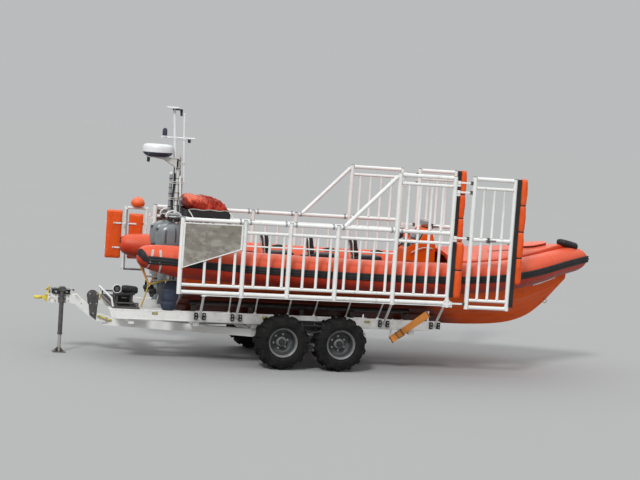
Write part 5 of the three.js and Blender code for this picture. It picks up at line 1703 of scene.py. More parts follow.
def console_shape():
    shape = Shape(HULL_PAINT)
    shape.plate(CONSOLE, -CONSOLE_Y, CONSOLE_Y)
    shape.use(KIT)
    lower, upper = (CONSOLE[9], CONSOLE[8]), (CONSOLE[7], CONSOLE[6])
    low, high, place = sloped(*upper, 0.0, 0.04, 0.96, 0.300, 0.006)
    shape.box(low, high, place)
    low, high, place = sloped(*lower, 0.0, 0.08, 0.92, 0.300, 0.005)
    shape.box(low, high, place)
    shape.use(GLASS)
    for y0, y1 in ((-0.275, -0.020), (0.020, 0.275)):
        low, high, place = sloped(*upper, 0.006, 0.14, 0.86, 0.1, 0.008)
        shape.box((low[0], y0, low[2]), (high[0], y1, high[2]), place)
    for y in (-0.24, -0.15, 0.15, 0.24):
        low, high, place = sloped(*lower, 0.005, 0.5, 0.5, 0.1, 0.0)
        centre = place @ Vector((low[0], y, 0))
        out = (place.to_3x3() @ Vector((0, 0, 1)))
        shape.use(ZINC).lathe([(0.024, 0), (0.032, 0), (0.032, 0.010), (0.026, 0.012)], centre, out,
                              24)
        shape.use(GLASS).lathe([(0, 0), (0.026, 0), (0.026, 0.006), (0, 0.007)], centre, out, 24)
    # Twin throttle levers on the starboard side of the wheel.
    shape.use(KIT)
    shape.box((1.900, -0.240, 2.115), (2.030, -0.160, 2.195))
    shape.use(ZINC)
    for y in (-0.225, -0.175):
        shape.tube([(1.965, y, 2.180), (1.945, y, 2.260), (1.930, y, 2.320)], 0.007, 10)
        shape.use(BLACK).lathe([(0, 0), (0.013, 0.004), (0.015, 0.016), (0.010, 0.028), (0, 0.031)],
                               (1.929, y, 2.315), (-0.2, 0, 1), 16)
        shape.use(ZINC)
    # Low windscreen and its rail.
    shape.use(GLASS)
    shape.loft([[(2.290, -0.30, 2.425), (2.300, -0.30, 2.425), (2.300, 0.30, 2.425),
                 (2.290, 0.30, 2.425)],
                [(2.235, -0.27, 2.560), (2.243, -0.27, 2.560), (2.243, 0.27, 2.560),
                 (2.235, 0.27, 2.560)]])
    shape.use(PALE_ALLOY)
    rail = [(2.330, -0.315, 2.300), (2.290, -0.318, 2.450), (2.245, -0.300, 2.565),
            (2.238, -0.250, 2.585), (2.238, 0.250, 2.585), (2.245, 0.300, 2.565),
            (2.290, 0.318, 2.450), (2.330, 0.315, 2.300)]
    shape.tube(smooth_route(rail, 4), 0.011, 12)
    for s in SIDES.values():
        handrail = [(1.95, s * CONSOLE_Y, 1.98), (1.95, s * 0.380, 2.02), (2.13, s * 0.380, 2.10),
                    (2.30, s * 0.380, 2.10), (2.30, s * CONSOLE_Y, 2.06)]
        shape.tube(smooth_route(handrail, 4), 0.011, 12)
    # Locker door, its hinges and latch, and a vent, on each side.
    for s in SIDES.values():
        shape.use(HULL_PAINT).box((1.93, s * 0.339, 1.42), (2.29, s * 0.346, 1.88))
        shape.use(ZINC)
        for z in (1.50, 1.80):
            shape.box((2.265, s * 0.345, z - 0.03), (2.315, s * 0.352, z + 0.03))
        shape.lathe([(0, 0), (0.018, 0), (0.018, 0.006), (0.010, 0.010), (0, 0.010)],
                    (1.965, s * 0.345, 1.65), (0, s, 0), 20)
    shape.use(BLACK)
    for z in (1.36, 1.385, 1.41, 1.435):
        shape.box((2.379, -0.11, z), (2.386, 0.11, z + 0.010))
    return shape


def helm_wheel_shape():
    place = tilted(1.850, 0, 2.215, -60)
    axis = place.to_3x3() @ Vector((0, 0, 1))
    centre = place @ Vector((0, 0, 0))
    shape = Shape(BLACK)
    shape.ring(centre, axis, 0.170, 0.0135, 48)
    shape.use(ZINC)
    for a in angles(3, math.pi / 2):
        rim = place @ Vector((0.165 * math.cos(a), 0.165 * math.sin(a), 0))
        mid = place @ Vector((0.07 * math.cos(a), 0.07 * math.sin(a), -0.022))
        shape.tube([place @ Vector((0, 0, -0.028)), mid, rim], 0.0085, 10)
    shape.lathe([(0, -0.070), (0.022, -0.070), (0.024, -0.030), (0.034, -0.022), (0.034, -0.006),
                 (0.024, 0.004), (0, 0.006)],
                centre, axis, 24)
    return shape


def seat_pod_shape():
    shape = Shape(KIT)
    rings = []
    for y in (-0.150, -0.138, 0.138, 0.150):
        inset = 0.012 if abs(y) > 0.14 else 0.0
        rings.append([(-0.700 + inset, y, DECK_TOP), (1.480 - inset, y, DECK_TOP),
                      (1.480 - inset, y, 1.600), (1.440, y, 1.640 - inset),
                      (-0.660, y, 1.640 - inset), (-0.700 + inset, y, 1.600)])
    shape.loft(rings)
    for x in SEATS_X:
        shape.plate([(x - 0.180, 1.632), (x + 0.290, 1.632), (x + 0.270, 1.782),
                     (x - 0.160, 1.782)], -0.135, 0.135)
    for x in (-0.30, 0.50, 1.25):
        for s in SIDES.values():
            shape.use(DECK).box((x - 0.16, s * 0.149, 1.32), (x + 0.16, s * 0.156, 1.52))
            shape.use(ZINC)
            for spot in product((x - 0.14, x + 0.14), (s * 0.156,), (1.34, 1.50)):
                shape.lathe([(0, 0), (0.007, 0), (0.005, 0.003), (0, 0.0035)], spot, (0, s, 0), 10)
    # The bar that each crew member holds, behind the seat ahead.
    shape.use(PALE_ALLOY)
    for x in SEATS_X:
        loop = [(x - 0.215, -0.120, 1.80), (x - 0.245, -0.150, 2.00), (x - 0.262, -0.140, 2.14),
                (x - 0.268, 0, 2.165), (x - 0.262, 0.140, 2.14), (x - 0.245, 0.150, 2.00),
                (x - 0.215, 0.120, 1.80)]
        shape.tube(smooth_route(loop, 5), 0.012, 12)
    return shape


def seat_cushion_shape(x, index):
    top = cushion_shape((x - 0.200, -0.180, 1.783), (x + 0.300, 0.180, 1.900), 0.02, SEAT,
                        seams=((0.5, 0.010), (0.16, 0.008), (0.84, 0.008)), axis=2, seed=20 + index,
                        near=1)
    back_low, back_high = Vector((x - 0.170, 0, 1.880)), Vector((x - 0.230, 0, 2.196))
    rings = []
    for k in range(25):
        t = k / 24
        middle = back_low.lerp(back_high, t)
        swell = 0.55 + 0.45 * (1 - abs(2 * t - 1) ** 5) ** 0.5
        dip = 1 - 0.13 * hump(t, 0.5, 0.035)
        ring = []
        for a in angles(32):
            wide = squared(math.cos(a), 0.45) * 0.158 * (0.86 + 0.14 * swell)
            deep = squared(math.sin(a), 0.7) * 0.044 * swell * dip
            deep += wrinkled((wide, t, 0), 0.003, 9.0, 31 + index)
            ring.append((middle.x + deep, wide, middle.z + deep * 0.19))
        rings.append(ring)
    top.loft(rings)
    # Piping round the seat.
    top.use(BLACK)
    route = []
    for a in angles(48):
        route.append((x + 0.050 + squared(math.cos(a), 0.35) * 0.243,
                      squared(math.sin(a), 0.35) * 0.174, 1.846))
    top.tube(route, 0.0055, 8, closed=True)
    return top


def make_cockpit():
    make("console_look", console_shape(), stands_for=["helm_console"], bevel=0.006,
         smooth=35)
    make("helm_wheel_look", helm_wheel_shape(), stands_for=["helm_wheel"], bevel=0)
    make("seat_pod", seat_pod_shape(), stands_for=["seat_row"], bevel=0.006)
    for index, x in enumerate(SEATS_X):
        piece = make(f"seat_cushion_{index + 1}", seat_cushion_shape(x, index),
                     bevel=0, smooth=60)


# Gantry, tray, bag, mast and radar

GANTRY = {"y": 0.760, "aft": -2.010, "fore": -1.420, "z": 2.400, "tube": 0.030}
GANTRY_TOP = 2.4304
TRAY = {"x0": -2.130, "x1": -1.385, "y": 0.620, "bottom": GANTRY_TOP, "top": 2.555}

RADAR = {"x": -2.600, "bottom": 3.410}


def gantry_shape():
    g = GANTRY
    shape = Shape(ALLOY)
    for s in SIDES.values():
        y = s * g["y"]
        for x in (g["aft"], g["fore"]):
            bar(shape, (x, y, DECK_TOP + 0.013), (x, y, g["z"] - 0.02), g["tube"], 18)
            shape.lathe([(0, 0), (0.052, 0), (0.052, 0.012), (0.036, 0.016), (0, 0.016)],
                        (x, y, DECK_TOP), sides=28)
            shape.bolts([(x + 0.042 * math.cos(a), y + 0.042 * math.sin(a), DECK_TOP + 0.012)
                         for a in angles(4, math.pi / 4)], (0, 0, 1), 0.006)
        bar(shape, (g["aft"] - 0.028, y, g["z"]), (g["fore"] + 0.028, y, g["z"]), g["tube"], 18)
        bar(shape, (g["aft"], y, 1.750), (g["fore"], y, 1.750), 0.021, 14)
        bar(shape, (g["aft"], y, 1.78), (g["fore"], y, 2.37), 0.016, 12)
        horn = [(g["aft"] - 0.26, y * 0.60, 2.415), (g["aft"] - 0.20, y * 0.86, 2.432),
                (g["aft"] - 0.06, y * 0.99, 2.42), (g["aft"] + 0.02, y, 2.36)]
        shape.tube(smooth_route(horn, 5), 0.018, 14)
    for x in (g["aft"], g["fore"]):
        bar(shape, (x, -g["y"] - 0.028, g["z"]), (x, g["y"] + 0.028, g["z"]), g["tube"], 18)
    shape.box((-2.330, -0.110, g["z"] - 0.010), (g["aft"] + 0.010, 0.110, g["z"] + 0.029))
    for y in (-0.09, 0.09):
        shape.plate([(-2.300, g["z"] - 0.010), (g["aft"] - 0.02, g["z"] - 0.010),
                     (g["aft"] - 0.02, g["z"] - 0.11)],
                    y - 0.005, y + 0.005)
    return shape


def tray_shape():
    t = TRAY
    shape = Shape(KIT)
    wall = 0.015
    shape.box((t["x0"], -t["y"], t["bottom"]), (t["x1"], t["y"], t["bottom"] + wall))
    for x in (t["x0"], t["x1"] - wall):
        shape.box((x, -t["y"], t["bottom"] + wall), (x + wall, t["y"], t["top"] - 0.004))
    for y in (-t["y"], t["y"] - wall):
        shape.box((t["x0"] + wall, y, t["bottom"] + wall),
                  (t["x1"] - wall, y + wall, t["top"] - 0.004))
    rim = [(t["x0"] + 0.007, -t["y"] + 0.007), (t["x1"] - 0.007, -t["y"] + 0.007),
           (t["x1"] - 0.007, t["y"] - 0.007), (t["x0"] + 0.007, t["y"] - 0.007)]
    shape.use(BLACK)
    for (xa, ya), (xb, yb) in zip(rim, rim[1:] + rim[:1]):
        shape.tube([(xa, ya, t["top"] - 0.008), (xb, yb, t["top"] - 0.008)], 0.0085, 10)
    return shape


def bag_shape():
    """A folded fabric bag, its landward end lifted, its seaward end fuller and creased."""
    shape = Shape(BAG)
    rings = []
    steps, sides = 84, 104
    x0, x1 = TRAY["x0"] + 0.018, TRAY["x1"] - 0.014
    for i in range(steps + 1):
        t = i / steps
        x = x0 + (x1 - x0) * t
        end = (1 - abs(2 * t - 1) ** 5) ** 0.5 if 0 < t < 1 else 0.0
        end = 0.34 + 0.66 * end
        crown = 2.818 - 0.055 * t - 0.060 * t ** 3
        low = 2.462 + 0.120 * max(0.0, 1 - t / 0.30) ** 1.4
        rough = 0.35 + 0.65 * min(1.0, max(0.0, (t - 0.30) / 0.35))
        ring = []
        for a in angles(sides):
            c, s = math.cos(a), math.sin(a)
            wide = 0.572 * squared(c, 0.62) * (0.90 + 0.10 * end)
            height = (low + crown) / 2 + (crown - low) / 2 * squared(s, 0.62) * end
            ridge = abs(noise.noise(Vector((x * 4.6 + 3, wide * 2.6, 1.3))))
            fold = abs(noise.noise(Vector((x * 11.0 + wide * 4.0, wide * 5.0 - x * 3.0, 7.7))))
            small = noise.noise(Vector((x * 24, wide * 15, 2.2)))
            if s > 0:
                hollow = 0.100 * (1 - 2.6 * ridge) + 0.085 * (1 - 3.2 * fold)
                sink = hollow * s ** 0.5 * rough ** 1.5 + 0.008 * small
                height -= max(sink, -0.010) * end
            pull = 0.055 * abs(noise.noise(Vector((x * 8, height * 7, 3.1)))) * (0.4 + 0.6 * rough)
            pull += 0.018 * abs(noise.noise(Vector((x * 19, height * 16, 5.0))))
            ring.append((x, wide - math.copysign(pull, wide), max(height, low - 0.005)))
        rings.append(ring)
    shape.loft(rings)
    return shape


def bag_lashing_shape():
    """The white cord laced round the foot of the bag, and its stays to the gantry."""
    shape = Shape(ROPE_WHITE)
    for s in SIDES.values():
        y = s * (TRAY["y"] - 0.010)
        route = []
        for k, x in enumerate((-2.110, -2.000, -1.860, -1.720, -1.580, -1.460, -1.400)):
            route.append((x, y - s * (0.034 if k % 2 else 0.012), 2.572 if k % 2 else 2.560))
        shape.tube(smooth_route(route, 5), 0.007, 8)
        shape.use(PALE_ALLOY)
        shape.tube([(-1.405, s * 0.628, 2.545), (-1.372, s * 0.700, 2.500),
                    (-1.362, s * 0.752, 2.425)], 0.010, 10)
        shape.tube([(-2.105, s * 0.628, 2.545), (-2.075, s * 0.700, 2.500),
                    (-2.040, s * 0.752, 2.425)], 0.010, 10)
        shape.use(ROPE_WHITE)
    return shape


def aft_rail_shape():
    """White bent rails on the gantry's landward end, with the dark floodlights under them."""
    shape = Shape(RADOME)
    for s in SIDES.values():
        y = s * 0.330
        arc = [(-2.440, y, 2.398), (-2.432, y, 2.455), (-2.380, y, 2.497), (-2.314, y, 2.506),
               (-2.240, y, 2.478), (-2.175, y, 2.425)]
        shape.tube(smooth_route(arc, 5), 0.013, 12)
        shape.tube([(-2.436, y, 2.405), (-2.180, y, 2.405)], 0.011, 12)
        bar(shape, (-2.180, y, 2.405), (GANTRY["aft"] - 0.01, y, 2.400), 0.014, 12)
        shape.use(KIT)
        for x, lean in ((-2.375, 24), (-2.255, -18)):
            place = tilted(x, y, 2.372, lean)
            shape.box((-0.052, -0.060, -0.040), (0.046, 0.060, 0.026), place)
            shape.use(GLASS).box((-0.057, -0.050, -0.031), (-0.052, 0.050, 0.018), place)
            shape.use(STEEL).box((-0.010, -0.066, 0.000), (0.010, 0.066, 0.036), place)
            shape.use(KIT)
        shape.use(RADOME)
    return shape


def mast_shape():
    column, aft, fore = -2.235, -2.345, -2.160
    shape = Shape(PALE_ALLOY)
    shape.box((-2.370, -0.090, GANTRY_TOP), (-2.140, 0.090, GANTRY_TOP + 0.028))
    shape.tube([(column, 0, GANTRY_TOP + 0.028), (column, 0, GANTRY_TOP + 0.06), (column, 0, 3.46)],
               [0.052, 0.034, 0.034], 20)
    shape.bolts([(x, y, GANTRY_TOP + 0.028) for y in (-0.07, 0.07) for x in (-2.35, -2.16)],
                (0, 0, 1), 0.008)
    aft_low, aft_high = Vector((-2.290, 0, 3.290)), Vector((-2.358, 0, 4.245))
    fore_low, fore_high = Vector((-2.120, 0, 2.960)), Vector((-2.182, 0, 4.150))
    shape.use(RADOME)
    shape.tube([aft_low, aft_high], 0.0235)
    shape.tube([fore_low, fore_high], 0.0200)
    shape.lathe([(0, 0), (0.024, 0), (0.024, 0.02), (0, 0.026)], fore_high - Vector((0, 0, 0.005)),
                sides=16)
    shape.use(ALLOY)
    shape.tube([(aft, 0, GANTRY_TOP + 0.02), (aft, 0, 3.110)], 0.027)
    shape.tube([(fore, 0, GANTRY_TOP + 0.02), (fore, 0, 3.065)], 0.020)
    # Cables run up both sides of the column, behind a pale slanting cover plate.
    shape.use(KIT)
    for x, y, top in ((-2.298, 0.012, 3.240), (-2.284, -0.026, 3.140), (-2.190, 0.030, 3.180)):
        cable = [(x, y, GANTRY_TOP + 0.020), (x - 0.008, y, 2.700), (x + 0.006, y, 2.950),
                 (x, y, top)]
        shape.tube(smooth_route(cable, 5), 0.010, 8)
    for z in (2.560, 2.780, 2.880, 3.040):
        shape.collar(0.027, 0.0305, 0.012, (aft, 0, z), sides=20)
    shape.use(RADOME)
    cover = [(-2.216, 3.080), (-2.180, 3.080), (-2.158, 2.760), (-2.190, 2.720)]
    shape.plate(cover, -0.046, -0.040)
    shape.use(PALE_ALLOY)
    for z in (2.680, 2.960):
        shape.box((-2.370, -0.048, z + 0.002), (-2.136, 0.048, z + 0.012))
        shape.box((-2.370, -0.048, z + 0.032), (-2.136, 0.048, z + 0.042))
        for x, bore, size in ((aft, 0.016, 0.034), (column, 0.030, 0.042), (fore, 0.016, 0.034)):
            shape.collar(bore, size, 0.040, (x, 0, z + 0.002), sides=20)
    shape.box((-2.200, -0.018, 2.972), (-2.102, 0.018, 2.992))
    shape.box((-2.328, -0.022, 3.292), (-2.104, 0.022, 3.328))
    shape.box((-2.290, -0.028, 3.402), (column, 0.028, 3.448))
    # Shelf and strut under the scanner.
    shelf = RADAR["bottom"] - 0.0135
    shape.box((-2.780, -0.105, shelf - 0.006), (column, 0.105, shelf + 0.008))
    for y in (-0.090, 0.090):
        shape.plate([(-2.700, shelf - 0.004), (-2.250, shelf - 0.004), (-2.250, shelf - 0.155),
                     (-2.290, shelf - 0.150), (-2.480, shelf - 0.040)], y - 0.004, y + 0.004)
    shape.box((-2.275, -0.094, 3.245), (-2.250, 0.094, shelf - 0.004))
    # Yard with its lamps.
    shape.use(RADOME)
    shape.tube([(-2.545, 0, 3.745), (-1.985, 0, 3.745)], 0.0165)
    for x in (-2.545, -1.985):
        shape.lathe([(0, 0), (0.019, 0), (0.019, 0.012), (0, 0.015)], (x, 0, 3.745),
                    (1 if x > -2.2 else -1, 0, 0), 16)
    for x in (-2.322, -2.161):
        shape.box((x - 0.026, -0.028, 3.722), (x + 0.026, 0.028, 3.768))
    shape.lathe([(0, 0), (0.042, 0), (0.042, 0.016), (0.030, 0.022), (0, 0.022)],
                (-2.500, 0, 3.752), sides=28)
    shape.use(NAVY).lathe([(0, 0), (0.038, 0), (0.041, 0.012), (0.041, 0.088), (0.032, 0.118),
                           (0.018, 0.130), (0, 0.131)],
                          (-2.500, 0, 3.772), sides=32)
    shape.use(KIT)
    shape.lathe([(0, 0), (0.022, 0), (0.027, 0.018), (0.027, 0.050), (0.018, 0.062), (0, 0.064)],
                (-2.070, 0, 3.672), sides=24)
    shape.lathe([(0, 0), (0.020, 0), (0.026, 0.014), (0.026, 0.080), (0.020, 0.094), (0, 0.095)],
                (-2.755, 0, 3.308), sides=24)
    shape.use(RADOME).lathe([(0, 0), (0.022, 0), (0.034, 0.014), (0.034, 0.032), (0.022, 0.050),
                             (0, 0.056)],
                            (aft, 0, 3.106), sides=24)
    shape.tube([(-2.190, -0.030, 2.820), (-2.190, -0.030, 3.105)], 0.013, 12)
    # Aerial plate on top with its dark bracket.
    shape.lathe([(0, 0), (0.112, 0), (0.120, 0.008), (0.122, 0.020), (0.112, 0.032), (0, 0.035)],
                (-2.380, 0, 4.240), sides=40)
    shape.use(KIT)
    shape.box((-2.388, -0.022, 4.216), (-2.217, 0.022, 4.2395))
    shape.plate([(-2.246, 4.122), (-2.218, 4.122), (-2.216, 4.236), (-2.262, 4.236)], -0.022, 0.022)
    # Cable down the mast, held by ties.
    shape.tube([(-2.196, 0.012, z) for z in (2.47, 2.70, 2.95, 3.20, 3.42)], 0.006, 8)
    for z in (2.58, 2.80, 3.05, 3.22, 3.36):
        shape.collar(0.034, 0.0375, 0.008, (column, 0, z), sides=20)
    return shape


def radar_shape():
    centre = (RADAR["x"], 0, RADAR["bottom"])
    shape = Shape(RADOME)
    top = [(0, 0.068), (0.252, 0.068), (0.261, 0.074), (0.262, 0.086), (0.262, 0.150),
           (0.256, 0.176), (0.240, 0.196), (0.205, 0.208), (0.140, 0.214), (0, 0.215)]
    shape.lathe(top, centre, sides=72)
    shape.use(NAVY)
    low = [(0, 0.001), (0.170, 0.001), (0.196, 0.006), (0.236, 0.034), (0.252, 0.056),
           (0.254, 0.0675), (0, 0.0675)]
    shape.lathe(low, centre, sides=72)
    for a in angles(4, math.pi / 4):
        c, s = math.cos(a), math.sin(a)
        shape.bolts([(RADAR["x"] + 0.246 * c, 0.246 * s, RADAR["bottom"] + 0.046)], (c, s, -0.6),
                    0.005)
    return shape


def make_gantry():
    make("gantry_look", gantry_shape(), stands_for=["gantry"], bevel=0.002)
    make("tray_look", tray_shape(), stands_for=["bag_tray"], bevel=0.003)
    bag = make("bag_look", bag_shape(), stands_for=["righting_bag"], bevel=0,
               smooth=80)
    make("bag_lashing", bag_lashing_shape(), bevel=0)
    make("aft_rails", aft_rail_shape(), bevel=0.002)
    make("mast_look", mast_shape(), stands_for=["mast"], bevel=0.002)
    make("radar_look", radar_shape(), stands_for=["radar"], bevel=0.002)


# Outboards

# Where an outboard steers, where it tilts, and where its propeller turns.
STEER_X = -2.330
TILT_X, TILT_Z = -2.215, 1.640
SHAFT_Z = 1.120
ENGINE_Y = 0.330


def engine_shape(y):
    x = STEER_X
    shape = Shape(COWL)
    # Height, fore and aft reach and half width of the cowl's sections.
    sections = [(1.882, 0.168, -0.226, 0.150), (1.900, 0.188, -0.248, 0.168),
                (1.960, 0.205, -0.268, 0.185), (2.060, 0.210, -0.272, 0.189),
                (2.150, 0.204, -0.264, 0.184), (2.220, 0.184, -0.228, 0.168),
                (2.265, 0.150, -0.170, 0.142), (2.288, 0.112, -0.110, 0.110),
                (2.298, 0.060, -0.050, 0.060)]

    def cowl_ring(z, fore, aft, half):
        ring = []
        for a in angles(48):
            c, s = math.cos(a), math.sin(a)
            reach = fore if c > 0 else -aft
            ring.append((x + reach * squared(c, 0.72), y + half * squared(s, 0.72), z))
        return ring

    route = smooth_rows(sections, 0.012)
    shape.loft([cowl_ring(*row) for row in route])
    # Skirt below the cowl's joint, then the dark seal between them.
    shape.use(STEEL)
    skirt = [(1.726, 0.060, -0.165, 0.095), (1.760, 0.110, -0.205, 0.118),
             (1.810, 0.142, -0.222, 0.128), (1.872, 0.160, -0.228, 0.132)]
    shape.loft([cowl_ring(*row) for row in smooth_rows(skirt, 0.02)])
    shape.use(BLACK)
    shape.loft([cowl_ring(1.868, 0.172, -0.238, 0.150), cowl_ring(1.884, 0.174, -0.240, 0.152)])

    def cowl_spot(row, c, s, swell):
        z, fore, aft, half = row
        reach = (fore if c > 0 else -aft) + swell
        side = math.sqrt(1 - c * c)
        return (x + reach * squared(c, 0.72), y + s * (half + swell) * side ** 0.72, z)

    # Two dark bands up each side, the rear air intake and the lifting lug.
    shape.use(STEEL)
    for s in (-1, 1):
        for middle, half_band, low, high in ((0.130, 0.052, 1.975, 2.235),
                                             (-0.325, 0.062, 1.955, 2.190)):
            rings = []
            for row in route:
                if not low < row[0] < high:
                    continue
                rings.append([cowl_spot(row, middle - half_band, s, -0.006),
                              cowl_spot(row, middle - half_band, s, 0.0018),
                              cowl_spot(row, middle, s, 0.0022),
                              cowl_spot(row, middle + half_band, s, 0.0018),
                              cowl_spot(row, middle + half_band, s, -0.006)])
            shape.loft(rings)
    shape.use(KIT)
    for z in (2.150, 2.172, 2.194):
        shape.box((x - 0.262, y - 0.085, z), (x - 0.225, y + 0.085, z + 0.010))
    shape.ring((x + 0.02, y, 2.292), (0, 1, 0), 0.016, 0.005, 16)
    # Leg, from the skirt down to the skeg.
    shape.use(COWL)
    leg = [(1.735, -0.056, -0.205, 0.062), (1.600, -0.058, -0.202, 0.050),
           (1.400, -0.058, -0.198, 0.045), (1.300, -0.056, -0.194, 0.044),
           (1.245, -0.050, -0.192, 0.042), (1.200, -0.020, -0.188, 0.036),
           (1.160, -0.006, -0.182, 0.036)]

    def foil(z, fore, aft, half):
        middle, reach = (fore + aft) / 2, (fore - aft) / 2
        ring = []
        for a in angles(28):
            taper = 1 - 0.25 * max(-math.cos(a), 0) ** 2
            ring.append((x + middle + reach * math.cos(a), y + half * math.sin(a) * taper, z))
        return ring

    shape.loft([foil(*row) for row in leg])
    skeg = [(1.085, 0.000, -0.150, 0.014), (1.000, -0.055, -0.165, 0.011),
            (0.907, -0.085, -0.180, 0.006)]
    shape.loft([foil(*row) for row in skeg])
    gearcase = [(0, -0.208), (0.046, -0.205), (0.054, -0.170), (0.055, -0.060), (0.050, 0.005),
                (0.036, 0.042), (0.016, 0.062), (0, 0.066)]
    shape.lathe(gearcase, (x, y, SHAFT_Z), (1, 0, 0), 32)
    plate = []
    for a in angles(40):
        plate.append((x - 0.180 + 0.118 * squared(math.cos(a), 0.7),
                      y + 0.108 * squared(math.sin(a), 0.7), 1.300))
    shape.loft([plate, [(px, py, 1.313) for px, py, _ in plate]])
    # Steering post, tiller arm and water pick-up.
    shape.use(STEEL)
    shape.tube([(x, y, 1.215), (x, y, 1.800)], 0.0195, 16)
    shape.box((x - 0.030, y - 0.028, 1.197), (x + 0.030, y + 0.028, 1.239))
    shape.use(KIT)
    for s in (-1, 1):
        for k in range(4):
            z = 1.150 + 0.012 * k
            shape.box((x - 0.090, y + s * 0.030 - 0.010, z),
                      (x - 0.040, y + s * 0.030 + 0.010, z + 0.005))
    return shape


def propeller_shape(y):
    centre = Vector((STEER_X - 0.270, y, SHAFT_Z))
    shape = Shape(KIT)
    shape.lathe([(0, -0.062), (0.030, -0.060), (0.044, -0.030), (0.050, 0.010), (0.050, 0.058),
                 (0, 0.059)], centre, (1, 0, 0), 32)
    for start in angles(3):
        rings = []
        for k in range(11):
            t = k / 10
            radius = 0.046 + 0.114 * t
            chord = 0.118 * math.sin(math.pi * (0.24 + 0.66 * t)) ** 0.8 + 0.006
            pitch = math.atan2(0.055, radius) + 0.10
            rake = -0.012 * t
            thick = 0.0075 * (1 - 0.75 * t)
            ring = []
            for b in angles(16):
                u = 0.5 * chord * math.cos(b)
                w = thick * math.sin(b)
                dx = u * math.sin(pitch) + w * math.cos(pitch) + rake
                dt = u * math.cos(pitch) - w * math.sin(pitch) + 0.020 * t
                around = start + dt / radius
                spot = Vector((dx, radius * math.sin(around), radius * math.cos(around)))
                ring.append(centre + spot)
            rings.append(ring)
        shape.loft(rings)
    shape.use(ZINC).lathe([(0, -0.072), (0.012, -0.072), (0.014, -0.058), (0, -0.058)], centre,
                          (1, 0, 0), 6)
    return shape


def make_outboards():
    for side, s in SIDES.items():
        y = s * ENGINE_Y
        make(f"engine_look_{side}", engine_shape(y), f"outboard_{side}",
             [f"engine_{side}"], 0.002, 50)
        make(f"propeller_look_{side}", propeller_shape(y), f"screw_{side}",
             [f"propeller_{side}"], 0, 50)


make_cockpit()
make_gantry()
make_outboards()


# The carriage's frame

CROSS_X = [-3.000, -1.900, -0.900, 0.000, 0.900, 1.880]
BUNK = {"y": 0.470, "x0": -1.980, "x1": 1.930, "width": 0.110}
CHINE_RISE = CHINE_Z - KEEL_Z
BUNK_SLOPE = math.atan2(CHINE_RISE, CHINE_Y)
KNEE_Y = 0.800
LEG_Z = (0.475, 0.605)
STRAP_LOW = (1.500, 0.520)
STRAP_HIGH = (2.150, 1.005)
STRAP_WIDTH = 0.130


def cradle_look_shape():
    shape = Shape(WHITE)
    r = RAIL
    outline = [(r["land"], r["top"]), (r["land"] + 0.060, r["bottom"] + 0.030),
               (r["land"] + 0.160, r["bottom"]),
               (r["sea"] - 0.320, r["bottom"]), (r["sea"], r["bottom"] + 0.060),
               (r["sea"], r["top"])]
    for s in SIDES.values():
        y0, y1 = s * r["y"] - r["half"], s * r["y"] + r["half"]
        shape.plate(outline, y0, y1)
        face = s * (r["y"] + r["half"])
        # Flat bars welded along the outer face's two edges.
        near, far = face - s * 0.002, face + s * 0.004
        shape.box((r["land"] + 0.20, near, r["bottom"] + 0.004),
                  (r["sea"] - 0.34, far, r["bottom"] + 0.022))
        shape.box((r["land"] + 0.06, near, r["top"] - 0.020),
                  (r["sea"] - 0.03, far, r["top"] - 0.003))
        # The posts that the strap is drawn tight between.
        for x, low, high in ((STRAP_LOW[0], STRAP_LOW[1] - 0.020, r["bottom"] + 0.010),
                             (STRAP_HIGH[0], r["top"] - 0.010, STRAP_HIGH[1] + 0.040)):
            shape.box((x - 0.015, face - s * 0.020, low), (x + 0.015, face, high))
    for x in CROSS_X:
        shape.box((x - 0.050, -r["y"], 0.620), (x + 0.050, r["y"], 0.7005))
        for s in SIDES.values():
            inner = s * (r["y"] - r["half"])
            shape.box((x - 0.085, inner - s * 0.006, r["bottom"] + 0.02),
                      (x + 0.085, inner, r["top"] - 0.03))
        if x > BUNK["x0"]:
            shape.use(STEEL).box((x - 0.050, -0.060, 0.700), (x + 0.050, 0.060, 0.748))
            for s in SIDES.values():
                y = s * (BUNK["y"] + 0.010)
                shape.box((x - 0.035, y - 0.030, 0.700), (x + 0.035, y + 0.030, 0.935))
                shape.box((x - 0.060, y - 0.055, 0.7005), (x + 0.060, y + 0.055, 0.710))
            shape.use(WHITE)
    shape.use(BLACK)
    for x in CROSS_X:
        if x > BUNK["x0"]:
            shape.box((x - 0.056, -0.066, 0.748), (x + 0.056, 0.066, 0.7792))
    length = BUNK["x1"] - BUNK["x0"]
    top_z = KEEL_Z + CHINE_RISE * BUNK["y"] / CHINE_Y
    for s in SIDES.values():
        place = Matrix.Translation(((BUNK["x0"] + BUNK["x1"]) / 2, s * BUNK["y"], top_z))
        place @= Matrix.Rotation(s * BUNK_SLOPE, 4, "X")
        half = BUNK["width"] / 2
        shape.box((-length / 2, -half, -0.026), (length / 2, half, -0.0012), place)
        shape.use(STEEL).box((-length / 2 + 0.02, -half + 0.012, -0.050),
                             (length / 2 - 0.02, half - 0.012, -0.026), place)
        shape.use(BLACK).box((r["sea"] - 0.001, s * r["y"] - 0.040, r["bottom"] + 0.070),
                             (r["sea"] + 0.003, s * r["y"] + 0.040, r["top"] - 0.006))
    # Plain yellow side markers in black holders along each rail.
    for s in SIDES.values():
        face = s * (r["y"] + r["half"])
        for x in (-2.62, -0.74, 1.06):
            shape.use(KIT).box((x - 0.045, face, 0.800), (x + 0.045, face + s * 0.010, 0.836))
            shape.use(YELLOW).box((x - 0.038, face, 0.805), (x + 0.038, face + s * 0.015, 0.831))
    return shape


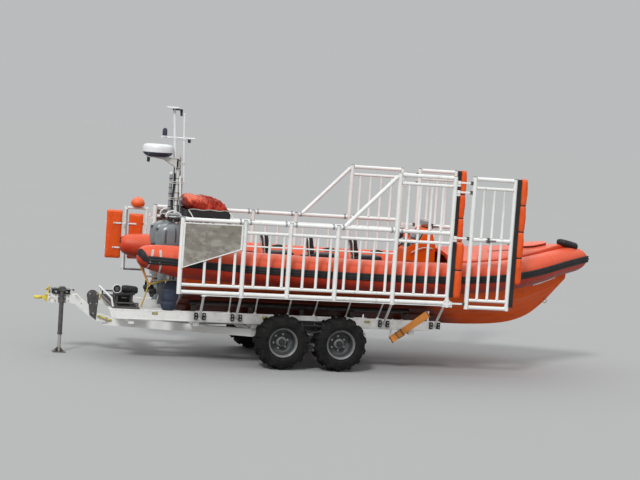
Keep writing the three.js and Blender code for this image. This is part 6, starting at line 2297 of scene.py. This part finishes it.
def chassis_trim_shape():
    """Gussets, the drawbar's side plates, the brake pipes and the boxes between the wheels."""
    shape = Shape(WHITE)
    for s in SIDES.values():
        y = s * KNEE_Y
        for x in (-0.900, 0.000, 0.900):
            for way in (-1, 1):
                outline = [(x + way * 0.049, LEG_Z[1] - 0.002), (x + way * 0.125, LEG_Z[1] - 0.002),
                           (x + way * 0.049, 0.6195)]
                shape.plate(outline, y - 0.005, y + 0.005)
        shape.box((-0.105, y + s * 0.054, 0.385), (0.105, y + s * 0.062, 0.600))
    # Reinforcing plates on the drawbar's bends.
    for s in SIDES.values():
        y = s * 0.080
        for outline in ([(-4.02, 0.845), (-3.86, 0.815), (-3.74, 0.725), (-3.70, 0.845),
                         (-3.84, 0.955), (-4.02, 0.965)],
                        [(-3.62, 0.625), (-3.50, 0.548), (-3.26, 0.500), (-3.26, 0.620),
                         (-3.47, 0.680), (-3.56, 0.760)]):
            shape.plate(outline, y - s * 0.002, y + s * 0.006)
    for s in SIDES.values():
        plate_bolts = ((-3.98, 0.87), (-3.98, 0.94), (-3.76, 0.83), (-3.54, 0.66), (-3.32, 0.53),
                       (-3.32, 0.60))
        shape.bolts([(x, s * 0.086, z) for x, z in plate_bolts], (0, s, 0), 0.009)
        shape.bolts(product((-4.30, -4.20), (s * 0.0795,), (0.855, 0.955)), (0, s, 0), 0.010)
    # The brake pipe and its clips along each leg.
    for s in SIDES.values():
        y = s * (KNEE_Y + 0.060)
        shape.use(STEEL).tube([(-0.86, y, 0.585), (1.05, y, 0.585)], 0.007, 8)
        shape.use(KIT)
        for x in (-0.6, -0.2, 0.3, 0.7, 1.0):
            shape.box((x - 0.010, y - s * 0.006, 0.573), (x + 0.010, y + s * 0.009, 0.597))
    # The dark box between the wheels, with its cover.
    for s in SIDES.values():
        shape.use(STEEL).box((-0.085, s * 0.985, 0.330), (0.065, s * 1.330, 0.455))
        shape.use(KIT).box((-0.078, s * 1.328, 0.345), (0.058, s * 1.336, 0.440))
        shape.bolts(product((-0.066, 0.046), (s * 1.336,), (0.356, 0.429)), (0, s, 0), 0.006)
    return shape


def wheel_guard_shape(s):
    """The bent bar over the gap between two wheels, and the dark plate behind it."""
    shape = Shape(KIT)
    y = s * 1.395
    route = [(-0.155, s * 0.940, 0.760), (-0.155, s * 1.20, 0.800), (-0.190, y, 0.785),
             (-0.150, y, 0.690), (0.0, y, 0.655), (0.150, y, 0.690), (0.190, y, 0.785),
             (0.155, s * 1.20, 0.800), (0.155, s * 0.940, 0.760)]
    shape.tube(smooth_route(route, 5), 0.014, 12)
    shape.tube([(-0.186, y, 0.770), (0.186, y, 0.770)], 0.010, 10)
    shape.plate([(-0.345, 0.797), (0.345, 0.797), (0.250, 0.640), (-0.250, 0.640)], s * 0.9455,
                s * 0.951)
    shape.use(STEEL)
    for x in (-0.155, 0.155):
        shape.box((x - 0.035, s * 0.951, 0.725), (x + 0.035, s * 0.957, 0.797))
    shape.bolts([(x, s * 0.957, 0.740) for x in (-0.178, -0.132, 0.132, 0.178)], (0, s, 0), 0.006)
    return shape


def tow_eye_look_shape():
    shape = Shape(YELLOW)
    rings = []
    for a in angles(40):
        ring = []
        for b in angles(12):
            radius = 0.0535 + 0.0213 * math.cos(b)
            ring.append((-4.490 + radius * math.cos(a), radius * math.sin(a),
                         0.905 + 0.0245 * math.sin(b)))
        rings.append(ring)
    shape.loft(rings, closed=True)
    shape.loft([[(-4.425, -0.030, 0.888), (-4.425, 0.030, 0.888), (-4.425, 0.030, 0.922),
                 (-4.425, -0.030, 0.922)],
                [(-4.350, -0.045, 0.882), (-4.350, 0.045, 0.882), (-4.350, 0.045, 0.928),
                 (-4.350, -0.045, 0.928)]])
    shape.box((-4.356, -0.075, 0.840), (-4.3306, 0.075, 0.970))
    for s in SIDES.values():
        y = s * 0.030
        for root, tip in ((0.922, 0.966), (0.888, 0.844)):
            shape.plate([(-4.40, root), (-4.356, root), (-4.356, tip)], y - 0.005, y + 0.005)
    shape.bolts(product((-4.356,), (-0.058, 0.058), (0.857, 0.953)), (-1, 0, 0), 0.009)
    return shape


def drawbar_box_shape():
    """The low black box on top of the drawbar, its lid strap and the coupling hose stubs."""
    shape = Shape(KIT)
    shape.box((-4.260, -0.105, 0.9804), (-3.960, 0.105, 1.048))
    shape.box((-4.268, -0.112, 1.046), (-3.952, 0.112, 1.062))
    shape.use(BLACK)
    for x in (-4.20, -4.02):
        shape.box((x - 0.014, -0.1145, 0.990), (x + 0.014, 0.1145, 1.066))
    shape.use(ZINC)
    for x in (-4.20, -4.02):
        for s in SIDES.values():
            shape.box((x - 0.018, s * 0.1135, 1.006), (x + 0.018, s * 0.119, 1.034))
    shape.use(STEEL)
    for s in SIDES.values():
        shape.tube([(-4.300, s * 0.030, 0.985), (-4.300, s * 0.030, 1.032),
                    (-4.315, s * 0.030, 1.045), (-4.345, s * 0.030, 1.045)], 0.013, 12)
    shape.use(YELLOW).tube([(-4.318, -0.062, 0.970), (-4.318, -0.062, 1.085)], 0.014, 12)
    shape.lathe([(0, 0), (0.020, 0.004), (0.023, 0.018), (0.014, 0.030), (0, 0.033)],
                (-4.318, -0.062, 1.080), sides=16)
    coupling = [(0, 0), (0.017, 0), (0.017, 0.022), (0.012, 0.026), (0, 0.026)]
    shape.lathe(coupling, (-4.345, -0.030, 1.045), (-1, 0, 0), 16)
    shape.use(RED).lathe(coupling, (-4.345, 0.030, 1.045), (-1, 0, 0), 16)
    # The yellow locking bars clipped along both sides of the neck.
    for s in SIDES.values():
        shape.use(YELLOW).tube([(-3.480, s * 0.108, 0.640), (-3.300, s * 0.108, 0.575),
                                (-3.235, s * 0.108, 0.570)], 0.017, 14)
        shape.use(ZINC)
        for x, z in ((-3.440, 0.626), (-3.320, 0.582)):
            shape.box((x - 0.012, s * 0.078, z - 0.022), (x + 0.012, s * 0.128, z + 0.022))
    return shape


def jack_look_shape():
    x, y = -4.100, -0.140
    shape = Shape(STEEL)
    shape.tube([(x, y, 0.300), (x, y, 1.045)], 0.038, 24)
    for low, radius, height in ((0.300, 0.043, 0.030), (0.834, 0.046, 0.018),
                                (0.948, 0.046, 0.018)):
        shape.collar(0.037, radius, height, (x, y, low), sides=24)
    shape.box((x - 0.060, y + 0.020, 0.840), (x + 0.060, -0.0806, 0.960))
    shape.box((x - 0.060, y - 0.048, 1.040), (x + 0.060, y + 0.048, 1.100))
    shape.lathe([(0, 0), (0.048, 0), (0.044, 0.016), (0, 0.020)], (x, y, 1.100), sides=24)
    shape.loft([[(x - half, y - half, z), (x + half, y - half, z), (x + half, y + half, z),
                 (x - half, y + half, z)]
                for half, z in ((0.110, 0.0005), (0.108, 0.016))])
    for a in angles(4, math.pi / 4):
        out = Vector((math.cos(a), math.sin(a), 0))
        side = Vector((-math.sin(a), math.cos(a), 0)) * 0.004
        base = Vector((x, y, 0.016))
        corners = [base + out * 0.028, base + out * 0.115,
                   base + out * 0.028 + Vector((0, 0, 0.075))]
        shape.loft([[c - side for c in corners], [c + side for c in corners]])
    shape.use(ZINC)
    shape.tube([(x, y, 0.014), (x, y, 0.320)], 0.0295, 24)
    shape.tube([(x + 0.050, y, 1.072), (x + 0.188, y, 1.072)], 0.009, 12)
    shape.tube([(x + 0.180, y, 1.072), (x + 0.180, y - 0.030, 1.072)], 0.009, 12)
    shape.bolts([(x + dx, y + 0.020, z) for z in (0.866, 0.934) for dx in (-0.046, 0.046)],
                (0, -1, 0), 0.008)
    shape.use(BLACK)
    grip = [(0, 0), (0.013, 0.002), (0.0145, 0.010), (0.0125, 0.045), (0.0145, 0.082),
            (0.011, 0.090), (0, 0.091)]
    shape.lathe(grip, (x + 0.180, y - 0.028, 1.072), (0, -1, 0), 16)
    return shape


def winch_look_shape():
    x, z, outside = -3.560, 0.960, 0.096
    shape = Shape(STEEL)
    cheek = [(x - 0.050, 0.640), (x + 0.060, 0.560)]
    for k in range(19):
        a = math.radians(-25 + 230 * k / 18)
        cheek.append((x + 0.096 * math.cos(a), z + 0.096 * math.sin(a)))
    cheek_bolts = ((-0.062, 0.045), (0.062, 0.045), (-0.045, -0.120), (0.055, -0.120),
                   (0.010, -0.290))
    for s in SIDES.values():
        shape.plate(cheek, s * 0.0806, s * outside)
        shape.bolts([(x + dx, s * outside, z + dz) for dx, dz in cheek_bolts], (0, s, 0), 0.009)
    for dx in (-0.066, 0.066):
        shape.tube([(x + dx, -0.088, z + 0.050), (x + dx, 0.088, z + 0.050)], 0.009, 12)
    shape.tube([(x, -0.112, z), (x, 0.112, z)], 0.028, 20)
    # The drum with its turns of wire rope.
    shape.use(ALLOY)
    profile = [(0.026, -0.078), (0.066, -0.078), (0.066, -0.072), (0.050, -0.070)]
    turns = 10
    for k in range(turns):
        y = -0.066 + 0.132 * k / (turns - 1)
        profile += [(0.0560, y - 0.0055), (0.0600, y - 0.002), (0.0600, y + 0.002),
                    (0.0560, y + 0.0055)]
    profile += [(0.050, 0.070), (0.066, 0.072), (0.066, 0.078), (0.026, 0.078)]
    shape.lathe(profile, (x, 0, z), (0, 1, 0), 36)
    # The gearbox and its motor on the port side.
    shape.use(KIT)
    case = [(0, 0), (0.066, 0), (0.074, 0.008), (0.074, 0.052), (0.064, 0.060), (0.054, 0.064),
            (0.054, 0.128), (0.048, 0.138), (0.030, 0.142), (0, 0.143)]
    shape.lathe(case, (x, 0.0965, z), (0, 1, 0), 32)
    shape.bolts([(x + 0.062 * math.cos(a), 0.1565, z + 0.062 * math.sin(a)) for a in angles(6)],
                (0, 1, 0), 0.006)
    # The rope's hook, hauled up to the drum and hung on the seaward cross rod.
    shape.use(YELLOW)
    hook = [(x + 0.088, 0.0, z + 0.060), (x + 0.110, 0.0, z + 0.030), (x + 0.128, 0.0, z - 0.010),
            (x + 0.118, 0.0, z - 0.045), (x + 0.090, 0.0, z - 0.052), (x + 0.072, 0.0, z - 0.032)]
    shape.tube(smooth_route(hook, 5), 0.010, 12)
    return shape


def platform_look_shape():
    shape = Shape(STEEL)
    x0, x1, half, low, top = -3.330, -2.880, 0.940, 0.8706, 0.9000
    # A frame with cross ribs, and the open grating on it.
    for xa, xb in ((x0, x0 + 0.040), (x1 - 0.040, x1)):
        shape.box((xa, -half, low), (xb, half, top + 0.002))
    for y in (-half, half - 0.040):
        shape.box((x0 + 0.040, y, low), (x1 - 0.040, y + 0.040, top + 0.002))
    for k in range(1, 24):
        y = -half + 0.040 + k * (2 * half - 0.080) / 24
        shape.box((x0 + 0.038, y - 0.004, low + 0.004), (x1 - 0.038, y + 0.004, top - 0.004))
    for k in range(1, 6):
        x = x0 + 0.040 + k * (x1 - x0 - 0.080) / 6
        shape.box((x - 0.004, -half + 0.038, low + 0.002), (x + 0.004, half - 0.038, top - 0.006))
    # The locker, with its lid, hinges and catches.
    shape.use(KIT)
    shape.box((-3.250, -0.620, top - 0.006), (-2.960, -0.240, 1.062))
    shape.box((-3.256, -0.626, 1.064), (-2.954, -0.234, 1.094))
    shape.use(BLACK)
    for y in (-0.56, -0.43, -0.30):
        shape.box((-3.235, y - 0.008, 1.094), (-2.975, y + 0.008, 1.0985))
    shape.use(ZINC)
    for y in (-0.53, -0.33):
        shape.box((-3.262, y - 0.018, 1.030), (-3.250, y + 0.018, 1.082))
        shape.tube([(-2.952, y - 0.030, 1.064), (-2.952, y + 0.030, 1.064)], 0.006, 10)
    handle = [(-3.14, -0.626, 1.030), (-3.14, -0.652, 1.024), (-3.07, -0.652, 1.024),
              (-3.07, -0.626, 1.030)]
    shape.tube(smooth_route(handle, 4), 0.006, 10)
    # The rolled rubber mat with its two bands.
    mat_x, mat_z, bands = -3.080, 1.0004, (-0.04, 0.28)
    shape.use(BLACK)
    rings = []
    for k in range(41):
        y = -0.180 + 0.600 * k / 40
        ring = []
        for i in range(40):
            a = 2 * math.pi * i / 40
            lump = wrinkled((math.cos(a), y * 2, math.sin(a)), 0.004, 3.0, 12)
            size = 0.098 - 0.008 * (i / 40) + lump
            size -= 0.010 * hump(y, bands[0], 0.02) + 0.010 * hump(y, bands[1], 0.02)
            if k in (0, 40):
                size -= 0.004
            size = min(size, 0.099)
            ring.append((mat_x + size * math.cos(a), y, mat_z + size * math.sin(a)))
        rings.append(ring)
    shape.loft(rings)
    shape.use(ROPE_BLUE)
    for y in bands:
        shape.ring((mat_x, y, mat_z), (0, 1, 0), 0.092, 0.007, 32)
    # A low pale rail along the landward edge and a dark one along each side.
    shape.use(GALV)
    bar(shape, (-3.352, -0.900, 1.040), (-3.352, 0.900, 1.040), 0.016, 14)
    for s in SIDES.values():
        bar(shape, (-3.318, s * 0.900, 0.900), (-3.350, s * 0.900, 1.036), 0.016, 14)
    shape.use(STEEL)
    for s in SIDES.values():
        bar(shape, (-3.300, s * 0.915, 0.965), (-2.900, s * 0.915, 0.965), 0.014, 12)
        for x in (-3.290, -2.910):
            bar(shape, (x, s * 0.915, 0.900), (x, s * 0.915, 0.960), 0.012, 12)
    return shape


def stern_gear_shape():
    """A flat tread plate, a rubber fender and a ring on the platform's starboard side."""
    shape = Shape(KIT)
    shape.box((-0.150, -0.130, -0.018), (0.190, 0.130, 0.016), tilted(-3.160, -0.800, 1.112, -4))
    shape.use(STEEL)
    for x in (-3.26, -3.02):
        shape.box((x - 0.010, -0.905, 0.900), (x + 0.010, -0.885, 1.100))
        shape.box((x - 0.010, -0.715, 0.900), (x + 0.010, -0.695, 1.094))
    shape.use(BLACK)
    rings = []
    for k in range(25):
        t = k / 24
        size = 0.066 * (0.55 + 0.45 * (1 - abs(2 * t - 1) ** 4) ** 0.5)
        centre = Vector((-3.180 + 0.270 * t, -0.790, 1.192 - 0.020 * t))
        ring = []
        for a in angles(28):
            swell = size + wrinkled((t * 3, math.cos(a), math.sin(a)), 0.005, 2.2, 9)
            ring.append(centre + Vector((0, math.cos(a) * swell, math.sin(a) * swell)))
        rings.append(ring)
    shape.loft(rings)
    shape.ring((-3.262, -0.820, 1.190), (0, 1, 0), 0.048, 0.019, 28)
    shape.use(GALV).ring((-3.262, -0.845, 1.190), (0, 1, 0), 0.068, 0.007, 28)
    return shape


def bundle_shape():
    """The rolled dark cover that stands on the rail under the near sponson."""
    shape = Shape(NAVY)
    rings = []
    steps = 40
    for k in range(steps + 1):
        t = k / steps
        z = 0.872 + 0.500 * t
        full = 0.60 + 0.40 * (1 - abs(2 * t - 1) ** 4) ** 0.5
        full *= 1 - 0.16 * hump(t, 0.30, 0.035) - 0.16 * hump(t, 0.72, 0.035)
        ring = []
        for a in angles(48):
            c, s = math.cos(a), math.sin(a)
            crease = 0.16 * noise.noise(Vector((c * 1.6, s * 1.6, z * 6.0)))
            crease += 0.07 * noise.noise(Vector((c * 4.0, s * 4.0, z * 15.0)))
            wide = 0.135 * squared(c, 0.8) * full * (1 + crease)
            deep = 0.072 * squared(s, 0.8) * full * (1 + crease)
            ring.append((-2.400 + 0.05 * t + wide, -0.895 + deep, z))
        rings.append(ring)
    shape.loft(rings)
    return shape


def lashing_shape():
    """Taut lashings from the sponson's rings down to the rail and the transom."""
    shape = Shape(ROPE_YELLOW)
    low_ring, high_ring = (-2.760, -0.985, 1.300), (-2.480, -0.940, 1.390)
    for a, b in (((-2.905, -1.060, 1.612), low_ring), (low_ring, high_ring),
                 (high_ring, (-2.168, -0.800, 1.300))):
        shape.tube([a, b], 0.016, 12)
    shape.tube([low_ring, (-2.860, -0.930, 0.905)], 0.012, 10)
    shape.use(WEBBING).tube([(-2.940, -1.080, 1.640), low_ring], 0.024, 12, flat=0.35)
    shape.tube([(-2.640, -1.060, 1.520), low_ring], 0.020, 12, flat=0.35)
    shape.use(ZINC)
    for spot in (low_ring, high_ring):
        shape.ring(spot, (0, 1, 0), 0.026, 0.006, 20)
    return shape


def sponson_tapes_shape():
    """Two pale webbing tapes round the near sponson's outer side, each with a buckle."""
    shape = Shape(WHITE_WEB)
    rows = smooth_rows(SPONSON, SPONSON_STEP)
    for x_top, x_low in ((-2.770, -2.835), (-2.650, -2.628)):
        rings = []
        for k in range(25):
            t = k / 24
            x = x_top + (x_low - x_top) * t
            _, y, z, radius = rows_at(rows, x)
            a = math.radians(42 - 118 * t)
            out = Vector((0, -math.cos(a), math.sin(a)))
            centre = Vector((x, -y, z)) + out * (radius + 0.001)
            side = Vector((0.019, 0, 0))
            rings.append([centre - side - out * 0.003, centre + side - out * 0.003,
                          centre + side + out * 0.004, centre - side + out * 0.004])
        shape.loft(rings)
    shape.use(ZINC)
    for x in (-2.795, -2.640):
        _, y, z, radius = rows_at(rows, x)
        shape.box((x - 0.024, -y - radius - 0.012, z - 0.075),
                  (x + 0.024, -y - radius + 0.006, z - 0.040))
    return shape


def strap_run(s):
    """A strap's two ends, the way from one to the other, and the way across its width."""
    y = s * (RAIL["y"] + RAIL["half"] + 0.0044)
    low, high = Vector((STRAP_LOW[0], y, STRAP_LOW[1])), Vector((STRAP_HIGH[0], y, STRAP_HIGH[1]))
    along = (high - low).normalized()
    return low, high, along, Vector((-along.z, 0, along.x))


def strap_look_shape(s):
    """A flat webbing strap drawn tight between its two posts on the rail, and its length."""
    shape = Shape(WEBBING)
    low, high, _, square = strap_run(s)
    rings = []
    for k in range(41):
        t = k / 40
        narrow = 1 - 0.10 * math.sin(math.pi * t) ** 2
        centre = low.lerp(high, t)
        bow = 0.0008 * math.sin(9 * t)
        half = square * (STRAP_WIDTH / 2 * narrow)
        thick = Vector((0, 0.0018, 0))
        centre = centre + Vector((0, bow, 0))
        rings.append([centre - half - thick, centre + half - thick, centre + half + thick,
                      centre - half + thick])
    shape.loft(rings)
    return shape, (high - low).length


def strap_fitting_shape(s):
    """The bars that a strap's ends are sewn round, and its ratchet."""
    shape = Shape(STEEL)
    low, high, along, square = strap_run(s)
    for end, way in ((low, 1), (high, -1)):
        centre = end + along * (way * 0.012)
        a, b = centre - square * 0.069, centre + square * 0.069
        shape.tube([a + Vector((0, s * 0.004, 0)), b + Vector((0, s * 0.004, 0))], 0.0085, 12)
    middle = low + along * 0.19 + Vector((0, s * 0.006, 0))
    for edge in (-1, 1):
        a = middle - along * 0.060 + square * (edge * 0.062)
        b = middle + along * 0.070 + square * (edge * 0.062)
        shape.tube([a, b + Vector((0, s * 0.014, 0))], 0.0055, 10)
    for step in (-0.045, 0.055):
        a = middle + along * step - square * 0.064 + Vector((0, s * 0.006, 0))
        b = middle + along * step + square * 0.064 + Vector((0, s * 0.006, 0))
        shape.tube([a, b], 0.0075, 12)
    return shape


def deck_kit_shape():
    """Non-slip strips, drains, a fuel hatch and foot rails on the cockpit floor."""
    shape = Shape(KIT)
    top = DECK_TOP
    for s in SIDES.values():
        for x0, x1 in ((-1.95, -1.20), (-1.10, -0.30), (-0.20, 0.60), (0.70, 1.50)):
            shape.box((x0, s * 0.36, top - 0.001), (x1, s * 0.56, top + 0.004))
    shape.use(HULL_PAINT)
    shape.box((-1.760, -0.190, top - 0.001), (-1.000, 0.190, top + 0.018))
    shape.use(ZINC)
    for spot in product((-1.70, -1.06), (-0.15, 0.15), (top + 0.018,)):
        shape.lathe([(0, 0), (0.014, 0), (0.012, 0.004), (0, 0.005)], spot, sides=16)
    shape.use(BLACK)
    for s in SIDES.values():
        for x in (-1.30, 0.10, 1.40):
            half_loop = ((0.14, 0.0), (0.13, 0.045), (0.09, 0.070))
            loop = [(x - dx, s * 0.64, top + dz) for dx, dz in half_loop]
            loop += [(x + dx, s * 0.64, top + dz) for dx, dz in half_loop[::-1]]
            shape.tube(smooth_route(loop, 4), 0.013, 10)
    return shape


def bracket_look_shape():
    aft = TRANSOM_X
    shape = Shape(STEEL)
    shape.box((aft - 0.014, -0.600, 1.150), (aft - 0.0006, 0.600, 1.580))
    shape.use(ALLOY)
    for s in SIDES.values():
        for edge in (-1, 1):
            y = s * ENGINE_Y + edge * 0.098
            cheek = [(aft - 0.010, 1.250), (aft - 0.090, 1.330), (-2.250, 1.620), (-2.250, 1.675),
                     (-2.180, 1.675), (aft - 0.010, 1.575)]
            shape.plate(cheek, y - 0.012, y + 0.012)
            shape.use(STEEL)
            for x, z in ((-2.200, 1.56), (-2.196, 1.50), (-2.192, 1.44), (-2.188, 1.38)):
                shape.disc(0.007, 0.0025, (x, y + edge * 0.012, z), (0, edge, 0), 12)
            shape.use(ALLOY).bolts([(TILT_X, y + edge * 0.012, TILT_Z)], (0, edge, 0), 0.014)
        y = s * ENGINE_Y
        shape.bolts(product((aft - 0.014,), (y - 0.150, y + 0.150), (1.20, 1.32, 1.44, 1.55)),
                    (-1, 0, 0), 0.010)
    return shape


def swivel_look_shape(y):
    """The clamp's swivel: a bored tube on an arm; the engine turns inside the bore."""
    x, arm = STEER_X, 0.0808
    shape = Shape(ALLOY)
    profile = [(0.0222, 1.2505), (0.0405, 1.2505), (0.0420, 1.262), (0.0385, 1.275),
               (0.0385, 1.600), (0.0420, 1.612), (0.0420, 1.680), (0.0400, 1.6895),
               (0.0222, 1.6895)]
    shape.swept(profile, 28, round_z(x, y))
    shape.box((x + 0.028, y - arm, 1.6125), (-2.1875, y + arm, 1.6675))
    shape.box((x + 0.028, y - 0.028, 1.272), (x + 0.094, y + 0.028, 1.328))
    shape.plate([(x + 0.030, 1.330), (x + 0.060, 1.330), (x + 0.060, 1.560), (x + 0.120, 1.612),
                 (x + 0.030, 1.612)],
                y - 0.010, y + 0.010)
    shape.use(ZINC)
    for s in (-1, 1):
        shape.disc(0.018, 0.003, (TILT_X, y + s * arm, TILT_Z), (0, s, 0), 16)
    shape.use(KIT)
    shape.tube([(x + 0.070, y, 1.345), (x + 0.098, y, 1.58)], 0.013, 12)
    return shape


def make_carriage():
    make("cradle_look", cradle_look_shape(), stands_for=["cradle"], bevel=0.004)
    make("chassis_trim", chassis_trim_shape(), bevel=0.002)
    make("tow_eye_look", tow_eye_look_shape(), stands_for=["tow_eye"], bevel=0.003)
    make("drawbar_box", drawbar_box_shape(), bevel=0.003)
    make("parking_jack_look", jack_look_shape(), stands_for=["parking_jack"],
         bevel=0.002)
    make("winch_look", winch_look_shape(), stands_for=["winch"], bevel=0.002)
    make("platform_look", platform_look_shape(), stands_for=["stern_platform"],
         bevel=0.0015)
    make("stern_gear", stern_gear_shape(), bevel=0.002)
    make("stern_cover_roll", bundle_shape(), bevel=0, smooth=70)
    make("stern_lashings", lashing_shape(), bevel=0)
    make("sponson_tapes", sponson_tapes_shape(), bevel=0)
    make("deck_kit", deck_kit_shape(), bevel=0.002)
    make("transom_bracket_look", bracket_look_shape(), stands_for=["transom_bracket"],
         bevel=0.003)
    for side, s in SIDES.items():
        make(f"wheel_guard_{side}", wheel_guard_shape(s), bevel=0.001)
        strap, length = strap_look_shape(s)
        piece = make(f"strap_look_{side}", strap, stands_for=[f"strap_{side}"], bevel=0)
        make(f"strap_fitting_{side}", strap_fitting_shape(s), bevel=0)
        make(f"swivel_look_{side}", swivel_look_shape(s * ENGINE_Y), f"swivel_{side}",
             [f"swivel_bracket_{side}"], 0.002)


make_carriage()


# The floor

FLOOR_REACH = 400


def make_floor():
    mesh = bpy.data.meshes.new("floor")
    reach = FLOOR_REACH
    corners = [(-reach, -reach, 0), (reach, -reach, 0), (reach, reach, 0), (-reach, reach, 0)]
    mesh.from_pydata(corners, [], [(0, 1, 2, 3)])
    mesh.materials.append(floor_paint())
    floor = placed("floor", mesh)


make_floor()
